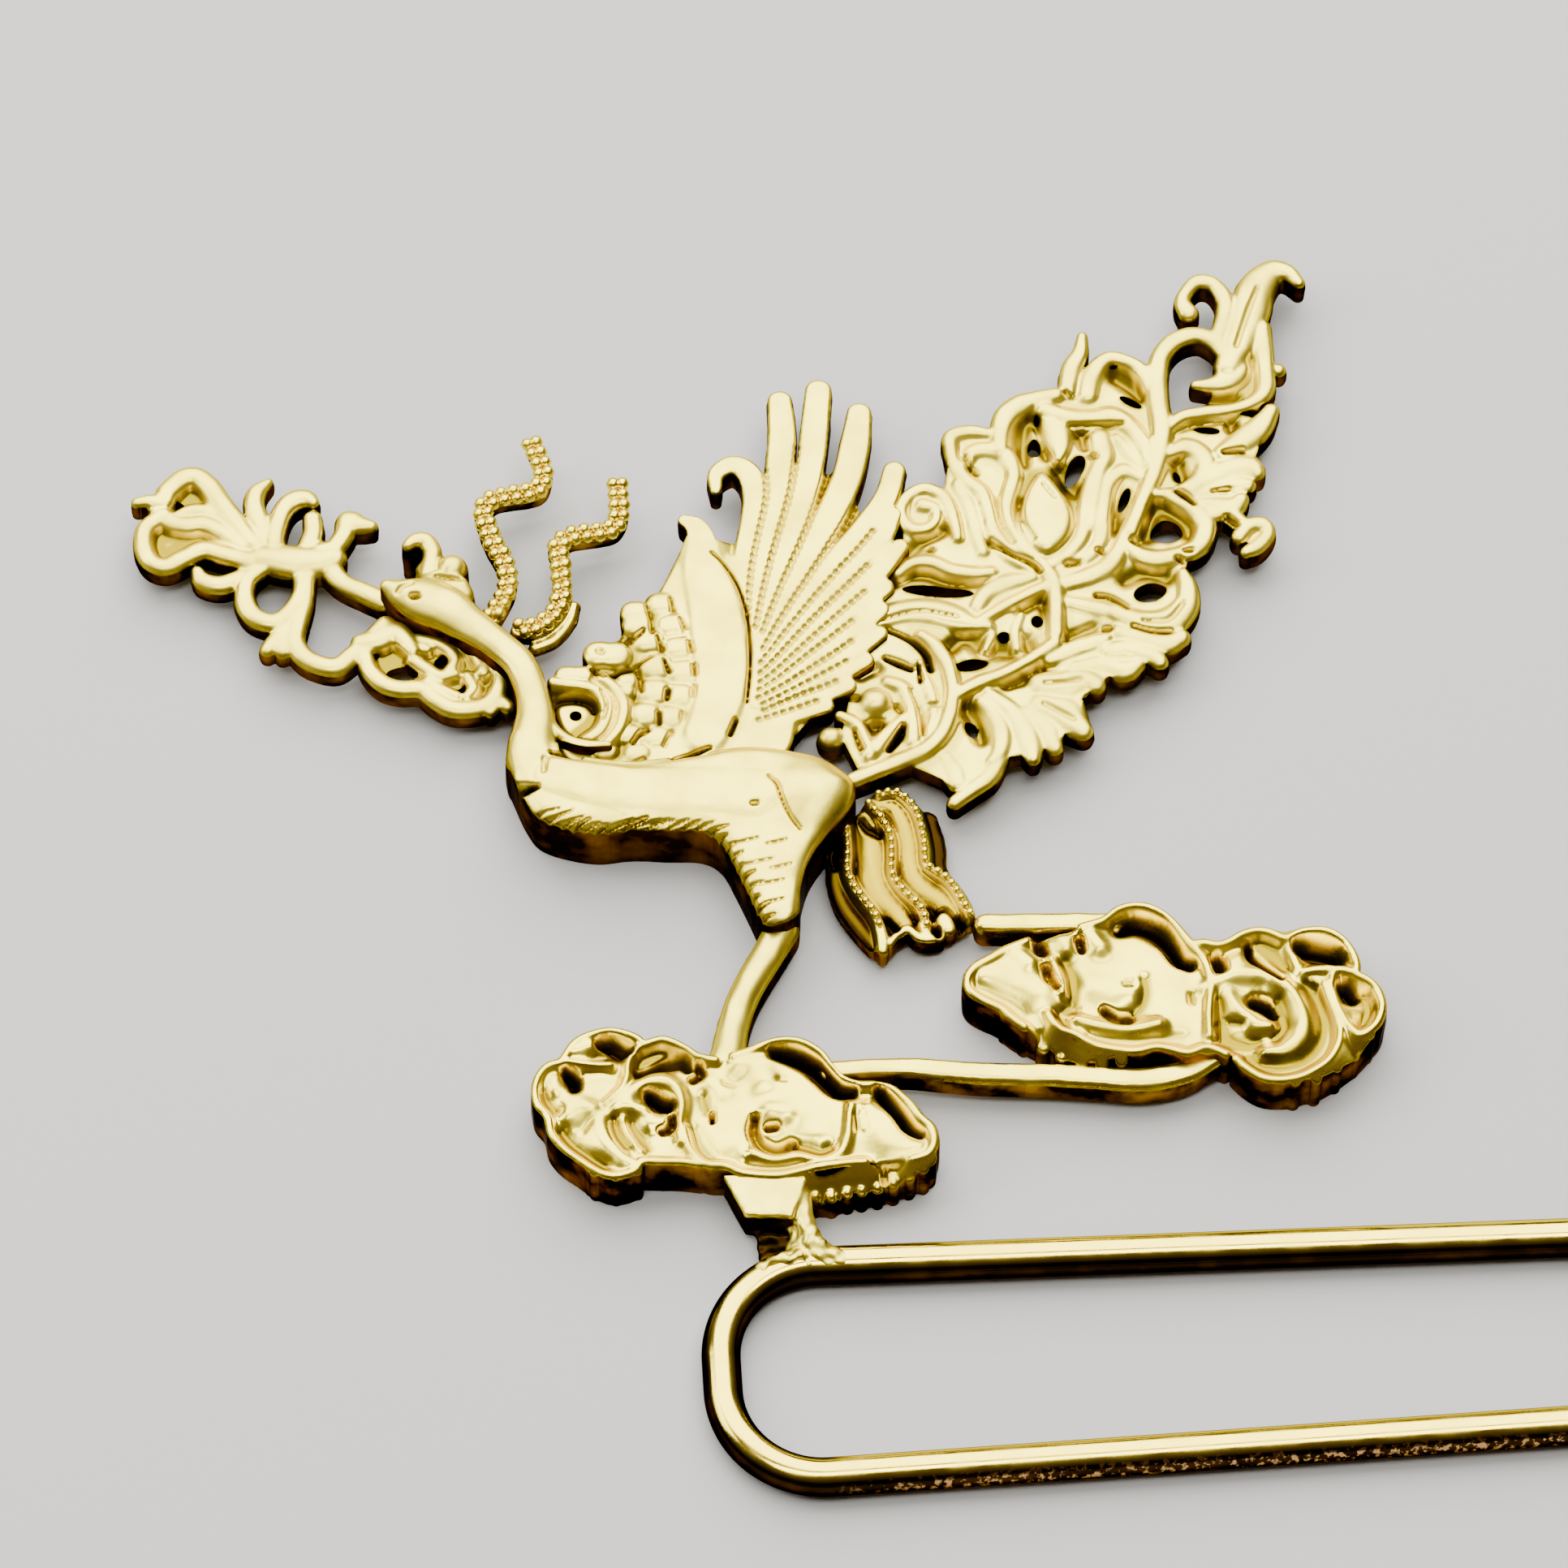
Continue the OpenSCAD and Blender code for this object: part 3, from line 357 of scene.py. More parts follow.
def front_points(metal, cover, fields):
    """The front's points: those on metal, and those where the edge crosses the grid's lines.

    With them go their numbers at each place, and at each crossing along X and along Y.
    """
    total = int(metal.sum())
    node = np.full(metal.shape, -1)
    node[metal] = np.arange(total)
    rows, numbers = [fields[metal]], [node]
    every, before, after = slice(None), slice(None, -1), slice(1, None)
    for first, second in (((every, before), (every, after)), ((before, every), (after, every))):
        crosses = metal[first] != metal[second]
        low, high = cover[first][crosses], cover[second][crosses]
        share = np.where(low > 0, crossing(low, high), 1 - crossing(high, low))[:, None]
        rows.append(fields[first][crosses] * (1 - share) + fields[second][crosses] * share)
        ids = np.full(crosses.shape, -1)
        ids[crosses] = total + np.arange(crosses.sum())
        total += int(crosses.sum())
        numbers.append(ids)
    return np.vstack(rows), numbers


def front_faces(metal, node, along_x, along_y):
    """The front's faces, whole squares first and then clipped ones, and the pieces of its edge."""
    inside = metal[:-1, :-1] * 1 + metal[:-1, 1:] * 2 + metal[1:, 1:] * 4 + metal[1:, :-1] * 8
    i, j = np.nonzero(inside == 15)
    squares = np.stack([node[i, j], node[i, j + 1], node[i + 1, j + 1], node[i + 1, j]], 1)
    faces = [tuple(square) for square in squares.tolist()]
    edges = []
    for i, j in zip(*np.nonzero((inside > 0) & (inside < 15))):
        corners = ((i, j), (i, j + 1), (i + 1, j + 1), (i + 1, j))
        cuts = (along_x[i, j], along_y[i, j + 1], along_x[i + 1, j], along_y[i, j])
        face, passed = [], []
        for k in range(4):
            here, there = metal[corners[k]], metal[corners[(k + 1) % 4]]
            if here:
                face.append(int(node[corners[k]]))
            if here != there:
                face.append(int(cuts[k]))
                passed.append((int(cuts[k]), bool(here)))
        for k, (cut, leaves) in enumerate(passed):
            if leaves:
                edges.append((cut, passed[(k + 1) % len(passed)][0]))
        faces.append(tuple(face))
    return faces, edges


# %% [markdown]
# Rings of points carry the side wall down from the front's edge to the back. Two fields go with the
# points, for the painted shade of the plating: hollow says how sunken a place is, and side is 1 on
# the walls, a half on the back and 0 on the front.

# %% Skin a casting
RINGS = (0.07, 0.35, 0.7, 1.0)
LEAST_WALL = 0.35
WALL_BULGE = 0.05
WALL_LUMP = 0.03
SHARP_EDGE = math.radians(65)


def store(mesh, **fields):
    """Stores fields of numbers on a mesh's points."""
    for label, values in fields.items():
        layer = mesh.attributes.new(label, "FLOAT", "POINT")
        layer.data.foreach_set("value", np.asarray(values, np.float32))


def skin(casting, name, back, material, lump=0.02, seed=1,
         hollow_depth=1.6, hollow_reach=0.7, groove_depth=1.4):
    """Turns a casting into a closed mesh with side walls and a flat back.

    A place gets the full painted shade of a hollow where it is hollow_depth below the metal round it,
    or where a groove is groove_depth deep.
    """
    x, y, cover = casting["x"], casting["y"], casting["cover"]
    metal = cover > 0
    height = casting["height"] + lump * lumps(x, y, 0 * x, 1.3, seed)
    # How much painted shade each place gets in the hollows
    hollow = np.maximum(hollow_share(casting, hollow_reach, hollow_depth),
                        np.clip(casting["sunk"] / groove_depth, 0, 1))
    slope_y, slope_x = np.gradient(cover)
    fields = np.stack([x, y, height, hollow, slope_x, slope_y], -1)
    front, numbers = front_points(metal, cover, fields)
    faces, edges = front_faces(metal, *numbers)
    # A height that was blended with a place that has no metal is lifted to the least wall
    front[:, 2] = np.maximum(front[:, 2], back + LEAST_WALL)

    # The side wall goes down in rings, a little bulged and uneven, and then comes the back
    inner = int(metal.sum())
    rim = front[inner:]
    outward = -rim[:, 4:6] / np.maximum(np.hypot(rim[:, 4], rim[:, 5]), 1e-6)[:, None]
    layers, hollows, sides = [front[:, :3]], [front[:, 3]], [np.zeros(len(front))]
    for share in RINGS:
        z = np.maximum(rim[:, 2] * (1 - share) + back * share, back)
        push = WALL_BULGE * math.sin(math.pi * share)
        push = push + WALL_LUMP * lumps(rim[:, 0], rim[:, 1], z, 0.7, seed + 5) * (share < 1)
        layers.append(np.column_stack([rim[:, :2] + outward * push[:, None], z]))
        hollows.append(rim[:, 3])
        sides.append(np.ones(len(rim)))
    layers.append(np.column_stack([front[:inner, :2], np.full(inner, back)]))
    hollows.append(np.zeros(inner))
    sides.append(np.full(inner, 0.5))
    back_start = len(front) + len(RINGS) * len(rim)

    def ring_id(point, ring):
        """The number of the point below a point of the rim, on a ring. Ring -1 is the rim."""
        return point if ring < 0 else len(front) + ring * len(rim) + point - inner

    front_count = len(faces)
    for start, stop in edges:
        for ring in range(len(RINGS)):
            faces.append((ring_id(stop, ring - 1), ring_id(start, ring - 1),
                          ring_id(start, ring), ring_id(stop, ring)))
    for face in faces[:front_count]:
        faces.append(tuple(v + back_start if v < inner else ring_id(v, len(RINGS) - 1)
                           for v in reversed(face)))

    mesh = bpy.data.meshes.new(name)
    mesh.from_pydata((np.vstack(layers) * MM).tolist(), [], faces)
    mesh.update()
    store(mesh, hollow=np.concatenate(hollows), side=np.concatenate(sides))
    mesh.shade_smooth()
    mesh.set_sharp_from_angle(angle=SHARP_EDGE)
    mesh.materials.append(material)
    print(name, len(mesh.polygons), "faces")
    return add_object(name, mesh)


# %% [markdown]
# ## Gold plating
# The finish is pale gold plating on a casting. Raised places are bright and pale. The sunken
# floors are painted a deeper yellow, and dark in the deepest pits, as painted shade, and the side
# walls are painted dark brown as painted shade, with painted glints. The meshes carry both as the
# fields hollow and side, so the painted shade follows the form from every side. A third field is
# there on the wire alone: it places small pale painted glints, in specks, on the lower prong.

# %% Helpers for materials
def linear(hex_colour):
    """An sRGB hex colour as a linear colour."""
    values = [int(hex_colour[i:i + 2], 16) / 255 for i in (1, 3, 5)]
    return [v / 12.92 if v <= 0.04045 else ((v + 0.055) / 1.055) ** 2.4 for v in values] + [1]


def add_node(tree, kind, settings=None, **inputs):
    """Adds one node, sets its properties and fills its inputs by name, or by number as in _0."""
    made = tree.nodes.new(kind)
    for key, value in (settings or {}).items():
        setattr(made, key, value)
    for key, value in inputs.items():
        socket = made.inputs[int(key[1:])] if key[0] == "_" else made.inputs[key.replace("_", " ")]
        if isinstance(value, bpy.types.NodeSocket):
            tree.links.new(value, socket)
        else:
            socket.default_value = value
    return made


def lay_colour(tree, under, over, value, low, high, most=1.0):
    """Lays one colour over another where a value rises from low to high, with at most this share."""
    share = add_node(tree, "ShaderNodeMapRange", None, Value=value, From_Min=low, From_Max=high,
                     To_Max=most)
    return add_node(tree, "ShaderNodeMix", {"data_type": "RGBA"}, _0=share.outputs["Result"],
                    _6=under, _7=over).outputs[2]


# %% [markdown]
# The plating's colour is laid in layers, each let through by a field or by noise. The noise makes
# clouds about 2.4 mm across and grain of about 0.4 mm, and the casting pits lie about 0.7 mm
# apart. A scale is how many of them go into a metre. Real grain is finer still, but it wouldn't
# show at this size, so it is drawn coarser.

# %% The plating
CLOUD_SCALE = 420.0
GRAIN_SCALE = 2600.0
PIT_SCALE = 1500.0
EDGE_TINT = (0.9, 0.74, 0.12, 1)
# Painted shade: the reflections on the walls are tinted towards this dark brown
WALL_SHADE_TINT = "#5A3A14"
# The colour of the pale painted glint specks
GLINT_SPECK_COLOUR = "#D8A868"
GRAIN_DEPTH = 0.00003


def plating(name, bright, deep, dark_shade, wall_glint, roughness, grain):
    """Pale gold plating: bright on what stands out, with painted shade of a deeper yellow in hollows,
    dark painted shade on walls and in the deepest pits, and painted glints of a lighter brown on walls."""
    material = bpy.data.materials.new(name)
    material.use_nodes = True
    tree = material.node_tree
    tree.nodes.clear()
    place = add_node(tree, "ShaderNodeTexCoord").outputs["Object"]
    cloud = add_node(tree, "ShaderNodeTexNoise", None, Vector=place, Scale=CLOUD_SCALE,
                     Detail=3.0).outputs["Fac"]
    fine = add_node(tree, "ShaderNodeTexNoise", None, Vector=place, Scale=GRAIN_SCALE, Detail=4.0,
                    Roughness=0.6).outputs["Fac"]
    pits = add_node(tree, "ShaderNodeTexVoronoi", None, Vector=place, Scale=PIT_SCALE).outputs["Distance"]
    hollow, side, worn = (add_node(tree, "ShaderNodeAttribute", {"attribute_name": field}).outputs["Fac"]
                          for field in ("hollow", "side", "worn"))

    # Colour: the front, painted shade in its hollows and on the walls, and pale painted glint specks
    bright, deep, dark_shade, wall_glint = (linear(colour) for colour in (bright, deep, dark_shade, wall_glint))
    # Painted shade on the walls, with painted glints of a lighter brown in patches
    painted_wall_shade_and_glints = lay_colour(tree, dark_shade, wall_glint, cloud, 0.44, 0.7)
    colour = lay_colour(tree, bright, deep, cloud, 0.4, 0.75, 0.2)
    # Painted shade: a deeper yellow in hollows, and dark brown in the deepest pits
    colour = lay_colour(tree, colour, deep, hollow, 0.22, 0.52)
    colour = lay_colour(tree, colour, dark_shade, hollow, 0.66, 0.95)
    # The painted wall shade goes on the walls, and mostly on the back too
    colour = lay_colour(tree, colour, painted_wall_shade_and_glints, side, 0.05, 0.6)
    # Pale painted glint specks, where the wire's speck field allows
    colour = lay_colour(tree, colour, linear(GLINT_SPECK_COLOUR), fine, 0.53, 0.6, worn)
    # The reflections turn brown on the walls, as painted shade
    tint = lay_colour(tree, EDGE_TINT, linear(WALL_SHADE_TINT), side, 0.05, 0.6)

    # Surface: uneven polish, with fine grain and casting pits
    uneven = add_node(tree, "ShaderNodeMapRange", None, Value=cloud, From_Min=0.3, From_Max=0.75,
                      To_Min=roughness - 0.05, To_Max=roughness + 0.12).outputs["Result"]
    dents = add_node(tree, "ShaderNodeMapRange", None, Value=pits, From_Min=0.0, From_Max=0.35,
                     To_Min=-0.6, To_Max=0.0).outputs["Result"]
    relief = add_node(tree, "ShaderNodeMath", {"operation": "ADD"}, _0=dents, _1=fine).outputs[0]
    bump = add_node(tree, "ShaderNodeBump", None, Strength=grain, Distance=GRAIN_DEPTH, Height=relief)
    shader = add_node(tree, "ShaderNodeBsdfPrincipled", None, Base_Color=colour, Metallic=1.0,
                      Roughness=uneven, Specular_Tint=tint, Normal=bump.outputs["Normal"])
    output = add_node(tree, "ShaderNodeOutputMaterial")
    tree.links.new(shader.outputs["BSDF"], output.inputs["Surface"])
    return material


# The colours are for raised places, hollows' painted shade, walls' painted shade and their painted glints,
# then roughness and grain.
# Satin plating is rubbed but not polished, so the bird, wing, scroll and spray shine softly
satin_gold = plating("satin pale-gold plating on zinc casting",
                     "#FFEA52", "#8C7A00", "#2C1C05", "#80580C", 0.34, 0.30)
# The clouds and bars are polished more, so they mirror the light in sharper patches
bright_gold = plating("bright pale-gold plating on zinc casting",
                      "#FFE94C", "#8E7A00", "#2C1E05", "#B0820E", 0.25, 0.22)
# The beaded pieces get a deeper yellow painted shade between their beads
deep_gold = plating("deep gold plating on beaded casting",
                    "#FFEA4C", "#A48C00", "#2C1C05", "#B0820E", 0.26, 0.20)
# Drawn wire is the smoothest, with a narrow bright streak along it
wire_gold = plating("pale-gold plating on drawn wire",
                    "#FFE652", "#C09A18", "#1E1203", "#40280A", 0.15, 0.10)
print("materials:", [m.name for m in bpy.data.materials])

# %% [markdown]
# ## The lotus scroll
# Behind the wing spreads a pierced scroll: a lotus bud in the middle, with petals, stems and
# curled leaves round it. It is laid as a floor with holes, then strands, then the full bud.
# All places in the tables are in millimetres. A row of strands is the height of the top, and then
# the places x, y and half width that the strand passes. A row of dips, lines or cuts is the
# depth, and then its places in the same way. A knob is x, y, half width and top.

# %% The scroll's strands
CAST_BACK = 1.2
scroll_strands = [
    (3.0, [(-11.9, 20.7, .4), (-11, 22.9, .4), (-10.2, 24.7, .45), (-9.7, 26.4, .5), (-9.5, 28, .55),
           (-9.6, 29.7, .55), (-9.5, 31.4, .55), (-9.1, 32.8, .5), (-8.2, 33.8, .5), (-6.9, 34.1, .45),
           (-5.9, 33.5, .45), (-5.3, 32.5, .4)]),
    (3.1, [(-5.3, 31.8, .65), (-4.4, 33.7, .9), (-3.7, 35.6, 1), (-3.1, 37.3, .9), (-2.1, 38.3, .65),
           (-1.2, 38.1, .45), (-.6, 37.3, .3)]),
    (3.0, [(-5.7, 33.8, .45), (-5.2, 35.2, .45), (-5.1, 36.5, .45), (-5.7, 37.6, .4), (-6.6, 37.8, .4),
           (-7.3, 37.1, .35), (-7.6, 36.4, .4), (-7.3, 35.7, .5)]),
    (2.9, [(-5.2, 32.9, .5), (-4.8, 31.7, .75), (-5.5, 30.9, .65), (-6.4, 30.6, .4), (-7.3, 30.6, .25)]),
    (2.9, [(-3.1, 34.4, .5), (-3.1, 32.8, .5), (-3.1, 31.5, .45), (-3.2, 30.1, .45), (-3.9, 29.3, .35),
           (-5.3, 28.8, .3), (-6.8, 28.7, .35), (-8.2, 28.5, .35), (-9.1, 27.8, .3)]),
    (2.7, [(-2.9, 31.6, .3), (-2.3, 31.5, .35)]),
    (2.9, [(-6.1, 25.8, .45), (-4.8, 26.7, .7), (-3.7, 27.6, .6), (-3, 28.6, .4)]),
    (2.9, [(-8.8, 23.3, .3), (-7.2, 24.1, .6), (-5.7, 24.8, .7), (-4.6, 24.8, .65), (-4.2, 24.4, .4)]),
    (2.8, [(-8.4, 23, .3), (-6.7, 23.4, .55), (-5.5, 23.7, .6), (-4.8, 23.6, .4)]),
    (2.8, [(-8.2, 22.6, .25), (-6.8, 22.3, .5), (-5.8, 22.2, .55), (-5.3, 22.6, .4)]),
    (2.9, [(-9.2, 26, .3), (-8.3, 26.4, .45), (-7.5, 26, .5), (-7.1, 25, .55), (-7.6, 23.9, .55),
           (-8.7, 23.2, .4), (-10.1, 23.2, .25)]),
    (2.9, [(-14.9, 30.6, .45), (-14.5, 32.2, .5), (-13.9, 33.3, .4), (-13.7, 34.4, .25)]),
    (2.9, [(-13.7, 30.3, .5), (-13.3, 31.7, .5), (-12.3, 32.8, .4), (-11.1, 32.5, .35), (-10.3, 31.7, .4),
           (-10, 30.6, .3)]),
    (3.0, [(-16.3, 29.4, .45), (-15, 28.8, .5), (-13.6, 28.6, .55), (-12.3, 28.7, .5), (-11.3, 27.8, .45),
           (-10.6, 26.5, .45), (-10.4, 25.3, .4)]),
    (2.9, [(-15.9, 28.7, .6), (-15.7, 27.8, .75), (-15.6, 26.8, .55), (-15.7, 26, .25)]),
    (2.9, [(-13.2, 27.2, .6), (-13.1, 26, .55), (-13.5, 24.9, .45), (-13.9, 23.2, .45),
           (-14.3, 21.3, .45)]),
    (2.8, [(-12.2, 27.2, .25), (-11.4, 26, .4), (-10.8, 25, .3)]),
    (2.8, [(-11.1, 24.5, .25), (-12, 25, .4), (-12.9, 24.2, .4), (-13.3, 22.8, .4), (-13.6, 21.3, .45)]),
    (2.9, [(-17.2, 18.7, .35), (-18.2, 19.9, .4), (-18.9, 21.3, .4), (-19.1, 22.6, .4), (-18.7, 24, .4),
           (-18.4, 25.2, .4), (-18.9, 26.5, .5), (-19.9, 26.9, .45), (-20.8, 26.7, .4), (-21.2, 25.9, .3)]),
    (2.9, [(-17.8, 18.5, .3), (-19, 19.6, .4), (-19.8, 21, .4), (-20.1, 22.7, .4), (-20.4, 23.9, .4),
           (-21.2, 24.8, .4), (-21.8, 25.8, .35), (-22, 27, .35), (-21.9, 27.9, .4), (-20.8, 28.2, .35),
           (-19.8, 28, .3)]),
    (2.8, [(-20.6, 19.9, .3), (-20.9, 21.3, .4), (-21.1, 22.7, .4), (-21.5, 23.9, .4), (-21.8, 24.6, .25)]),
    (2.9, [(-16.7, 18.8, .35), (-15.5, 19.6, .4), (-14.7, 20.8, .4), (-14.4, 22.5, .4), (-14, 24, .4),
           (-13.6, 24.9, .4)]),
    (3.0, [(-19.1, 26.8, .4), (-19, 28, .5), (-18.6, 29.1, .6), (-17.8, 29.8, .6), (-16.8, 30.2, .45),
           (-15.6, 30.4, .4)]),
    (2.9, [(-22, 20.9, .25), (-22.2, 22.5, .35), (-22.7, 23.8, .35), (-23.7, 24.4, .35), (-24.7, 23.9, .35),
           (-25.2, 22.9, .35), (-24.8, 21.8, .35), (-23.9, 21.6, .3), (-23.2, 22.1, .3), (-23.2, 23, .3),
           (-23.9, 23.3, .4)]),
    (2.8, [(-25.6, 18.7, .25), (-24.7, 19.4, .3), (-23.6, 19.4, .35), (-22.5, 18.8, .35),
           (-21.2, 18.5, .35), (-20.2, 18.5, .3)]),
    (2.8, [(-21.2, 16.2, .4), (-20.6, 17.1, .45), (-19.5, 17.7, .5), (-18.5, 17.9, .4), (-17.8, 18, .25)]),
    (3.0, [(-17.3, 18.8, .4), (-16.7, 17.7, .4), (-16.6, 16.4, .4), (-16.7, 15.1, .4), (-16.8, 14, .4)]),
    (2.9, [(-28.6, 15.1, .35), (-27.2, 15.6, .5), (-25.5, 16.1, .65), (-23.8, 16, .8), (-22.5, 15.5, .75),
           (-21.4, 15, .4), (-20.6, 14.8, .2)]),
    (3.0, [(-24.6, 14.4, .25), (-23.8, 13.6, .35), (-23.2, 12.4, .35), (-23, 10.8, .35), (-23.2, 9.3, .4),
           (-23.8, 7.8, .4), (-24.8, 6.8, .4), (-26.3, 6.1, .4), (-27.8, 5.5, .4), (-29.1, 5, .4)]),
    (2.9, [(-25.5, 7.4, .35), (-25.4, 8.6, .4), (-25.5, 10, .4), (-25.9, 11, .35), (-26.7, 11.4, .3)]),
    (2.8, [(-24.9, 12.5, .25), (-24.5, 11.3, .3), (-24.2, 10.1, .3), (-24.2, 8.8, .3), (-24.7, 7.6, .3)]),
    (2.9, [(-29.6, 9.3, .25), (-28.7, 8.7, .3), (-28.3, 7.6, .35), (-28.1, 6.7, .4)]),
    (2.8, [(-25.9, 9, .25), (-26.8, 8.1, .4), (-27.6, 7.2, .4), (-28.1, 6.5, .35)]),
    (3.0, [(-22.9, 10.2, .3), (-21.5, 11, .35), (-20.1, 11.5, .3), (-18.5, 12.3, .3), (-16.9, 13.4, .35)]),
    (2.9, [(-21.4, 15, .25), (-19.8, 16, .3), (-18.5, 16.7, .3), (-17.2, 17.3, .3)]),
    (2.7, [(-20.5, 15, .2), (-20.5, 14.2, .25), (-20.9, 13.3, .2)]),
    (2.7, [(-18.7, 15.5, .2), (-19.1, 14.5, .3), (-19.1, 13.3, .25)]),
    (2.8, [(-21.4, 9.9, .25), (-20.7, 8.9, .4), (-20.4, 7.7, .5), (-20.6, 6.4, .4), (-21.1, 5.8, .25)]),
    (2.8, [(-20.9, 10.3, .3), (-19.9, 9.3, .5), (-19.1, 8, .65), (-18.8, 6.7, .6), (-18.7, 5.9, .35)]),
    (2.7, [(-23.7, 6.2, .4), (-23.3, 5.3, .65), (-23.1, 4.6, .5)]),
    (2.7, [(-20.6, 6, .4), (-21.3, 4.9, .45), (-22.2, 4.2, .4), (-23.4, 3.3, .35)]),
    (2.9, [(-9.5, 22.9, .2), (-8.2, 22.1, .45), (-7.5, 21, .55), (-8, 19.6, .5), (-9.2, 19, .45),
           (-10.5, 18.8, .5), (-11.5, 19.1, .45), (-12.2, 19.8, .3)]),
    (2.9, [(-13.3, 15.4, .45), (-11.7, 14.6, .65), (-10.2, 14.6, .8), (-9.1, 15.6, .65), (-8.9, 16.8, .5),
           (-9.1, 17.7, .3)]),
    (2.8, [(-13.2, 14.1, .4), (-11.8, 13.5, .5), (-10.5, 13.1, .55), (-9.6, 13.5, .5)]),
    (2.8, [(-13.8, 12.8, .5), (-12.5, 12.9, .65), (-11.4, 12.4, .5), (-10.9, 11.9, .4)]),
    (2.8, [(-17.2, 12.5, .45), (-15.7, 13.1, .5), (-14.3, 13.5, .45), (-13.8, 13.7, .2)]),
    (2.7, [(-15.8, 11.8, .45), (-14.2, 12, .55), (-13, 11.5, .55), (-12.2, 11.9, .4)]),
    (2.8, [(-17.8, 10.8, .75), (-16.6, 10.7, 1.05), (-15.5, 11, .75), (-14.7, 10.6, .45)]),
    (2.8, [(-17.9, 9.4, .85), (-16.8, 9, 1.05), (-16.2, 8.2, .75), (-15.7, 7.6, .5)]),
    (2.7, [(-18.8, 8.9, .65), (-17.8, 7.8, .75), (-17.6, 7.2, .55), (-17.4, 6.6, .4)]),
    (2.8, [(-5.6, 20.1, .4), (-5, 20.8, .4), (-4.2, 20.9, .4), (-3.9, 20.2, .35), (-4.6, 19.4, .4),
           (-5.3, 19, .3)]),
    (2.8, [(-7.4, 21.6, .45), (-6.3, 21.9, .5), (-5.5, 21.1, .45)]),
    (2.9, [(-11, 22.8, .4), (-11.8, 21.3, .45), (-12.5, 19.8, .45), (-13.3, 18.6, .5), (-14.5, 17.9, .5),
           (-15.9, 17.5, .45)]),
    (2.8, [(-16.2, 16.3, .3), (-14.9, 15.9, .45), (-13.3, 15.4, .45)]),
    (2.8, [(-13.6, 22.3, .45), (-13.6, 20.8, .45), (-14.1, 19.7, .4), (-15.3, 18.7, .45),
           (-16.5, 17.9, .45)]),
]
scroll_knobs = [(-27.5, 10.2, 1.05, 3.05), (-30.2, 8, .75, 2.9), (-4.8, 20.1, .5, 2.5)]
lotus_bud = [(-16.8, 25), (-16, 24), (-15.3, 22.4), (-15.3, 21), (-16, 19.9), (-16.9, 19.3), (-17.7, 19.9),
             (-18.3, 21.2), (-18.2, 22.6), (-17.5, 24.2)]
scroll_floor = [
    (-25.1, 22.6), (-24.3, 24.2), (-22.6, 24), (-21.9, 27.6), (-20.8, 28.1), (-19.2, 28), (-18, 29.8),
    (-15.2, 30.7), (-13.3, 32), (-11, 32.3), (-9.7, 31), (-9.6, 28), (-5.6, 28.7), (-3.6, 28), (-4, 26),
    (-4.6, 24.4), (-5, 22.8), (-7.6, 21), (-8.6, 19.2), (-9.1, 17.4), (-9.1, 15.4), (-9.8, 13.4), (-11, 12),
    (-12.6, 12), (-14.4, 10.8), (-15.6, 10), (-16, 8), (-17.6, 7), (-18.8, 6.2), (-21, 6), (-22.6, 4.2),
    (-24, 4.8), (-26, 6), (-28.6, 5.2), (-29.6, 8), (-28.6, 12), (-28.4, 15), (-26, 18.6), (-25.2, 20),
]
tip_floor = [(-5.5, 30.7), (-8, 28.6), (-3.7, 28.7), (-3.1, 31), (-3.2, 33.6), (-4.7, 32.5)]
scroll_holes = [
    (-9.8, 20.7, .95, .85, 0), (-11.1, 16.6, 1, .65, 15), (-14.8, 25.3, 1, .5, 62),
    (-12.1, 23, .85, .3, 68), (-17.1, 26.9, .4, .65, 0), (-16.7, 28.9, .28, .35, 0),
    (-11.2, 29.7, .75, .28, -35), (-6.9, 27.5, .8, .28, -12), (-8.9, 24.5, .25, .45, 0),
    (-23.4, 17.4, 2.1, .42, -8), (-21.8, 12.3, 1, .42, 8), (-22.1, 8.2, .4, .6, 0),
    (-19.8, 14.1, .38, .36, 0), (-17.8, 15, .36, .42, 0), (-26.4, 7.6, .7, .22, 50),
]
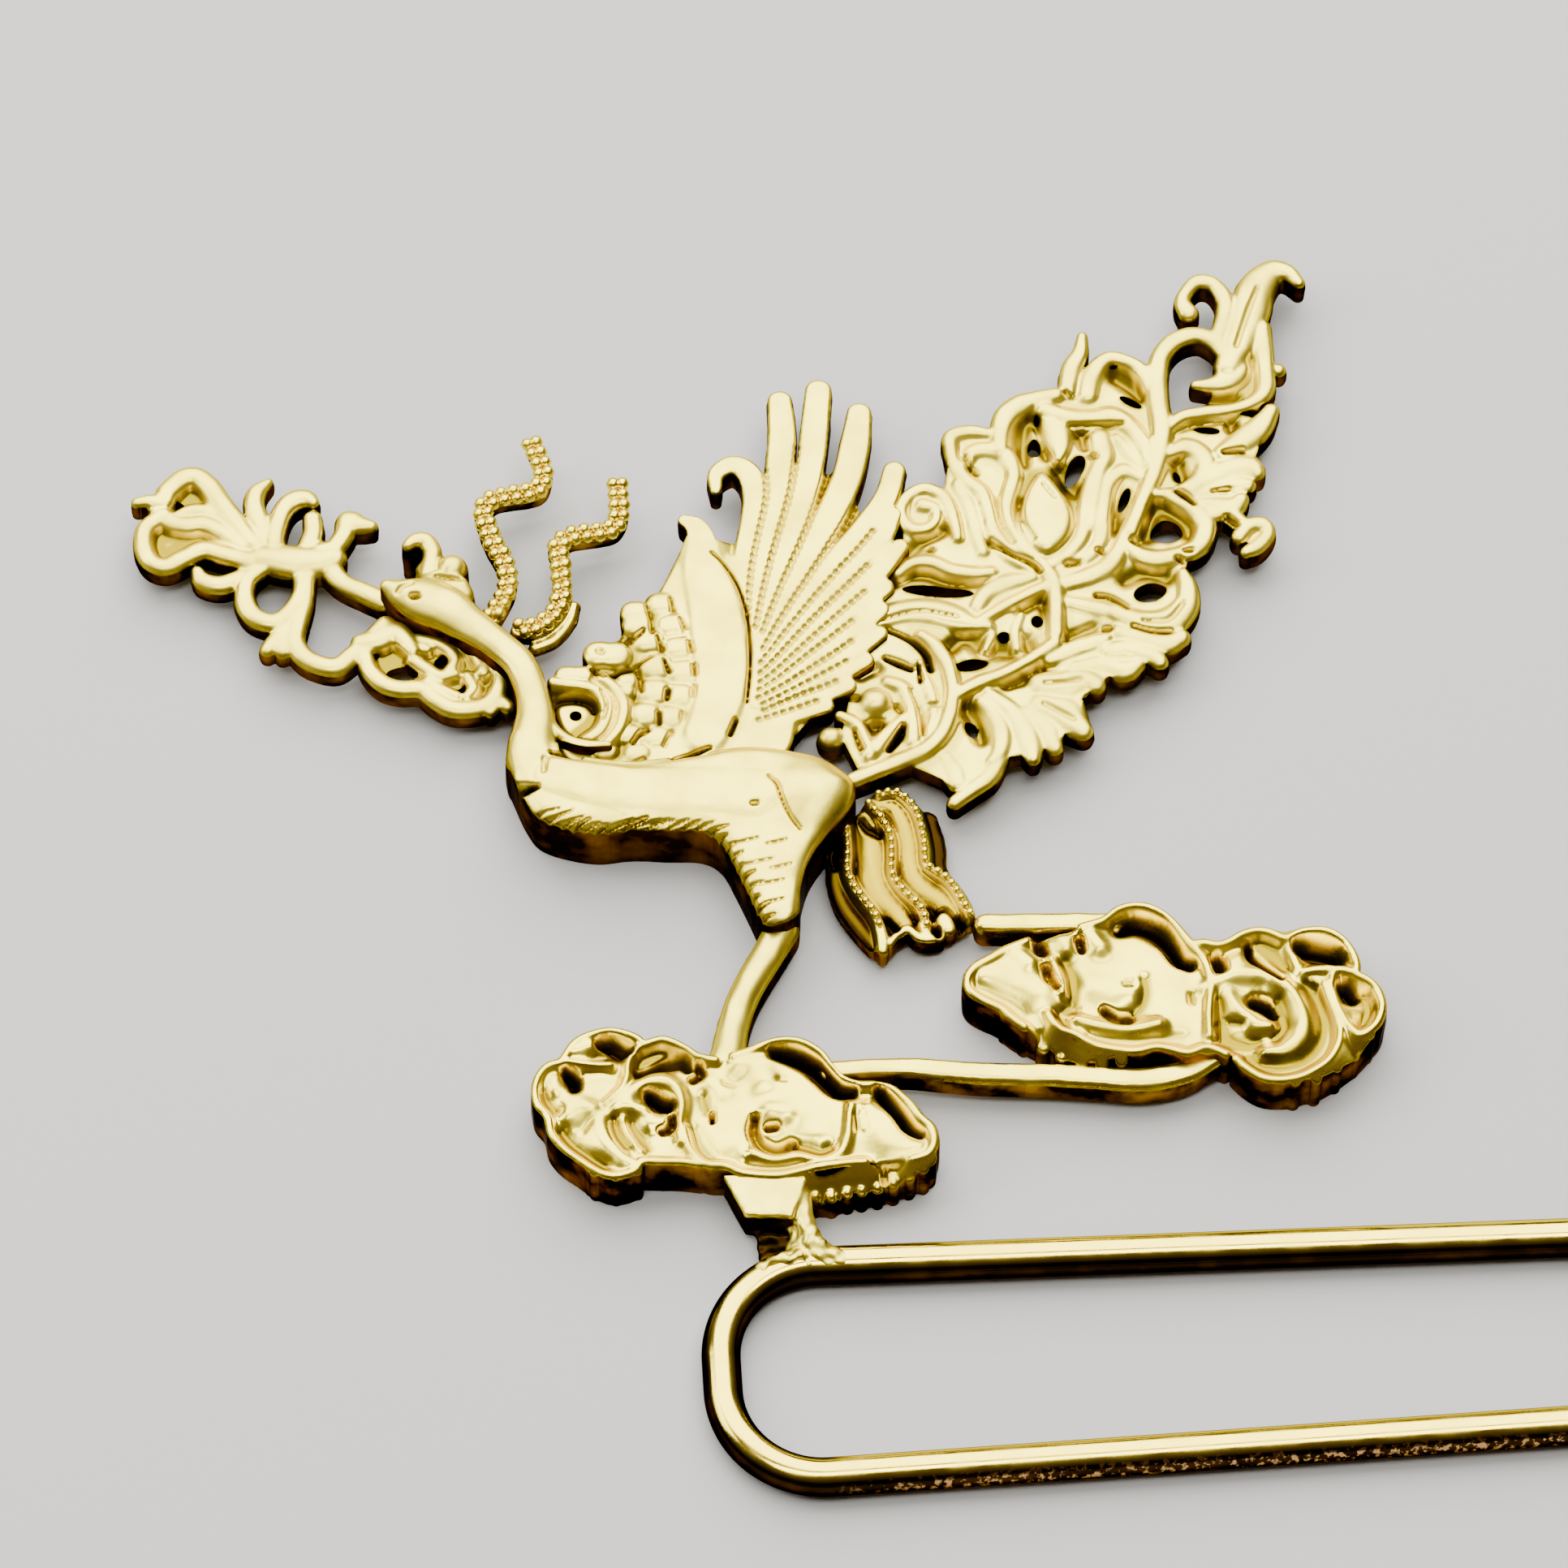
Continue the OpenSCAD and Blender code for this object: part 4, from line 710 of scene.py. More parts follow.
scroll_dips = [
    (.6, [(-10.9, 20.6, .6), (-10.7, 21.8, .6), (-9.8, 22.3, .6), (-8.8, 21.6, .6), (-8.5, 20.6, .5)]),
    (.6, [(-12.4, 17.6, .5), (-11.2, 18.1, .6), (-10.1, 17.6, .5)]),
    (.7, [(-15.8, 25.6, .4), (-15.4, 24.6, .5), (-14.9, 23.9, .5)]),
    (.5, [(-14.3, 27.8, .4), (-14.1, 26.9, .35)]),
    (.7, [(-12.5, 24.4, .4), (-13, 23.4, .5), (-13, 22, .5), (-12.8, 21, .4)]),
    (.6, [(-17.8, 26, .4), (-17.7, 27.4, .45), (-17.3, 28.8, .45), (-16.4, 27.8, .4), (-16.4, 26.4, .4)]),
    (.7, [(-11.9, 31.6, .5), (-11.2, 31, .55), (-10.5, 30.2, .4)]),
    (.6, [(-8.6, 28, .4), (-7.2, 28.4, .5), (-5.6, 28.4, .45), (-5.4, 27.6, .35)]),
    (.5, [(-7.2, 29.9, .4), (-6.2, 29.8, .45), (-5, 29.6, .4)]), (.6, [(-8.8, 25.8, .4), (-8.6, 24.4, .4)]),
    (.7, [(-26.2, 18, .3), (-25, 18.7, .4), (-24, 18.7, .5), (-22.5, 18.2, .5), (-20.8, 18.1, .4)]),
    (.5, [(-24.8, 20.2, .4), (-23.9, 21, .4), (-22.6, 21.7, .4)]),
    (.6, [(-23.2, 13.4, .4), (-22, 14.2, .6), (-21, 13.4, .6), (-19.6, 13.2, .5)]),
    (.6, [(-18.7, 16, .4), (-17.6, 16.6, .5), (-17.1, 15.6, .35)]),
    (.5, [(-18.5, 13.9, .4), (-18.3, 13.2, .35)]),
    (.7, [(-19.8, 11, .35), (-18.6, 11.4, .4), (-17.4, 12.1, .4)]),
    (.7, [(-22.8, 10.2, .4), (-22, 9, .5), (-21.6, 7.4, .4)]),
    (.6, [(-6.6, 22.2, .35), (-6, 21.2, .4), (-6.2, 20.4, .35)]),
    (.5, [(-28.2, 12, .35), (-27.2, 12.5, .35)]),
    (.5, [(-27.8, 8.5, .45), (-27.4, 8.5, .4)]), (.5, [(-16, 13.9, .4), (-14.6, 14.5, .35)]),
]
scroll_lines = [
    (.7, [(-26.6, 15, .1), (-25.8, 14.6, .13), (-25, 14, .14), (-24.4, 13.2, .16), (-24.2, 12.2, .18)]),
    (.6, [(-24.9, 12.5, .12), (-24.8, 11.4, .12)]),
    (.8, [(-26.7, 13.1, .14), (-26, 12.7, .2), (-25.3, 12.3, .16)]),
    (.5, [(-28.9, 10.6, .2), (-28.5, 10.5, .2)]), (.5, [(-27.7, 8.8, .28), (-27.3, 8.8, .25)]),
    (.4, [(-26.3, 9.8, .18), (-26.1, 9.5, .18)]),
    (.3, [(-25.4, 10.7, .12), (-25, 9.4, .15), (-24.9, 7.8, .13)]),
    (.8, [(-26, 8.4, .12), (-26.3, 7.8, .2), (-26.9, 7, .16)]),
    (.5, [(-28.8, 8.2, .12), (-28.5, 7.1, .18)]),
    (.3, [(-24.4, 9.7, .15), (-24, 9.7, .15)]),
    (.6, [(-9, 23.3, .18), (-8.5, 22.9, .2), (-8.1, 22.4, .15)]),
    (.4, [(-6.9, 23.2, .1), (-5.9, 23.3, .12)]), (.5, [(-6.2, 21.4, .18), (-5.7, 20.9, .16)]),
    (.5, [(-8.8, 19.2, .15), (-8.5, 19.2, .15)]), (.5, [(-9.3, 18.7, .16), (-9.1, 18.6, .16)]),
    (.4, [(-11.8, 20.1, .18), (-11.6, 20, .18)]), (.4, [(-13.9, 19.6, .16), (-13.7, 19.5, .16)]),
    (.4, [(-15.7, 18.7, .2), (-15.1, 18.8, .2)]),
    (.5, [(-14.2, 16.6, .15), (-13.4, 16.4, .15), (-12.5, 15.6, .15)]),
    (.5, [(-13.9, 14.3, .18), (-13.6, 14.3, .18)]),
    (.45, [(-12.3, 14.3, .1), (-11.2, 13.9, .12), (-10.1, 13.8, .12)]),
    (.5, [(-6, 25.8, .15), (-4.9, 25.9, .15)]),
    (.4, [(-21.2, 26.4, .18), (-21, 25.8, .2), (-20.6, 25.3, .15)]),
    (.4, [(-23.7, 20.3, .18), (-23.5, 20.3, .18)]),
    (.5, [(-20.1, 20.5, .18), (-19, 19.6, .18), (-17.9, 18.9, .2), (-17.4, 18.3, .16)]),
    (.35, [(-15, 30.5, .15), (-14.6, 30.2, .13)]), (.35, [(-13.8, 26.1, .18), (-13.6, 26, .18)]),
    (.25, [(-18.2, 23.4, .15), (-18.2, 21.8, .16), (-17.6, 20.4, .15)]),
    (.25, [(-19.6, 23.4, .15), (-19.4, 21.8, .16), (-18.8, 20.4, .15)]),
    (.2, [(-16.8, 24, .1), (-16.2, 23.1, .1)]),
    (.3, [(-14.9, 28.2, .12), (-13.2, 28.1, .15), (-11.8, 28.1, .12)]),
]
VEIN_DEPTH = 0.22
scroll_veins = [
    [(-4.7, 33, .15), (-3.8, 35.4, .18), (-3.1, 37, .12)],
    [(-27, 15.5, .12), (-24.6, 16, .16), (-22.4, 15.5, .12)],
    [(-11.6, 14.6, .15), (-10.2, 14.6, .2), (-9.3, 15.6, .15)],
    [(-17.6, 10.8, .15), (-15.6, 10.9, .15)],
    [(-17.8, 9.4, .15), (-16.2, 8.3, .15)],
]

# %% Cast the scroll
scroll = new_casting(-31.5, 1.5, 0.6, 40)
lay_floor(scroll, scroll_floor, 2.55, scroll_holes)
lay_floor(scroll, tip_floor, 2.3)
# The dips get a painted shade of only a fifth of their depth
cut_table(scroll, scroll_dips, tone=0.2)
lay_table(scroll, scroll_strands, roundness=0.6, swell=1.25)
lay_pad(scroll, lotus_bud, 3.25, edge=0.7, drop=0.4)
for knob in scroll_knobs:
    lay_knob(scroll, *knob)
soften(scroll)
cut_table(scroll, scroll_lines)
cut_table(scroll, [(VEIN_DEPTH, vein) for vein in scroll_veins])
lotus_scroll = skin(scroll, "lotus_scroll", CAST_BACK, satin_gold, seed=11, hollow_depth=1.3,
                    groove_depth=0.6)

# %% [markdown]
# ## The raised wing
# The wing has long flight feathers that fan out. Beside them lies a broad smooth shoulder
# feather, and short rounded coverts overlap like scales along the leading edge, which ends in a
# curl round a small hole. A row of coverts is the height of the tops, and then x, y and half width
# of each scale.

# %% The wing's feathers
flight_feathers = [
    (2.9, [(-35.9, 24.9, .3), (-35.8, 26, .45), (-34.8, 26.6, .55), (-33.9, 25.9, .65), (-33.6, 24.3, .7),
           (-33.9, 22.3, .7), (-34.4, 20, .7), (-34.7, 17, .65)]),
    (2.9, [(-31.8, 30.8, .65), (-31.8, 28.6, .75), (-32.1, 26.2, .75), (-32.5, 23.8, .75),
           (-33.3, 21.1, .7), (-34, 18, .65), (-34.4, 15, .6)]),
    (2.9, [(-29.5, 31.4, .7), (-29.8, 29.3, .75), (-30.2, 26.7, .75), (-30.9, 24.1, .75),
           (-31.8, 21.4, .75), (-32.9, 18.3, .7), (-33.9, 15.4, .65)]),
    (2.9, [(-27.2, 29.7, .65), (-27.6, 27.5, .8), (-28.3, 25, .8), (-29.5, 22.5, .8), (-30.8, 20, .75),
           (-32.4, 17.1, .7), (-33.7, 14.4, .65)]),
    (2.9, [(-25.4, 25.6, .6), (-26, 23.8, .65), (-27.5, 21.5, .75), (-29.2, 19.5, .75), (-31, 17.2, .7),
           (-32.8, 14.8, .65), (-34, 13.1, .6)]),
    (2.9, [(-25.7, 22.6, .5), (-26.5, 21.1, .65), (-28.2, 19.2, .7), (-30, 17.3, .7), (-31.8, 15.3, .65),
           (-33.2, 13.6, .65), (-34.1, 12.5, .5)]),
    (2.9, [(-25.4, 20.4, .45), (-26.9, 18.7, .65), (-28.6, 17.1, .7), (-30.8, 15, .65), (-32.9, 12.8, .65),
           (-34.2, 11.8, .5)]),
    (2.9, [(-26.6, 17.7, .6), (-28.5, 16.1, .65), (-30.7, 14.2, .65), (-32.8, 12.4, .65),
           (-34.2, 11.3, .5)]),
    (2.9, [(-26.9, 16.2, .55), (-28.8, 14.6, .65), (-30.9, 13.1, .65), (-33, 11.6, .6), (-34.4, 10.8, .5)]),
    (2.9, [(-27, 14.6, .45), (-28.9, 13.3, .6), (-31.1, 11.9, .6), (-33.2, 10.8, .55), (-34.4, 10.3, .4)]),
    (2.8, [(-27.9, 12.9, .45), (-29.8, 11.9, .55), (-31.9, 11, .55), (-33.9, 10, .45)]),
    (2.8, [(-29, 11.3, .45), (-30.9, 10.6, .55), (-32.8, 10, .5), (-34.3, 9.5, .45)]),
    (2.8, [(-30.4, 10, .45), (-32.1, 9.5, .45), (-33.5, 9.1, .45), (-34.7, 8.8, .35)]),
]
shoulder_feather = [
    (-37.9, 22.8, .3), (-37.2, 22.3, .6), (-36.9, 21.1, .85), (-36.9, 19.5, 1.1), (-36.5, 17.5, 1.4),
    (-36.3, 15.1, 1.5), (-36.3, 12.6, 1.5), (-36.6, 10.3, 1.3), (-37.4, 8.4, 1.1),
]
wing_floor = [
    (-45.4, 9), (-45.2, 12), (-41, 16.2), (-39.2, 18.2), (-37.4, 21.4), (-34.4, 21.2), (-33.6, 22.8),
    (-32.2, 24.4), (-31.4, 26.8), (-30.4, 26.2), (-29.2, 25.8), (-28.2, 26), (-27.6, 23), (-26.9, 21.6),
    (-26.6, 19.8), (-27, 16.2), (-28.4, 12.6), (-30.8, 9.9), (-34, 6.2), (-38.6, 6), (-42.4, 5.8),
    (-45, 6.8),
]
wing_pad = [
    (-46, 8.8), (-46.1, 12.4), (-44.6, 12.9), (-42.6, 14.4), (-41, 16.4), (-39.6, 18.2), (-38.4, 20.4),
    (-37.4, 22), (-35.6, 20.8), (-34.4, 19.4), (-33.4, 15.6), (-32, 12.4), (-32, 9.6), (-33.4, 6.4),
    (-38.6, 6), (-42.4, 5.8), (-45.2, 7),
]
covert_scales = [
    (3.12, [(-39.5, 17.3, .8), (-38.9, 15.8, .85), (-38.6, 14.3, .85), (-38.5, 12.7, .85),
            (-38.8, 11.1, .85), (-39.4, 9.7, .8), (-40.2, 8.4, .75), (-41.4, 7.4, .65)]),
    (3.24, [(-40.4, 14.8, .8), (-40, 13.1, .85), (-40.2, 11.4, .85), (-40.8, 9.9, .8), (-41.8, 8.6, .7),
            (-43.2, 7.6, .6)]),
    (3.36, [(-41, 16.7, .75), (-40.9, 15.9, .8), (-41.7, 12.1, .45), (-41.9, 11.4, .4)]),
    (3.4, [(-43.2, 14, .85), (-42.4, 13.9, .85), (-45.1, 12.6, .65), (-44.4, 12.6, .6)]),
]
volute_rings = [
    [(-46, 12.2, .3), (-45, 12, .35), (-43.9, 11.7, .35), (-43.1, 10.9, .38), (-43, 9.9, .38),
     (-43.4, 8.9, .38), (-44.3, 8.2, .32)],
    [(-43.2, 12.3, .25), (-42.4, 11.5, .32), (-42, 10.4, .35), (-42.3, 9, .32), (-43.1, 7.9, .28)],
]
wing_cuts = [
    (.5, [(-46.2, 10.6, .25), (-45.7, 11.1, .3), (-44.8, 11.2, .28), (-44, 10.9, .25), (-43.7, 10.3, .18)]),
    (.6, [(-46.2, 10.4, .25), (-45.9, 9.3, .25), (-45.3, 8.5, .22), (-44.6, 8.1, .16), (-43.6, 7.8, .12)]),
    (.6, [(-42.5, 12.5, .12), (-42, 12.7, .15), (-41.5, 12.9, .12)]),
    (.45, [(-43.7, 12.9, .13), (-43.1, 12.5, .18)]),
    (.35, [(-41.1, 12.8, .13), (-41, 12.1, .15), (-40.9, 11.4, .12)]),
    (.35, [(-41.2, 13.1, .1), (-40.2, 13.7, .1)]),
    (.2, [(-43.3, 14.1, .2), (-43.1, 14, .2)]),
    (.35, [(-41.6, 14.8, .13), (-41.1, 15, .13), (-40.6, 15.4, .1)]),
    (.35, [(-40.3, 17, .12), (-40.1, 16.1, .13), (-40.1, 15.3, .12)]),
    (.35, [(-39.8, 15, .1), (-39.6, 14.2, .15)]),
    (.45, [(-39.5, 13.4, .1), (-39.3, 12.7, .16)]), (.45, [(-39.4, 11.4, .16), (-39.5, 10.9, .15)]),
    (.45, [(-40, 9.9, .14), (-40, 9.3, .14)]), (.4, [(-40.7, 8.8, .15), (-41.1, 8.6, .15), (-41.6, 8, .1)]),
    (.35, [(-41, 6.9, .12), (-41.6, 6.6, .15)]), (.3, [(-38.9, 17.6, .13), (-38.8, 16.8, .14)]),
    (.3, [(-38.4, 16.2, .12), (-38.2, 15.6, .15)]), (.3, [(-38, 14.6, .13), (-37.9, 14, .15)]),
    (.3, [(-37.8, 13, .16), (-37.8, 12.4, .14)]), (.2, [(-37.9, 11.6, .13), (-38, 11, .12)]),
    (.2, [(-38.6, 9.9, .13), (-38.7, 9.5, .12)]), (.22, [(-39.3, 8.7, .12), (-39.8, 7.8, .12)]),
    (.2, [(-43.2, 11.4, .12), (-43, 10.5, .14), (-43.2, 9.6, .12)]),
    (.4, [(-36.4, 20.5, .06), (-35.7, 19.7, .07), (-35, 18.3, .07), (-34.6, 16.5, .08), (-34.5, 14.6, .08),
          (-34.6, 12.6, .07), (-34.9, 10.4, .06)]),
    (.5, [(-35.6, 9.2, .12), (-36, 8.3, .12)]),
    (.55, [(-39.3, 6.8, .09), (-38.2, 7.1, .12), (-37.2, 7.4, .09)]),
]
volute_hole = (-44.8, 10.05, .36, .34, 0)

# %% [markdown]
# A seam and a row of punched dots run between each two flight feathers. The seam is worked out
# from the two feathers beside it, so it keeps between them if one is moved.

# %% Seams and punched dots
SEAM_HALF = 0.1
DOT_R = 0.15
DOT_STEP = 0.5


def feather_seam(first, second, share=0.8, count=14):
    """The line between two neighbouring feathers, from the root to where they part."""
    first, second = smooth_path(first)[::-1], smooth_path(second)[::-1]
    seam = []
    for t in np.linspace(0, share, count):
        x, y, _ = 0.5 * (first[int(t * (len(first) - 1))] + second[int(t * (len(second) - 1))])
        seam.append((x, y, SEAM_HALF))
    return seam


def cut_dots(casting, rows, depth):
    """A row of small pits along a line, as a round-nosed punch leaves."""
    path = smooth_path(rows, 0.05)
    run = np.concatenate([[0], np.cumsum(np.hypot(*np.diff(path[:, :2], axis=0).T))])
    for stop in np.arange(DOT_STEP / 2, run[-1], DOT_STEP):
        x, y = np.interp(stop, run, path[:, 0]), np.interp(stop, run, path[:, 1])
        part = window(casting, np.array([[x, y]]), BESIDE)
        away = np.hypot(casting["x"][part] - x, casting["y"][part] - y)
        sink(casting, part, depth * np.exp(-(away / DOT_R) ** 2))


# %% Cast the wing
wing = new_casting(-47.5, 5, -23.5, 33, 0.09)
lay_floor(wing, wing_floor, 2.55, [volute_hole])
for top, rows in flight_feathers:
    lay_strand(wing, broaden(rows, 1.12), top + 0.1, roundness=0.2)
lay_pad(wing, wing_pad, 2.9, edge=0.5, drop=0.2)
for top, scales in covert_scales:
    for x, y, half in scales:
        lay_knob(wing, x, y, half, top, reach=0.15, roundness=0.42, flank=1.2)
lay_strand(wing, shoulder_feather, 3.18, roundness=0.1, flank=0.5)
soften(wing)
for line in volute_rings:
    lay_strand(wing, line, 3.45, roundness=0.6, flank=1.0)
cut_table(wing, wing_cuts)
for (_, first), (_, second) in zip(flight_feathers, flight_feathers[1:]):
    seam = feather_seam(first, second)
    # A shallow seam, painted with the shade of a groove three times as deep
    cut_groove(wing, seam, 0.05, tone=3)
    cut_dots(wing, seam, 0.2)
wing["cover"] = np.minimum(wing["cover"], hole_cover(wing["x"], wing["y"], volute_hole))
raised_wing = skin(wing, "raised_wing", CAST_BACK, satin_gold, seed=21, hollow_depth=0.9,
                   groove_depth=0.5)

# %% [markdown]
# ## The flower spray
# The bird holds a spray of blossom: two long petals, a row of small leaves on a hub, loops below
# it, and a little pierced scroll that ends under the neck. It is cast as the lotus scroll is.

# %% The spray's strands
spray_strands = [
    (2.8, [(-69.7, 26.2, .3), (-69, 26.3, .4), (-68.2, 26.2, .55), (-67.9, 26.9, .6), (-67.1, 27.7, .6),
           (-66.3, 27.9, .6), (-65.5, 27.2, .6), (-64.9, 26.1, .6), (-64.2, 25, .55), (-63.5, 23.8, .5),
           (-62.8, 22.9, .5)]),
    (2.7, [(-68.5, 25.6, .5), (-67.8, 24.9, .55), (-66.9, 24.6, .55), (-65.8, 24.6, .55),
           (-64.7, 23.9, .55), (-63.6, 22.9, .5)]),
    (2.8, [(-68.2, 25.3, .5), (-69.2, 24.5, .5), (-69.4, 23.3, .5), (-69, 22.2, .5), (-68.1, 21.8, .5),
           (-67.1, 22.3, .55), (-65.9, 22.8, .55), (-64.6, 22.4, .55), (-63.2, 21.9, .55)]),
    (2.6, [(-66.3, 21.4, .35), (-66, 20.8, .5), (-65, 20.5, .55), (-63.9, 20.8, .55), (-62.8, 21.2, .5)]),
    (2.7, [(-62, 27.2, .25), (-62.7, 26.6, .5), (-62.9, 25.7, .55), (-62.6, 24.6, .55), (-62.4, 23.5, .5)]),
    (2.8, [(-59.4, 25.6, .3), (-59.9, 26, .55), (-60.7, 25.8, .6), (-61.3, 25, .55), (-61.7, 23.7, .55),
           (-61.8, 22.6, .55)]),
    (2.7, [(-59.5, 24.6, .5), (-59.5, 23.6, .55), (-59.9, 22.5, .6)]),
    (2.9, [(-62.5, 22.1, .7), (-61.5, 21.9, .95), (-60.3, 21.7, 1), (-59.1, 21.7, .95), (-58.4, 21.8, .7)]),
    (2.8, [(-56.1, 23.8, .35), (-56.8, 24, .55), (-57.4, 24.3, .65), (-57.7, 23.4, .55), (-58.3, 22.5, .55),
           (-59.1, 22.2, .7)]),
    (2.7, [(-58.6, 21.1, .6), (-57.8, 20.1, .55), (-56.6, 19.4, .6), (-55.6, 18.8, .6)]),
    (2.7, [(-62.6, 21.4, .5), (-63.4, 20.6, .5), (-63.6, 19.3, .55), (-63.1, 18.2, .55), (-62, 17.7, .55),
           (-61.1, 18.2, .55), (-60.5, 19.1, .5), (-60.2, 20.1, .5), (-60.3, 21, .5)]),
    (2.6, [(-61, 17.2, .6), (-61.8, 16.5, .6), (-62.4, 15.9, .4)]),
    (2.6, [(-61.3, 16.8, .6), (-61.5, 15.8, .45)]),
    (2.7, [(-60, 20.5, .5), (-60.2, 18.8, .5), (-60.6, 17.5, .55), (-60.8, 16.3, .55), (-60.3, 15.3, .55),
           (-59.4, 14.7, .55), (-58.4, 14.5, .55), (-57.5, 15.2, .55), (-56.6, 16, .55),
           (-55.5, 17.1, .6)]),
    (2.8, [(-57, 16, .5), (-56, 16.1, .7), (-55.1, 16.6, .7), (-54.4, 16, .6), (-54, 15.2, .35)]),
    (2.7, [(-56.8, 15.3, .45), (-56.6, 14.2, .45), (-55.8, 13.2, .5), (-54.8, 12.8, .5), (-53.6, 12.7, .5),
           (-52.8, 11.9, .5), (-51.9, 11.3, .5), (-50.7, 11.2, .5), (-49.7, 11.5, .5), (-49.1, 12.5, .45),
           (-49, 13.6, .4), (-49.6, 14.2, .4), (-50, 13.6, .4)]),
    (2.6, [(-55, 16.9, .4), (-54.2, 16, .45), (-53.2, 15.4, .35)]),
    (2.6, [(-54, 14.7, .4), (-53.3, 14.1, .4), (-52.5, 13.5, .35), (-51.6, 13.6, .3)]),
    (2.6, [(-51.5, 15.8, .3), (-50.5, 15.1, .35), (-50.1, 14.2, .35)]),
    (2.6, [(-49.7, 11, .35), (-49.1, 11.6, .4), (-48.7, 11.3, .4)]),
    (2.6, [(-53.7, 16.1, .3), (-52.7, 15.8, .35), (-51.8, 15.1, .35), (-51.6, 14.4, .3), (-52, 13.8, .25)]),
    (2.6, [(-53.2, 13.2, .3), (-52.5, 12.6, .35), (-51.6, 12.1, .3)]),
    (2.6, [(-50.9, 13.4, .3), (-50.6, 12.6, .35), (-51, 12, .25)]),
    (2.6, [(-67.6, 25.2, .25), (-66.4, 25.6, .4), (-65, 25.2, .4), (-63.8, 23.9, .3)]),
]
petal_floor = [
    (-68.4, 25.4), (-67, 27.4), (-65.2, 26.6), (-63.2, 23.4), (-66, 22.8), (-68.6, 22.2), (-69.2, 24),
]
spray_scroll_floor = [
    (-56.4, 14.6), (-54.8, 16.6), (-51.4, 15.6), (-49.4, 14), (-49.6, 11.8), (-52.4, 11.8), (-55.6, 13),
]
spray_holes = [
    (-67.2, 25.9, .3, .5, 10), (-54.6, 14, 1, .45, 0), (-52.4, 14.6, .4, .4, 0), (-51.2, 12.6, .5, .3, 20),
]

# %% Cast the spray
spray = new_casting(-71, 9.8, -47.5, 29.5)
lay_floor(spray, petal_floor, 2, spray_holes)
lay_floor(spray, spray_scroll_floor, 1.95, spray_holes)
lay_table(spray, spray_strands, roundness=0.65, swell=1.15)
soften(spray)
flower_spray = skin(spray, "cast_spray", CAST_BACK, satin_gold, seed=31, hollow_depth=1.3)

# %% [markdown]
# ## The bird's body
# The body is the fullest form: a smooth breast and belly, a domed haunch, and a round neck that
# runs up to a broad flat head with a low comb, and on to the beak. Its underside reaches the
# surface that the pin lies on, so the wall under the breast is the tallest of the casting. A row
# of masses is top, roundness, flank and the places that the mass passes.

# %% The body's forms
BODY_BACK = 0.0
neck = [
    (-55.3, 18.8, .4), (-54.4, 18.4, .95), (-53.2, 18, 1.45), (-52, 17.4, 1.45), (-50.9, 16.4, 1.2),
    (-49.7, 15.3, 1), (-48.8, 14.4, .95), (-48, 13.5, .95), (-47.5, 12.4, .95), (-47.2, 11.1, .95),
    (-47.1, 9.8, 1.1), (-47.3, 8.5, 1.3), (-47.4, 7.1, 1.55),
]
head_comb = [
    (-54, 21.9, .35), (-53.6, 22.2, .5), (-53, 22.2, .55), (-52.6, 21.5, .55), (-52.7, 20.6, .6),
    (-52.9, 19.5, .8),
]
head_crest = [(-52.9, 19, .8), (-52, 19.2, .9), (-51.4, 18.9, .8), (-51, 18.2, .7)]
breast_outline = [
    (-47.8, 9.4), (-48.7, 8.4), (-48.8, 6.8), (-48.5, 5.6), (-48, 4.2), (-47.3, 3), (-46, 2.3), (-44, 1.8),
    (-42, 1.9), (-40, 1.7), (-38, 1.5), (-36.9, .7), (-36.2, -.9), (-35.5, -2.8), (-35, -4.2),
    (-34.4, -4.9), (-32.9, -4.3), (-32.6, -2.5), (-32, -.7), (-30.9, .9), (-29.5, 2.4), (-29.1, 4),
    (-30, 5.2), (-31.7, 6.2), (-34.8, 6.9), (-37.8, 6.6), (-41.8, 6.2), (-44.8, 6.7), (-46, 7.3),
    (-46.7, 9.2),
]
body_masses = [
    (4.5, 0.2, 0.3, [(-46.2, 5.4, 1.2), (-42, 4.2, 1.6), (-38, 4, 1.6), (-35, 3.6, 1.8)]),
    (4.25, 0.3, 0.8, [(-33.8, 1.2, 1.2), (-33.6, -1.4, 1), (-33.8, -4, .8)]),
    (4.3, 0.65, 1.6, neck),
    (3.9, 0.8, FLANK, [(-46.9, 13, .2), (-46.6, 11.4, .3), (-46.5, 10, .32), (-46.1, 8.9, .32),
                       (-45.3, 8.1, .3), (-44.2, 7.7, .26), (-43, 7.6, .18)]),
    (3.8, 0.5, 1.2, head_crest),
    (3.4, 0.5, FLANK, [(-53, 20.3, .6), (-52.4, 20.5, .7), (-51.6, 20.3, .7)]),
    (3.6, 0.7, FLANK, head_comb),
]
haunch = [(-31.7, 3.6, 1.8), (-31.4, 3.3, 1.8)]
belly_edge = [(-47.2, 3), (-45.8, 2.2), (-44, 1.9), (-41.9, 1.9), (-39.9, 1.8), (-38, 1.5), (-36.9, .7),
              (-36.2, -.9), (-35.5, -2.8), (-35, -4.2), (-34.6, -4.9)]
thigh_hairs = [
    (-35.6, -1, 1.6), (-35, -2.4, 1.5), (-34.7, -3.6, 1.2), (-36.2, .4, 1.4), (-34.4, .2, 1.2),
    (-34.2, -1.4, 1.2),
]
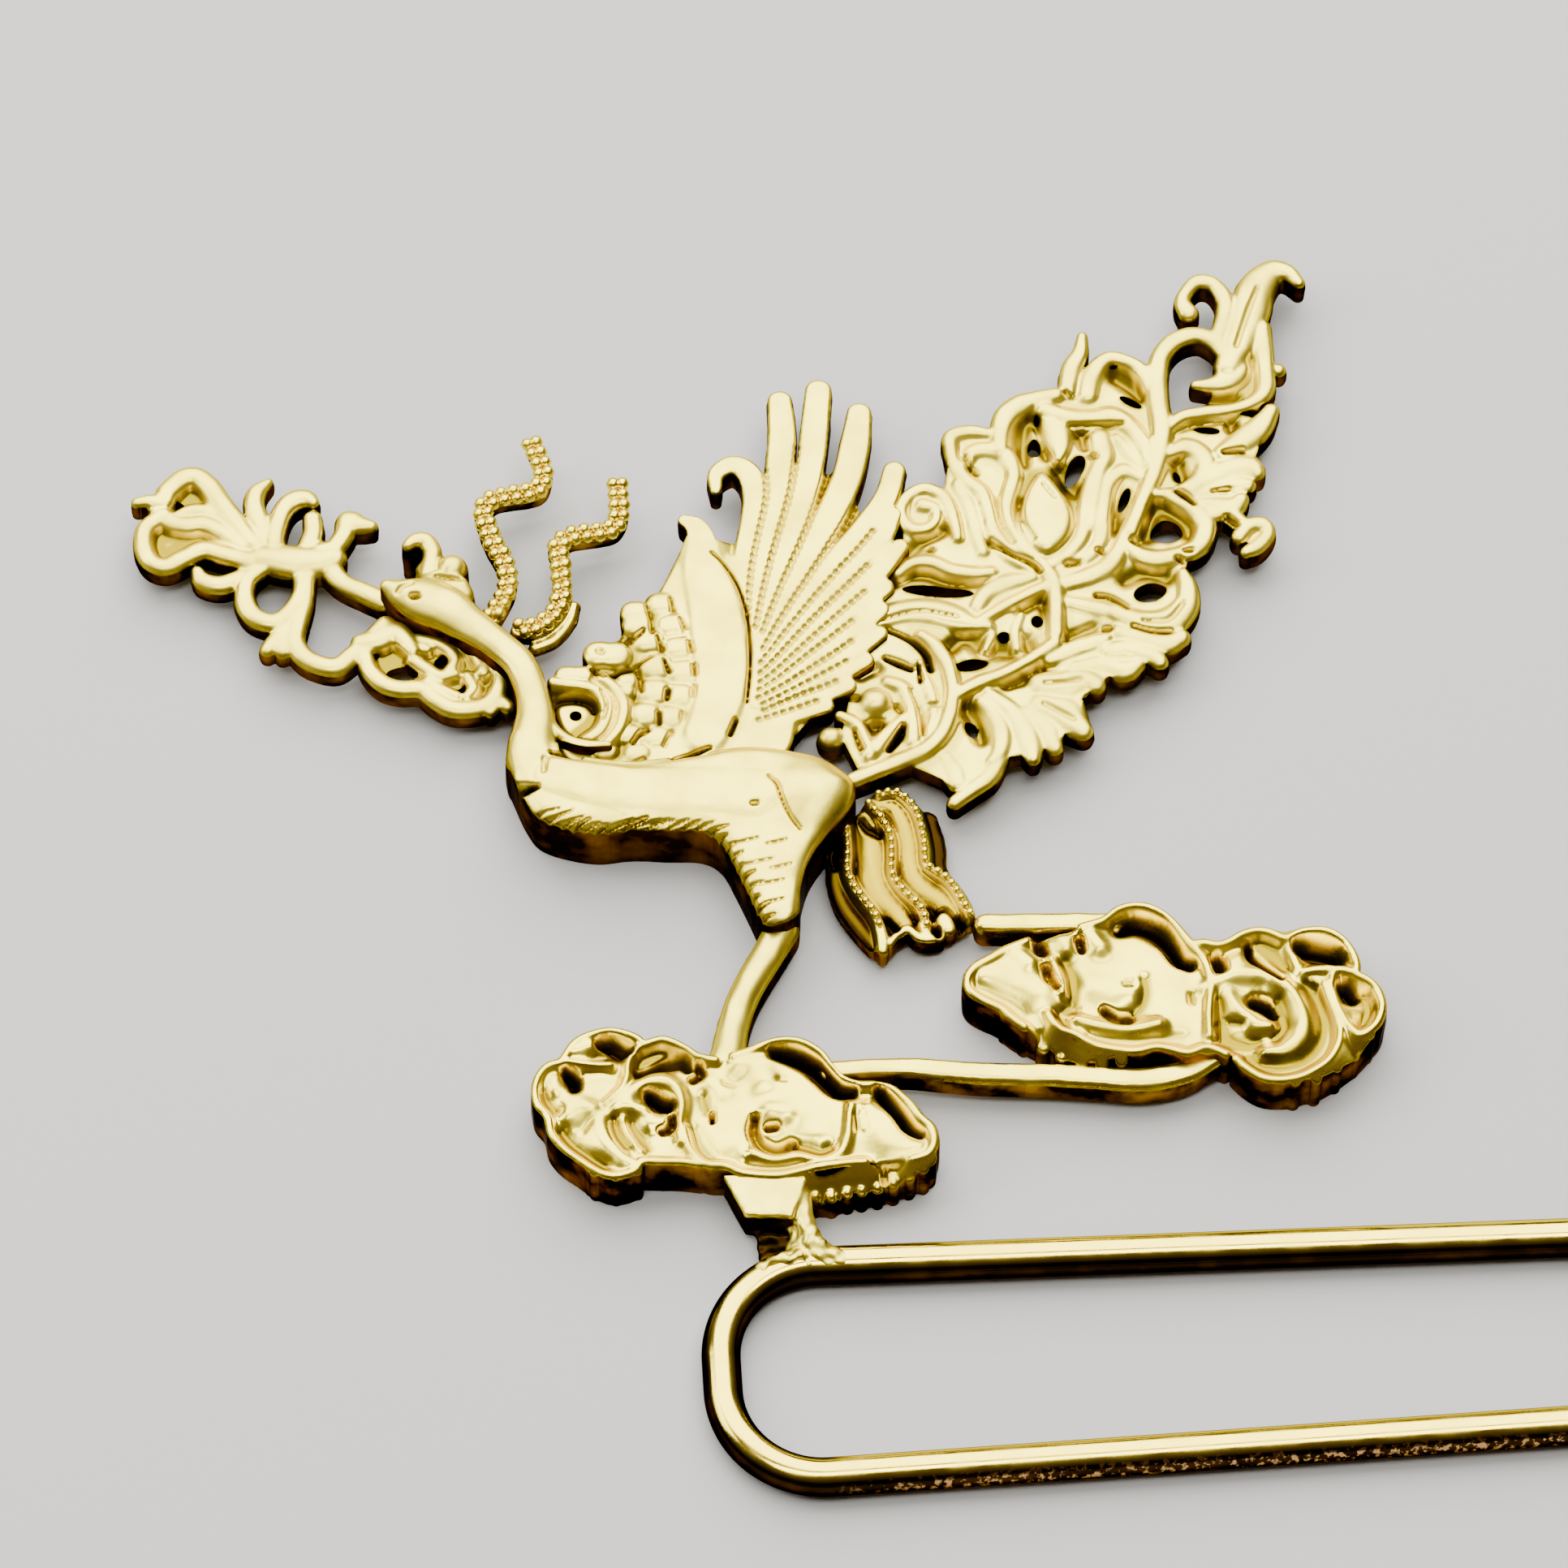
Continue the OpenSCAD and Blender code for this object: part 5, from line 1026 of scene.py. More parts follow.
body_cuts = [
    (.32, [(-34, 4.6, .07), (-33.6, 4, .09), (-33.3, 2.9, .1), (-32.9, 1.8, .09), (-32.4, 1, .07)]),
    (.35, [(-35, 2.8, .13), (-34.8, 2.8, .13)]),
    (.6, [(-46.3, 7, .12), (-45.5, 6.8, .16), (-44.7, 6.6, .13)]),
    (.2, [(-46.7, 6.6, .18), (-46.8, 5.7, .18)]),
    (1.6, [(-48.8, 4.8, .35), (-47.8, 4.7, .22), (-47.2, 4.7, .1)]),
    (.4, [(-39.4, 6.3, .14), (-38.3, 6.5, .16), (-37.4, 6.6, .12)]),
    (.45, [(-53.8, 17.9, .2), (-53.6, 17.9, .2)]),
    (.2, [(-54.7, 18.2, .12), (-54.4, 18.6, .14), (-53.9, 18.8, .12)]),
    (.3, [(-52.4, 19.5, .14), (-51.8, 19.3, .16), (-51.1, 19.2, .14)]),
]

# %% [markdown]
# Short tufts are cut along the belly's edge and down the thigh. Their lengths and depths are
# random, from a fixed seed. Those on the belly are longer than those on the thigh.

# %% Cast the body
TUFT_SEED = 43
EVERY = 7
THIGH_X = -37.5
HAIR_DEPTH = 0.15

body = new_casting(-57, -6.2, -27.5, 24, 0.09)
lay_pad(body, breast_outline, 4.3, edge=1.1, drop=0.65)
for top, roundness, flank, line in body_masses:
    lay_strand(body, line, top, roundness, flank)
lay_knob(body, -51.5, 20.2, .85, 4)
soften(body, 2)
# A groove of negative depth swells the haunch into a dome
cut_groove(body, haunch, -0.8)
tuft_chance = np.random.default_rng(TUFT_SEED)
for x, y in smooth_path(belly_edge, 0.1)[::EVERY]:
    reach = tuft_chance.uniform(0.6, 1.5) if x < THIGH_X else tuft_chance.uniform(0.4, 1)
    rise = tuft_chance.uniform(0.2, 0.4) * reach
    tuft = [(x - 0.4, y - 0.25, .15), (x + 0.3 * reach, y + 0.3 * rise, .1), (x + reach, y + rise, .05)]
    cut_groove(body, tuft, tuft_chance.uniform(0.15, 0.5))
for x, y, reach in thigh_hairs:
    cut_groove(body, [(x, y, .07), (x + 0.5 * reach, y + 0.1, .09), (x + reach, y + 0.25, .06)], HAIR_DEPTH)
cut_table(body, body_cuts)
crane_body = skin(body, "crane_body", BODY_BACK, satin_gold, lump=0.03, seed=41, hollow_depth=1.3,
                  groove_depth=0.6)

# %% [markdown]
# ## Tail, legs and bars
# The tail is four soft bands that end in ragged tips, with a ridge between each two that carries
# a row of beads. The ridges are cast here, and the beads follow with those of the plumes.

# %% The tail's bands
TAIL_BACK = 0.5
tail_bands = [
    (1.55, [(-30.4, 2.4, .4), (-30.5, .6, .45), (-30.5, -1, .45), (-30.1, -2.6, .5), (-29.2, -4.2, .5),
            (-28.6, -5.2, .4)]),
    (1.3, [(-24.9, 3, .5), (-24.6, 1.4, .55), (-24.6, -.2, .5), (-24, -1.6, .5), (-23.4, -2.8, .5),
           (-23.1, -3.9, .4)]),
    (1.8, [(-28.6, 3, .5), (-28.4, 1.6, .8), (-28.3, .2, .9), (-28.3, -1, .9), (-27.9, -2.2, .85),
           (-27.1, -3.3, .6), (-26.7, -4.2, .45)]),
    (1.8, [(-28, 4, .4), (-26.9, 3.6, .5), (-26.4, 2.6, .55), (-26.2, 1.3, .6), (-26.2, 0, .6),
           (-26, -1, .65), (-25.4, -1.9, .7), (-24.6, -2.6, .7), (-24.1, -3.4, .6)]),
    (2.05, [(-24.5, -4, .45), (-24.3, -4.5, .5)]),
    (2.1, [(-28.2, -4.2, .3), (-28.1, -5, .35), (-28.1, -5.8, .3)]),
    (2.0, [(-27.7, -5.4, .2), (-27.1, -4.7, .22), (-26.6, -4.5, .25), (-26.1, -5, .25), (-25.5, -5.2, .25),
           (-24.8, -5.1, .25)]),
    (2.0, [(-25.7, -4.2, .3), (-25.5, -5, .3)]),
]
tail_bead_lines = [
    [(-29.7, 2.7), (-29.7, .9), (-29.8, -.5), (-29.5, -1.6), (-29, -2.5), (-28.5, -3.3), (-28.2, -4.2)],
    [(-28.3, 3.7), (-27.6, 2.6), (-27.2, 1.5), (-27.2, .4), (-27.3, -.7), (-27.1, -1.4), (-26.6, -2.2),
     (-26.1, -2.8), (-25.7, -3.4), (-25.5, -4.4)],
    [(-27.7, 4.3), (-26.7, 4.4), (-26, 3.8), (-25.6, 3), (-25.4, 2), (-25.3, .9), (-25.3, -.3),
     (-24.9, -.8), (-24.3, -1.3), (-23.8, -2), (-23.4, -2.9), (-23, -3.8)],
]
tail_floor = [
    (-30.6, 2.4), (-30.9, -.4), (-30.4, -2.6), (-29.4, -4.6), (-28.3, -6), (-27.8, -5.5), (-26.6, -4.7),
    (-25.6, -5.3), (-24.2, -4.9), (-23, -4.2), (-23.6, -2.2), (-24.6, -1), (-24.3, .8), (-24.6, 3),
    (-26, 4), (-28, 4.2), (-29.6, 3),
]
tail_cuts = [
    (.5, [(-30.4, 1.5, .18), (-30.6, .8, .25), (-30.5, 0, .2)]),
    (.4, [(-28.8, 2.8, .2), (-28.4, 2.2, .3), (-27.9, 1.9, .25)]),
    (.6, [(-27.7, -3.8, .15), (-27.3, -4.4, .22)]),
    (.35, [(-25.1, -3.8, .12), (-24.5, -3.3, .14), (-23.9, -3.9, .12)]),
    (.5, [(-25, -4.7, .2), (-24.9, -5, .2)]),
    (.5, [(-23.7, -4.3, .2), (-23.6, -4.6, .2)]),
]

# %% Cast the tail
tail = new_casting(-32, -7.4, -21.6, 5.4, 0.08)
lay_floor(tail, tail_floor, 1.2)
lay_table(tail, tail_bands, roundness=0.45)
for line in tail_bead_lines:
    lay_strand(tail, [(x, y, .26) for x, y in line], 2.1, flank=2.0)
soften(tail)
cut_table(tail, tail_cuts)
tail_cast = skin(tail, "tail_cast", TAIL_BACK, deep_gold, seed=51, hollow_depth=0.6, hollow_reach=1.1)

# %% [markdown]
# The standing leg is a round strand, and the trailing leg and the strut between the clouds are
# flat-topped bars with upright walls. Each bar is laid twice, a wide strand and a narrower one
# above it, and softening makes one rounded edge of the two.

# %% The legs and the strut
BAR_BACK = 0.7
standing_leg_line = [
    (-33.8, -4.4, 1), (-34.6, -5.8, .95), (-35.4, -7.1, .93), (-36.3, -8.8, .9), (-36.9, -10.5, .9),
    (-37.3, -12.2, 1), (-37.7, -13.2, 1.05),
]
trailing_leg_line = [(-22.2, -4.6, .65), (-20.3, -4.7, .67), (-17.7, -4.8, .67), (-15, -5, .68)]
strut_line = [
    (-31.6, -13.5, .6), (-29.5, -13.5, .6), (-27, -13.6, .65), (-25, -13.9, .68), (-22.8, -14.2, .7),
    (-19.3, -14.5, .7), (-16.7, -14.8, .72), (-14.1, -15.1, .75), (-11.8, -14.8, .72), (-9.8, -14, .5),
]


def cast_bar(name, line, seed):
    """A flat-topped bar with soft edges, drawn through its middle line."""
    bar = new_casting(min(p[0] for p in line) - 2, -17.5, max(p[0] for p in line) + 2, -2.5)
    for share, top in ((1.0, 2.3), (0.82, 2.5)):
        lay_strand(bar, broaden(line, share), top, roundness=0.12)
    soften(bar, 2)
    return skin(bar, name, BAR_BACK, bright_gold, lump=0.03, seed=seed)


leg = new_casting(-40, -14.6, -31.6, -2)
lay_strand(leg, standing_leg_line, 3.0, roundness=0.9)
standing_leg = skin(leg, "cast_standing_leg", BAR_BACK, satin_gold, lump=0.04, seed=61)
trailing_leg = cast_bar("cast_trailing_leg", trailing_leg_line, 71)
cloud_strut = cast_bar("cast_strut", strut_line, 72)

# %% [markdown]
# ## The two clouds
# Each cloud is a heap of scrolls. Their lobes are shallow dishes with a thin bright rim, and the
# dishes run into each other. So a cloud is laid as one soft cushion, which broad swells raise,
# then thin rims with gentle flanks, and last the pits are sunk beside the rims. A deep pit is cut
# as it stands. A shallow one becomes a broad soft dish, painted with the shade of a deeper pit.
# Below the near edge a thinner ruffle stands out, with a row of small pleats, which are x and y alone.

# %% The upper cloud's forms
upper_cloud_outline = [
    (-23.3, -8.5), (-22, -7.3), (-20.3, -6.4), (-17.4, -5.8), (-15.3, -5.1), (-14, -4.5), (-12.3, -5.2),
    (-11, -6.9), (-9.2, -7.3), (-7, -6.6), (-3.4, -6.7), (-1.8, -8), (-1.4, -9.8), (-.4, -11.2),
    (-.7, -12.8), (-2.2, -13.4), (-3, -14.4), (-4.6, -15.7), (-6.6, -16.1), (-8.2, -15.3), (-9.2, -14.3),
    (-11.4, -14.1), (-13.4, -13.7), (-15.6, -13.7), (-17.6, -12.8), (-18.9, -11.9), (-20.4, -12),
    (-21.6, -10.8), (-23.2, -9.9),
]
upper_cloud_swells = [
    (3.3, [(-22.4, -8.4, .7), (-21, -8.6, 1.1), (-19.6, -9.6, .9)]),
    (3.3, [(-20.6, -7, .5), (-19.9, -7.8, .5)]),
    (3.3, [(-17.9, -6.5, .5), (-17.8, -7, .4)]),
    (3.4, [(-16.4, -6.2, .55), (-15.9, -7, .5)]),
    (3.2, [(-16.6, -9.4, .8), (-15.4, -9.8, .9), (-14.6, -9.9, .8)]),
    (3.1, [(-14, -7.8, .9), (-12.6, -9, 1), (-12, -10.6, 1), (-12.8, -12, .7)]),
    (3.25, [(-17.6, -11.5, .3), (-16.3, -12, .35), (-14.6, -12.3, .4), (-13, -12.2, .35)]),
    (3.4, [(-9.8, -9.7, .45), (-8.8, -9.3, .5), (-7.6, -9.2, .5), (-6.4, -9.4, .5), (-5.5, -10.3, .5),
           (-4.9, -11.4, .55), (-4.7, -12.5, .65), (-5, -13.5, .7), (-5.9, -14.3, .6), (-7, -14.3, .4)]),
    (3.3, [(-8.9, -10.6, .4), (-8.4, -11.5, .45), (-7.5, -12.4, .45), (-6.6, -12.6, .3)]),
    (3.2, [(-8.4, -8.3, .4), (-8.2, -8.2, .4)]),
    (3.3, [(-5.2, -6.9, .25), (-5, -8.2, .3), (-4.6, -9.4, .3), (-3.8, -9.9, .3)]),
    (3.2, [(-2.6, -11.7, .4), (-2.2, -12.6, .35)]),
]
upper_cloud_rims = [
    [(-16.8, -5.7, .25), (-15.5, -5.3, .2), (-14.7, -4.7, .2), (-13.9, -4.5, .2), (-13, -4.6, .2),
     (-12.2, -5.1, .2), (-11.6, -5.8, .2), (-10.9, -6.9, .25), (-10.3, -7.8, .25), (-9.9, -8.6, .25),
     (-9.8, -10, .25), (-10, -11.6, .25), (-10.1, -13, .2)],
    [(-19.9, -6.4, .2), (-21.2, -6.9, .25), (-22.1, -7.4, .25), (-23, -7.9, .25), (-23.5, -8.6, .25),
     (-23.4, -9.4, .25), (-22.8, -10, .22), (-21.8, -10.6, .22), (-21.2, -11.3, .22), (-20.5, -11.9, .2)],
    [(-18.7, -7.6, .16), (-18.3, -8.7, .18), (-18.2, -9.8, .16)],
    [(-19.1, -11.1, .2), (-18.6, -12, .2), (-17.6, -12.6, .2), (-16.6, -13.3, .22), (-15.6, -13.6, .22),
     (-14.4, -13.8, .22), (-13.2, -13.6, .2), (-12.4, -13.8, .2), (-11.4, -14.1, .2), (-10.3, -13.8, .2),
     (-9.3, -14.3, .2)],
    [(-10.7, -7.2, .2), (-10, -7.1, .22), (-9.2, -7.3, .2), (-8.5, -7.1, .2), (-7.8, -6.7, .2),
     (-7, -6.5, .2), (-6.3, -6.6, .2), (-5.6, -7, .2)],
    [(-5.2, -7.1, .2), (-4.3, -6.7, .2), (-3.2, -6.7, .2), (-2.4, -7.1, .2), (-1.8, -7.9, .2),
     (-1.5, -8.8, .2), (-1.6, -9.5, .22), (-2.4, -9.3, .25), (-3.5, -9.2, .25), (-4.5, -9.3, .22)],
    [(-1.7, -9.6, .2), (-.9, -10.1, .2), (-.4, -10.9, .22), (-.3, -11.8, .25), (-.6, -12.7, .25),
     (-1.2, -13.3, .25), (-1.8, -13.5, .25), (-2.3, -12.9, .22), (-2.8, -11.7, .2), (-2.9, -10.6, .2),
     (-2.9, -9.7, .2)],
    [(-3.4, -10.1, .2), (-3.2, -11.1, .22), (-2.9, -12.2, .25), (-2.8, -13.2, .25), (-3, -14.1, .25),
     (-3.6, -15, .22), (-4.5, -15.6, .22), (-5.4, -16, .22), (-6.4, -16.1, .22), (-7.4, -15.9, .22),
     (-8.2, -15.3, .22), (-8.8, -14.6, .2)],
]
upper_cloud_pits = [
    (1.5, [(-14.6, -5.7, .4), (-13.7, -5.5, .5), (-12.7, -6, .5), (-12, -6.9, .4), (-11.5, -7.9, .35),
           (-10.9, -8.3, .3)]),
    (1.2, [(-19.3, -6.5, .3), (-19.2, -6.9, .3)]),
    (1.0, [(-17, -6.4, .22), (-16.9, -7, .2)]),
    (.8, [(-19, -8.1, .22), (-18.9, -8.7, .25), (-18.5, -9.3, .2)]),
    (.7, [(-17.9, -7.7, .28), (-17.5, -9, .32), (-17.6, -10.4, .25)]),
    (.7, [(-18.1, -10.8, .25), (-17.7, -10.9, .22)]),
    (.6, [(-18.6, -11.1, .25), (-18.2, -11.7, .25)]),
    (.4, [(-23, -9, .2), (-22, -9.6, .25), (-21, -10.3, .3), (-20.4, -11, .25)]),
    (1.0, [(-15.9, -11, .22), (-15.3, -11.5, .32), (-14.7, -11.6, .3)]),
    (.6, [(-14.6, -11.5, .28), (-13.9, -11, .3), (-13.5, -10.1, .3), (-13.5, -9.2, .25)]),
    (.5, [(-14.6, -9.4, .18), (-14.3, -9.4, .18)]),
    (.4, [(-16.9, -12.6, .2), (-15.5, -12.9, .25), (-13.5, -13, .25), (-11.6, -12.9, .2)]),
    (.6, [(-10.9, -10.3, .15), (-10.9, -10.7, .15)]),
    (1.2, [(-9.3, -8.2, .3), (-9.2, -8.7, .3)]),
    (.7, [(-6.8, -7.3, .35), (-6.1, -8, .45), (-5.6, -8.8, .35)]),
    (1.2, [(-7.5, -7.3, .18), (-7.4, -8, .22), (-6.7, -8.8, .2), (-5.8, -9.6, .15)]),
    (1.5, [(-4.5, -7.6, .4), (-3.7, -7.8, .6), (-2.8, -8.1, .5), (-2.6, -8.4, .4)]),
    (1.4, [(-2.3, -10.3, .4), (-2, -10.8, .45)]),
    (.7, [(-1.2, -10.9, .25), (-1.1, -11.8, .28), (-1.5, -12.6, .22)]),
    (.75, [(-4.3, -10, .35), (-4, -10.9, .42), (-3.9, -11.8, .45), (-3.9, -12.8, .45), (-4.2, -13.7, .48),
           (-4.9, -14.5, .48), (-5.9, -14.9, .45), (-7.1, -14.9, .42), (-8, -14.5, .35)]),
    (1.4, [(-7.4, -10.9, .35), (-6.9, -11.1, .4), (-6.5, -11.7, .25)]),
    (.75, [(-6, -10.9, .28), (-5.9, -11.8, .36), (-6, -12.7, .36), (-6.4, -13.3, .26)]),
    (.6, [(-8.9, -12.1, .2), (-8.3, -12.3, .2)]),
    (.75, [(-9.4, -10.8, .28), (-9.5, -12, .4), (-9.2, -13.1, .42), (-8.2, -13.5, .4), (-7.5, -13.5, .3)]),
]
upper_cloud_ruffles = [
    (1.6, [(-22.8, -9.2, .55), (-21.4, -10.2, .6), (-20.3, -11.4, .6), (-19.1, -12.3, .55),
           (-17.9, -13.3, .45), (-16.4, -13.6, .45), (-15, -13.5, .45)]),
    (1.6, [(-8, -14.6, .45), (-6.7, -15.4, .55), (-4.8, -15.5, .6), (-3.3, -14.8, .6), (-1.8, -13.7, .55),
           (-.8, -12.5, .45)]),
]
upper_cloud_pleats = [
    (-21.6, -10.9), (-20.6, -11.8), (-19.6, -12.8), (-18.6, -13.4), (-17.5, -13.9), (-16.4, -14.2),
    (-15.3, -14.1), (-8, -15.1), (-6.9, -15.8), (-5.7, -16.1), (-4.5, -15.9), (-3.3, -15.2), (-2.2, -14.3),
    (-1.3, -13.4),
]

# %% The lower cloud's forms
lower_cloud_outline = [
    (-48.1, -14.4), (-47.4, -12.8), (-46.3, -12), (-45, -11), (-43.4, -10.9), (-42.1, -11.7),
    (-40.8, -11.6), (-39.2, -12.7), (-37.4, -13), (-35.6, -12.3), (-34, -12), (-32.2, -12.8),
    (-31.2, -14.4), (-29.4, -15), (-27.6, -16), (-26.2, -17.8), (-26.1, -19.2), (-27.6, -20), (-31, -19.9),
    (-35, -20.4), (-37.8, -19.8), (-40, -19.3), (-42.4, -19.2), (-43.4, -20), (-45.2, -19.4), (-46.8, -18),
    (-47.4, -16.2),
]
lower_cloud_swells = [
    (3.35, [(-46.4, -12.1, .3), (-45.6, -11.7, .55), (-45, -11.6, .5)]),
    (3.2, [(-47.2, -13.6, .4), (-47.2, -14.2, .4)]),
    (3.1, [(-46.6, -15.2, .5), (-45.6, -14.4, .6), (-44.6, -14, .5)]),
    (3.25, [(-46.4, -16, .5), (-45.6, -15.4, .5)]),
    (3.35, [(-44.9, -15.9, .5), (-44.7, -17, .6), (-44.2, -18.1, .6), (-43.6, -18.9, .5),
            (-43, -19.3, .4)]),
    (3.4, [(-43.7, -15.7, .4), (-43, -14.8, .45), (-42, -14.2, .45), (-41, -14.1, .45), (-40.3, -14.7, .4),
           (-40.1, -15.8, .35), (-40.3, -16.9, .3), (-40.2, -18, .25)]),
    (3.25, [(-42.8, -15.7, .35), (-42.2, -15.8, .3)]),
    (3.2, [(-41.9, -16.6, .5), (-41.3, -16.7, .5)]),
    (3.1, [(-41.9, -18.5, .5), (-40.8, -18.6, .5)]),
    (3.2, [(-43.4, -16.5, .2), (-43.1, -17.5, .25), (-42.5, -18.5, .25)]),
    (3.35, [(-36.7, -13.2, .6), (-35.8, -13.4, .8), (-35.4, -14.3, .7)]),
    (3.2, [(-38.3, -14.3, .5), (-37.6, -15, .6)]),
    (3.2, [(-37.6, -16.8, .9), (-37.4, -18, .9)]),
    (3.3, [(-35.1, -16.3, .5), (-34.4, -16.5, .6)]),
    (3.1, [(-33.6, -15.4, .9), (-32.6, -16.6, 1), (-32.4, -17.6, .7)]),
    (3.3, [(-36.2, -19, .35), (-35, -19.4, .4), (-33.6, -19.3, .35), (-32.4, -19.6, .35),
           (-31.4, -19.2, .35), (-30.9, -18.2, .3), (-30.7, -17.2, .28), (-30.6, -16.2, .25)]),
    (3.35, [(-29.6, -16.6, .5), (-29, -17.8, .9), (-28, -19, .8), (-27, -19.2, .5)]),
]
lower_cloud_rims = [
    [(-46.6, -12.5, .2), (-45.9, -11.5, .2), (-45, -11, .2), (-44, -10.8, .2), (-43, -11, .2),
     (-42.3, -11.4, .2), (-42, -11.8, .2)],
    [(-46.3, -12.6, .2), (-47.4, -12.8, .2), (-48, -13.5, .2), (-48.2, -14.3, .22), (-48.1, -15.2, .22),
     (-47.6, -16, .22), (-47.4, -17.1, .22), (-46.8, -18, .22), (-46, -18.7, .22), (-45.2, -19.4, .22),
     (-44.3, -19.9, .22), (-43.5, -19.9, .22), (-42.8, -19.6, .22), (-42.5, -19.1, .2)],
    [(-46.2, -12.6, .15), (-45.2, -12.8, .16), (-43.9, -12.9, .15)],
    [(-44.3, -15.4, .16), (-43.4, -14.5, .18), (-43, -13.6, .18), (-42.9, -12.9, .18), (-42.6, -12.2, .18),
     (-42, -11.8, .2), (-41, -11.5, .2), (-40.2, -11.8, .2), (-39.5, -12.3, .2), (-39, -12.7, .2),
     (-38, -13, .2)],
    [(-40, -17.2, .2), (-39.7, -18.6, .22), (-38.9, -19.5, .22), (-37.8, -19.7, .22), (-37, -20.1, .22),
     (-35, -20.4, .22), (-33, -20.1, .22), (-31, -19.9, .2), (-30, -19.9, .2)],
    [(-42.5, -19.1, .2), (-41.4, -19.2, .2), (-40.3, -19.3, .2), (-39.2, -19.5, .2)],
    [(-37, -12.8, .25), (-36, -12.5, .22), (-35, -12.1, .2), (-34, -11.95, .2), (-33, -12.2, .2),
     (-32.1, -12.9, .2), (-31.6, -13.8, .2), (-31, -14.6, .2), (-30.2, -15, .2), (-29.3, -15.1, .2),
     (-28.3, -15.4, .2), (-27.4, -16.3, .22), (-26.8, -17.3, .25), (-26.2, -18, .25), (-26.1, -18.9, .25),
     (-26.5, -19.6, .22), (-27.4, -19.9, .2)],
]
lower_cloud_pits = [
    (1.3, [(-44.4, -11.5, .25), (-43.9, -11.5, .4), (-43.3, -11.9, .4), (-42.9, -12, .25)]),
    (.5, [(-44.6, -12.3, .3), (-43.6, -12.4, .3)]),
    (1.4, [(-46.4, -13.2, .25), (-46.1, -13.6, .38), (-46, -14.1, .3)]),
    (.6, [(-47.7, -14.4, .2), (-47.5, -15, .28), (-47.1, -15.5, .25)]),
    (.3, [(-44.9, -13.8, .4), (-43.9, -13.8, .4)]),
    (.7, [(-42.5, -13.3, .25), (-42.2, -12.6, .35), (-41.5, -12.4, .4), (-40.9, -12.4, .4)]),
    (1.2, [(-42.4, -13.5, .2), (-41.6, -13.2, .22), (-40.7, -12.9, .35), (-40, -12.8, .35),
           (-39.6, -13.2, .25)]),
    (1.0, [(-39, -13.2, .2), (-38.9, -13.7, .22), (-39.3, -14, .2)]),
    (.35, [(-44.2, -15.4, .15), (-44.9, -16, .18), (-45.7, -16.8, .18)]),
    (.7, [(-46.8, -16.9, .25), (-46.3, -17.8, .3), (-45.4, -18.6, .3), (-44.6, -19.2, .28)]),
    (.7, [(-43.9, -16.3, .18), (-43.7, -17.2, .25), (-43.2, -18, .25)]),
    (.6, [(-42.9, -16.6, .22), (-42.5, -17.4, .28), (-42.1, -18.3, .25)]),
    (1.4, [(-41.8, -14.9, .3), (-41.4, -15.3, .45), (-40.9, -15.5, .38)]),
    (1.0, [(-40.6, -16.3, .2), (-40.7, -17, .25), (-41.2, -17.2, .2)]),
    (.5, [(-39.5, -17.2, .22), (-39.2, -18.2, .25), (-38.7, -18.9, .22)]),
    (.6, [(-38.8, -15.2, .2), (-38.7, -16, .2)]),
    (.8, [(-38.4, -16.3, .13), (-38.4, -16.8, .13)]),
    (1.5, [(-34.6, -12.6, .3), (-33.7, -12.8, .42), (-32.8, -13.4, .42), (-32, -14.3, .42),
           (-31.3, -15.1, .38), (-30.5, -15.3, .28)]),
    (.35, [(-34.4, -14.3, .15), (-34.2, -14.3, .15)]),
    (.35, [(-37.5, -14.3, .2), (-37, -14.4, .2)]),
    (.8, [(-36, -16.6, .2), (-36.1, -17.5, .28), (-35.7, -18.3, .35), (-34.9, -18.7, .35),
          (-34.1, -18.4, .28)]),
    (.9, [(-35.3, -17.3, .2), (-34.9, -17.3, .18)]),
    (.7, [(-33.9, -18.4, .2), (-33.2, -18.7, .28), (-32.5, -19, .25), (-31.9, -18.8, .22)]),
    (.4, [(-36.6, -19.8, .2), (-35, -20, .22), (-33.4, -19.8, .2)]),
    (.5, [(-30.4, -16.9, .18), (-30.3, -17.7, .22)]),
    (1.4, [(-28.9, -15.5, .3), (-28.6, -16, .3), (-28, -16.9, .26), (-27.5, -17.8, .26),
           (-26.9, -18.3, .2)]),
]
lower_cloud_ruffles = [
    (1.6, [(-33.9, -20.8, .5), (-32.3, -21.1, .55), (-30.8, -20.7, .55), (-29.5, -20.6, .55),
           (-28, -20.2, .55), (-26.5, -19.7, .5)]),
    (1.6, [(-45.3, -19.2, .4), (-43.7, -19.4, .4), (-42.5, -18.8, .4), (-40.6, -18.6, .4),
           (-39, -19.2, .4)]),
]
lower_cloud_pleats = [
    (-33.8, -21.1), (-33, -21.3), (-32.1, -21.4), (-31.2, -21.2), (-30.4, -21.1), (-29.5, -21),
    (-28.6, -20.8), (-27.7, -20.5), (-26.9, -20.2), (-45.2, -19.5), (-44.1, -19.9), (-42.9, -19.6),
    (-41.4, -19.1), (-40.1, -19.1),
]

# %% Cast the clouds
CLOUD_BACK = 0.0
CUSHION = 2.85
PLEAT_TOP = 2.35
RIM_TOP = 3.4
DEEP_PIT = 0.75
SWELL_WIDTH = 1.35
RIM_WIDTH = 1.15
DISH_WIDTH = 1.7
DISH_DEPTH = 0.36
# A shallow dish is painted with the shade of a pit this many times as deep
DISH_TONE = 3.2


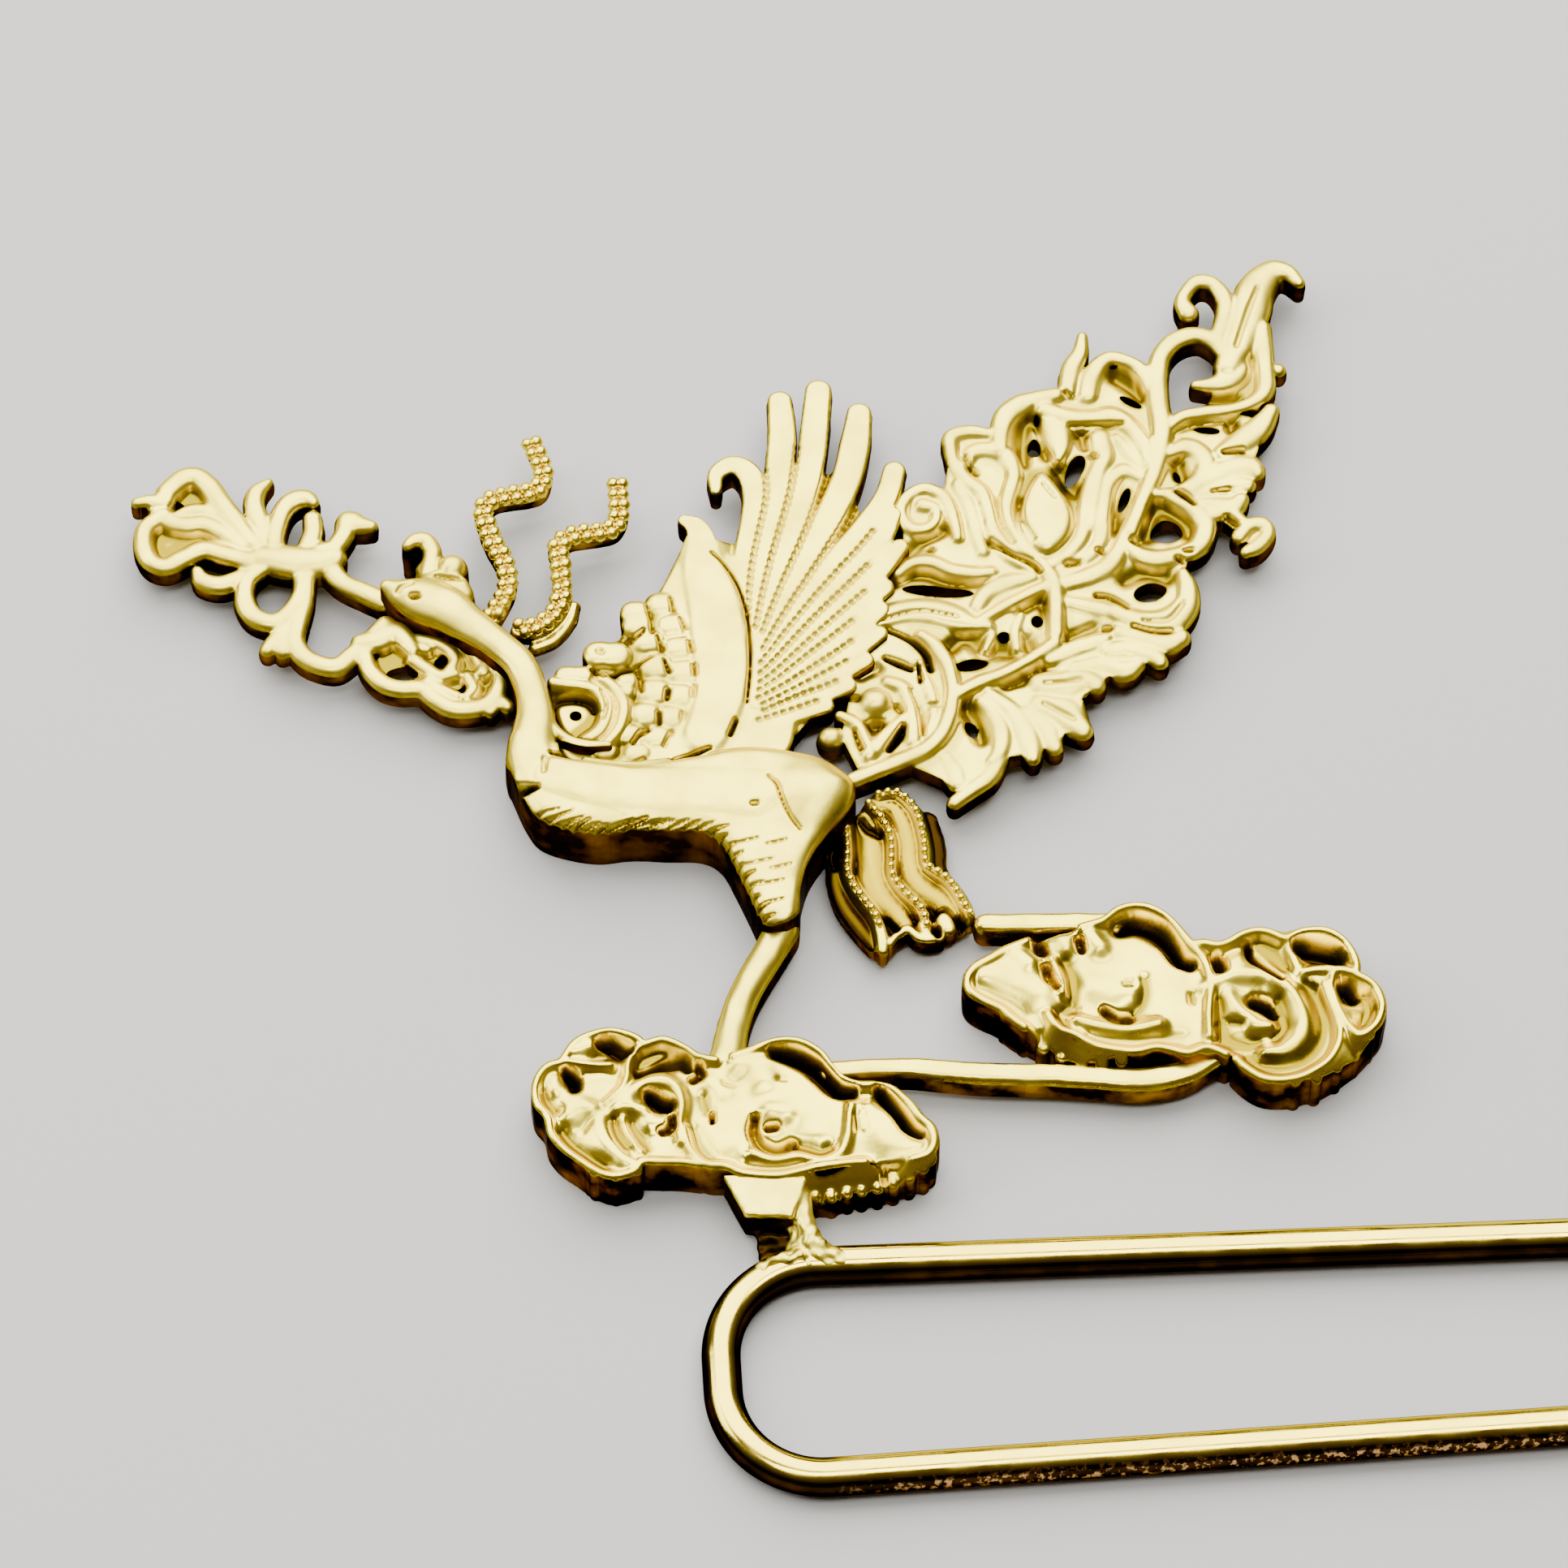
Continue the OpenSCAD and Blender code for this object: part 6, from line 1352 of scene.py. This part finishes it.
def cast_cloud(name, corners, outline, swells, rims, pits, ruffles, pleats, seed):
    """One cloud: ruffle, cushion, swells and rims, and then the pits."""
    cloud = new_casting(*corners, 0.085)
    lay_table(cloud, ruffles, roundness=0.7)
    for x, y in pleats:
        lay_strand(cloud, [(x, y + 0.6, .3), (x + 0.1, y, .36)], PLEAT_TOP, roundness=0.9)
    lay_pad(cloud, outline, CUSHION, edge=0.3, drop=0.15)
    for top, rows in swells:
        cut_groove(cloud, broaden(rows, SWELL_WIDTH), CUSHION - top)
    for rows in rims:
        lay_strand(cloud, broaden(rows, RIM_WIDTH), RIM_TOP, flank=1.1)
    soften(cloud, 2)
    for depth, rows in pits:
        if depth > DEEP_PIT:
            cut_groove(cloud, rows, depth)
        else:
            # A broad shallow dish, with the painted shade of a deeper pit
            cut_groove(cloud, broaden(rows, DISH_WIDTH), DISH_DEPTH * depth, tone=DISH_TONE)
    return skin(cloud, name, CLOUD_BACK, bright_gold, seed=seed, hollow_depth=2.8, groove_depth=1.25)


upper_cloud = cast_cloud("cast_upper_cloud", (-25.2, -17.8, .8, -3.2), upper_cloud_outline,
                         upper_cloud_swells, upper_cloud_rims, upper_cloud_pits, upper_cloud_ruffles,
                         upper_cloud_pleats, seed=81)
lower_cloud = cast_cloud("cast_lower_cloud", (-49.8, -22.8, -25, -9.6), lower_cloud_outline,
                         lower_cloud_swells, lower_cloud_rims, lower_cloud_pits, lower_cloud_ruffles,
                         lower_cloud_pleats, seed=82)

# %% [markdown]
# ## The crest plumes
# Two wavy plumes rise from the back of the head. Each is a soft strand edged with small beads on
# both sides, set alternately. The strand is cast, and the beads are set along it by Geometry
# Nodes, because a bead every half millimetre is a rule and not a shape to draw.

# %% Cast the plumes' strands
PLUME_BACK = 1.6
PLUME_TOP = 2.6
front_plume_line = [
    (-49.3, 17.2, .5), (-48.8, 18.1, .5), (-48.4, 19, .5), (-48.3, 20.2, .5), (-48.6, 21.2, .5),
    (-49.1, 22.4, .5), (-49.4, 23.6, .5), (-49.5, 24.6, .5), (-48.9, 25.2, .5), (-47.9, 25.4, .5),
    (-46.9, 25.5, .5), (-46.2, 25.8, .5), (-45.9, 26.8, .45), (-46.1, 27.8, .4), (-46.4, 28.5, .35),
    (-46.5, 28.9, .3),
]
rear_plume_line = [
    (-47.8, 16.3, .5), (-47.1, 16.3, .55), (-46.3, 16.7, .55), (-45.6, 17.4, .5), (-45.2, 18.5, .5),
    (-45.2, 19.6, .5), (-45.2, 20.8, .5), (-45.3, 21.6, .5), (-44.8, 22.3, .5), (-43.8, 22.5, .5),
    (-42.8, 22.6, .5), (-42, 22.8, .45), (-41.6, 23.7, .45), (-41.6, 24.8, .4), (-41.6, 25.8, .3),
]
neck_strand = [(-46.9, 15.3, .4), (-45.8, 15.8, .4), (-44.9, 16.9, .4), (-44.5, 18, .3)]


def cast_plume(name, corners, line, others, seed):
    """The strand that carries the beads, with any thinner strand beside it."""
    plume = new_casting(*corners)
    lay_table(plume, others)
    lay_strand(plume, line, PLUME_TOP, roundness=0.5)
    soften(plume)
    cut_groove(plume, broaden(line, 0.35), 0.25)
    return skin(plume, name, PLUME_BACK, deep_gold, seed=seed)


front_strand = cast_plume("front_strand", (-51, 16, -44.5, 30), front_plume_line, [], 91)
rear_strand = cast_plume("rear_strand", (-49, 14.2, -40.2, 27), rear_plume_line, [(2.2, neck_strand)], 92)

# %% [markdown]
# A node tree takes a line of points and sets one small ball at each even step along it. Its inputs
# are the step, the ball's radius and how much the radius varies, so one tree serves every row.

# %% A tree that sets beads along a line
def new_tree(name, numbers):
    """A Geometry Nodes tree with a geometry input and output, named numbers and a material."""
    tree = bpy.data.node_groups.new(name, "GeometryNodeTree")
    tree.interface.new_socket("Geometry", in_out="INPUT", socket_type="NodeSocketGeometry")
    for label, value in numbers:
        socket = tree.interface.new_socket(label, in_out="INPUT", socket_type="NodeSocketFloat")
        socket.default_value = value
    tree.interface.new_socket("Material", in_out="INPUT", socket_type="NodeSocketMaterial")
    tree.interface.new_socket("Geometry", in_out="OUTPUT", socket_type="NodeSocketGeometry")
    return tree, tree.nodes.new("NodeGroupInput").outputs, tree.nodes.new("NodeGroupOutput")


def end_tree(tree, source, given, finish):
    """Realizes what the tree made, shades it smooth and gives it the material."""
    real = add_node(tree, "GeometryNodeRealizeInstances", None, Geometry=source)
    smooth = add_node(tree, "GeometryNodeSetShadeSmooth", None, Geometry=real.outputs[0])
    dressed = add_node(tree, "GeometryNodeSetMaterial", None, Geometry=smooth.outputs[0],
                       Material=given["Material"])
    tree.links.new(dressed.outputs[0], finish.inputs[0])
    print(tree.name + ":", len(tree.nodes), "nodes")


bead_tree, given, finish = new_tree("beads along a line", [
    ("Step", 0.0006), ("Radius", 0.0003), ("Variation", 0.12)])
line_curve = add_node(bead_tree, "GeometryNodeMeshToCurve", None, Mesh=given["Geometry"])
stops = add_node(bead_tree, "GeometryNodeCurveToPoints", {"mode": "LENGTH"}, Curve=line_curve.outputs[0],
                 Length=given["Step"])
ball = add_node(bead_tree, "GeometryNodeMeshUVSphere", None, Segments=8, Rings=6, Radius=1.0)
least = add_node(bead_tree, "ShaderNodeMath", {"operation": "SUBTRACT"}, _0=1.0, _1=given["Variation"])
most = add_node(bead_tree, "ShaderNodeMath", {"operation": "ADD"}, _0=1.0, _1=given["Variation"])
chance = add_node(bead_tree, "FunctionNodeRandomValue", {"data_type": "FLOAT"}, _2=least.outputs[0],
                  _3=most.outputs[0], Seed=7)
size = add_node(bead_tree, "ShaderNodeMath", {"operation": "MULTIPLY"}, _0=chance.outputs[1],
                _1=given["Radius"])
beads_set = add_node(bead_tree, "GeometryNodeInstanceOnPoints", None, Points=stops.outputs[0],
                     Instance=ball.outputs[0], Scale=size.outputs[0])
end_tree(bead_tree, beads_set.outputs[0], given, finish)


# %% Run a tree on a line
def line_mesh(name, lines, radii=None):
    """A mesh of plain lines through places in millimetres, with a radius at each if given."""
    points, edges = [], []
    for line in lines:
        first = len(points)
        points += [tuple(c * MM for c in place) for place in line]
        edges += [(first + i, first + i + 1) for i in range(len(line) - 1)]
    mesh = bpy.data.meshes.new(name)
    mesh.from_pydata(points, edges, [])
    if radii is not None:
        store(mesh, wire_radius=np.array(radii) * MM)
    return mesh


def settled_mesh(carrier):
    """A plain mesh of what an object's modifiers make."""
    return bpy.data.meshes.new_from_object(carrier.evaluated_get(bpy.context.evaluated_depsgraph_get()))


def run_tree(tree, name, mesh, **values):
    """Runs a tree on a mesh with the given inputs, and returns the result as a plain mesh."""
    carrier = add_object(name + "_line", mesh)
    modifier = carrier.modifiers.new("tree", "NODES")
    modifier.node_group = tree
    for item in tree.interface.items_tree:
        key = item.name.lower()
        if item.item_type == "SOCKET" and item.in_out == "INPUT" and key in values:
            modifier[item.identifier] = values[key]
    made = settled_mesh(carrier)
    made.name = name
    bpy.data.objects.remove(carrier)
    bpy.data.meshes.remove(mesh)
    return made


def set_beads(name, lines, step, radius):
    """Sets beads along lines. Step and radius are in millimetres."""
    return run_tree(bead_tree, name, line_mesh(name + "_line", lines), step=step * MM, radius=radius * MM,
                    variation=0.1, material=deep_gold)


def join(name, first, other_mesh):
    """Joins a mesh to a piece, keeping each face's material, and names the piece."""
    other = add_object("part", other_mesh)
    with bpy.context.temp_override(active_object=first, selected_editable_objects=[first, other]):
        bpy.ops.object.join()
    first.name = name
    first.data.name = name
    print(name, len(first.data.polygons), "faces")
    return first


# %% [markdown]
# Each plume has a row of beads along both edges, and the tail has one row on each ridge.

# %% Set the plumes' beads
def offset_line(path, shift, height):
    """A line beside a smooth path, shift millimetres to its left, at one height."""
    run = np.gradient(path[:, :2], axis=0)
    length = np.maximum(np.hypot(run[:, 0], run[:, 1]), 1e-6)
    side = np.column_stack([-run[:, 1], run[:, 0]]) / length[:, None]
    return [(x, y, height) for x, y in path[:, :2] + side * shift]


def plume_beads(name, line, shift=0.27):
    """Two rows of beads along both edges of a plume. The right row starts later, to alternate."""
    path = smooth_path(line, 0.15)
    rows = [offset_line(path, shift, PLUME_TOP), offset_line(path[2:], -shift, PLUME_TOP)]
    return set_beads(name, rows, 0.72, 0.4)


front_plume = join("beaded_front_plume", front_strand, plume_beads("front_beads", front_plume_line))
rear_plume = join("beaded_rear_plume", rear_strand, plume_beads("rear_beads", rear_plume_line))

# %% Set the tail's bead rows
bead_rows = [[(x, y, 2.2) for x, y in smooth_path(line)] for line in tail_bead_lines]
tail_piece = join("tail_bands", tail_cast, set_beads("tail_beads", bead_rows, 0.54, 0.25))

# %% [markdown]
# ## The fork
# The fork is one round wire, bent into a U. Its middle line follows a rule: two straight prongs
# that lean together by one degree, two round corners and a short straight between them. A second
# tree sweeps a round profile along that line, with the radius stored at each point, so the tips
# can taper. The places are closest together at the tips and in the bend.

# %% The wire's tree
wire_tree, given, finish = new_tree("round wire along a line", [("Sides", 24)])
bent = add_node(wire_tree, "GeometryNodeMeshToCurve", None, Mesh=given["Geometry"])
thickness = add_node(wire_tree, "GeometryNodeInputNamedAttribute", {"data_type": "FLOAT"},
                     Name="wire_radius")
profile = add_node(wire_tree, "GeometryNodeCurvePrimitiveCircle", None, Resolution=given["Sides"],
                   Radius=1.0)
swept = add_node(wire_tree, "GeometryNodeCurveToMesh", None, Curve=bent.outputs[0], _1=profile.outputs[0],
                 Scale=thickness.outputs[0], Fill_Caps=True)
end_tree(wire_tree, swept.outputs[0], given, finish)

# %% The wire's middle line
WIRE_R = 1.1
HALF_SPACING = 6.5
LEAN = math.radians(1)
START_X = -33.1
END_X = 70.0
BEND_R = 5.5
FORK_Y = -31.7
TIP_L = 1.6


def half_spacing_at(x):
    """Half the distance between the prongs' middle lines."""
    return HALF_SPACING - (x - START_X) * math.tan(LEAN)


def half_wire(side):
    """The middle line from a prong's tip to the middle of the bend, for side 1 or -1."""
    places, radii = [], []
    for t in np.concatenate([[0, 0.15, 0.45, 0.9, TIP_L], np.linspace(4, END_X - START_X, 60)]):
        places.append((END_X - t, FORK_Y + side * half_spacing_at(END_X - t), WIRE_R))
        radii.append(WIRE_R * (0.5 + 0.5 * min(1.0, t / TIP_L) ** 0.6))
    corner_x = START_X - BEND_R * math.sin(LEAN)
    corner_y = HALF_SPACING - BEND_R * math.cos(LEAN)
    for turn in np.linspace(math.pi / 2 - LEAN, math.pi, 25)[1:]:
        away = corner_y + BEND_R * math.sin(turn)
        places.append((corner_x + BEND_R * math.cos(turn), FORK_Y + side * away, WIRE_R))
        radii.append(WIRE_R)
    return places, radii


upper_places, upper_radii = half_wire(1)
lower_places, lower_radii = half_wire(-1)
fork_line = line_mesh("fork_line", [upper_places + lower_places[::-1]], upper_radii + lower_radii[::-1])
wire_mesh = run_tree(wire_tree, "fork_wire", fork_line, sides=24, material=wire_gold)

# %% [markdown]
# The wire is painted with shade below a bright strip along its top. The strip reaches a little
# farther down on the side of each prong that faces away from the viewer, and below it the wire is
# painted dark. The dark part of the lower prong also has pale painted glints in specks, fewer and
# fewer towards the bend.

# %% Painted shade and glints for the wire
LIT_ABOVE = 2.1
LIT_ABOVE_FAR_SIDE = 1.8
MOST_GLINT_SPECKS = 0.8


def read_points(mesh, field):
    """A field of three numbers at each point of a mesh, such as its place or normal."""
    values = np.empty(len(mesh.vertices) * 3)
    mesh.vertices.foreach_get(field, values)
    return values.reshape(-1, 3)


x, y, z = read_points(wire_mesh, "co").T / MM
middle = FORK_Y + np.sign(y - FORK_Y) * half_spacing_at(x)
far_side = (x > START_X) & (y > middle)
# Painted shade below the lit strip along the top
under = np.clip((np.where(far_side, LIT_ABOVE_FAR_SIDE, LIT_ABOVE) - z) / 0.15, 0, 1)
# Pale painted glint specks in the painted shade of the lower prong
worn = MOST_GLINT_SPECKS * under * np.clip((x - START_X) / 6, 0, 1) * (y < FORK_Y)
store(wire_mesh, hollow=0.3 * under, side=0.6 * under, worn=worn)
print("wire faces:", len(wire_mesh.polygons))

# %% [markdown]
# ## The post and its solder
# The ornament stands on the fork by a thick tab with a thin neck, and solder has run down the
# right side of the neck and along the wire in uneven lumps. The parts are put together roughly
# and then remeshed into one skin, which gives the soft fillets that molten solder leaves. A row
# of solder is x, y, z and radius.

# %% Model the post
TAB = [(-38, -20.2), (-36.9, -22.8), (-34.3, -23.1), (-33.3, -20.6)]
WEB = [(-36.3, -22.4), (-36.2, -25.6), (-33.4, -25.4), (-34.2, -22.4)]
TAB_LOW = 0.45
TAB_TOP = 3.15
WEB_TOP = 1.05
SOLDER = [
    (-33.6, -21.6, 2.5, .5), (-33.6, -22.9, 2.3, .58), (-33.4, -23.9, 2, .66), (-33, -24.6, 1.85, .75),
    (-32.2, -25.1, 1.6, .8), (-31.3, -25.3, 1.4, .72), (-30.6, -25.4, 1.25, .62),
]
DRIPS = [
    (-34.2, -23.1, 1.7, .35), (-34.1, -23.9, 1.7, .45), (-34.3, -24.6, 1.6, .45), (-33.6, -25.4, 1.7, .5),
]
STEP = [(-36.6, -26.2, 1.8, .3), (-35.9, -25.5, 1.9, .4), (-35, -25.2, 2, .42), (-34, -25, 2, .45)]
SOLDER_STEP = 0.25


def add_prism(mesh, outline, low, high):
    """A flat plate between two heights."""
    bottom = [mesh.verts.new((x, y, low)) for x, y in outline]
    top = [mesh.verts.new((x, y, high)) for x, y in outline]
    mesh.faces.new(bottom)
    mesh.faces.new(top[::-1])
    for i in range(len(outline)):
        j = (i + 1) % len(outline)
        mesh.faces.new((bottom[j], bottom[i], top[i], top[j]))


solder_balls = np.vstack([smooth_path(rows, SOLDER_STEP) for rows in (SOLDER, DRIPS, STEP)])
rough = bmesh.new()
add_prism(rough, TAB, TAB_LOW, TAB_TOP)
add_prism(rough, WEB, TAB_LOW, WEB_TOP)
for x, y, z, radius in solder_balls:
    bmesh.ops.create_uvsphere(rough, u_segments=16, v_segments=10, radius=radius,
                              matrix=Matrix.Translation((x, y, z)))
bmesh.ops.recalc_face_normals(rough, faces=rough.faces)
rough_mesh = bpy.data.meshes.new("post")
rough.to_mesh(rough_mesh)
rough.free()
post = add_object("post", rough_mesh)
remesh = post.modifiers.new("skin", "REMESH")
remesh.mode = "VOXEL"
remesh.voxel_size = 0.13
settle = post.modifiers.new("settle", "SMOOTH")
settle.iterations = 6
post_mesh = settled_mesh(post)
post.modifiers.clear()
post.data = post_mesh

# %% [markdown]
# The solder's skin is pushed in and out in lumps, which fade towards the tab and along the wire.
# The solder and the tab's top are left bright, and the neck and the tab's walls are painted dark, as
# painted shade.

# %% Make the solder uneven and bring the post to size
SOLDERED_BELOW_Y = -22.6
SOLDERED_LEFT_OF_X = -31
FADE = 1.2
# Heights for the painted shade: the tab is painted dark below the first, away from the solder, and the neck
# below the second
TAB_BRIGHT_ABOVE = 2.95
NECK_DARK_BELOW = 1.2

places, ways = read_points(post_mesh, "co"), read_points(post_mesh, "normal")
soldered = np.clip((SOLDERED_BELOW_Y - places[:, 1]) / FADE, 0, 1)
soldered = soldered * np.clip((SOLDERED_LEFT_OF_X - places[:, 0]) / FADE, 0, 1)
unevenness = (0.015 + 0.11 * soldered) * lumps(*places.T, 0.6, 101)
places = places + ways * unevenness[:, None]
post_mesh.vertices.foreach_set("co", (places * MM).ravel())
far = np.full(len(places), FAR)
for x, y, z, radius in solder_balls:
    far = np.minimum(far, np.linalg.norm(places - (x, y, z), axis=1) - radius)
# Painted shade on the tab's walls and on the neck
side = np.clip((TAB_BRIGHT_ABOVE - places[:, 2]) / 0.4, 0, 1) * np.clip(far / 0.25, 0, 1)
side = np.maximum(side, np.clip((NECK_DARK_BELOW - places[:, 2]) / 0.6, 0, 1))
store(post_mesh, side=side)
post_mesh.shade_smooth()
post_mesh.update()
post_mesh.materials.clear()
post_mesh.materials.append(satin_gold)
wire = add_object("fork_wire", wire_mesh)
print("post faces:", len(post_mesh.polygons))

# %% [markdown]
# ## Floor and light
# The pin lies on a plain pale floor, which is rough enough to mirror nothing.

# %% The floor
FLOOR_SIZE = 3.0
FLOOR_Z = -0.00005
floor_mesh = bpy.data.meshes.new("floor")
floor_corners = [(x * FLOOR_SIZE, y * FLOOR_SIZE, FLOOR_Z) for x, y in ((-1, -1), (1, -1), (1, 1), (-1, 1))]
floor_mesh.from_pydata(floor_corners, [], [(0, 1, 2, 3)])
floor_material = bpy.data.materials.new("plain pale board")
floor_material.use_nodes = True
floor_inputs = floor_material.node_tree.nodes["Principled BSDF"].inputs
floor_inputs["Base Color"].default_value = linear("#B4B3AF")
floor_inputs["Roughness"].default_value = 0.85
floor_mesh.materials.append(floor_material)
floor = add_object("floor", floor_mesh)

# %% [markdown]
# Polished metal shows what is round it more than its own colour, so the light is three soft boxes:
# a large one behind the pin, which the raised tops mirror, a long one overhead, which gives the
# wire its second streak, and a small one at the left for the walls that face that way. A dim warm
# room fills in the rest.

# %% The lights
def soft_box(name, place, width, height, power):
    """A rectangular white light that looks at the pin."""
    data = bpy.data.lights.new(name, "AREA")
    data.shape = "RECTANGLE"
    data.size = width
    data.size_y = height
    data.energy = power
    light = add_object(name, data)
    light.location = place
    aim(light, TARGET)


soft_box("box behind", (-0.03, 0.38, 0.5), 0.9, 0.75, 15.0)
soft_box("box overhead", (0.0, -0.12, 0.6), 0.6, 0.16, 3.0)
soft_box("box left", (-0.5, 0.1, 0.35), 0.3, 0.3, 2.0)
world = bpy.data.worlds.new("dim room")
world.use_nodes = True
room = world.node_tree.nodes["Background"].inputs
room["Color"].default_value = linear("#BC9C74")
room["Strength"].default_value = 0.2
bpy.context.scene.world = world

# %% [markdown]
# ## Each piece takes the place of its solid
# Every piece rides on the one stiff body. Each replaces the plain solid that it was modelled
# round.

# %% Hand the pieces over
PIECES = [
    (wire, ["hair_fork"], "plated_wire"),
    (post, ["hair_fork"], "plated_wire"),
    (lower_cloud, ["lower_cloud"], "plated_bright"),
    (upper_cloud, ["upper_cloud"], "plated_bright"),
    (cloud_strut, ["cloud_strut"], "plated_bright"),
    (standing_leg, ["standing_leg"], "plated_satin"),
    (trailing_leg, ["trailing_leg"], "plated_bright"),
    (crane_body, ["bird_body"], "plated_satin"),
    (raised_wing, ["wing"], "plated_satin"),
    (lotus_scroll, ["scroll_fan"], "plated_satin"),
    (flower_spray, ["flower_spray"], "plated_satin"),
    (front_plume, ["front_plume"], "plated_deep"),
    (rear_plume, ["rear_plume"], "plated_deep"),
    (tail_piece, ["tail"], "plated_deep"),
]
triangles = 0
for piece, nodes, slot in PIECES:
    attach(piece, "root")
    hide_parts(*nodes)
    piece.data.calc_loop_triangles()
    triangles += len(piece.data.loop_triangles)
print("pieces:", len(PIECES), "triangles:", triangles)
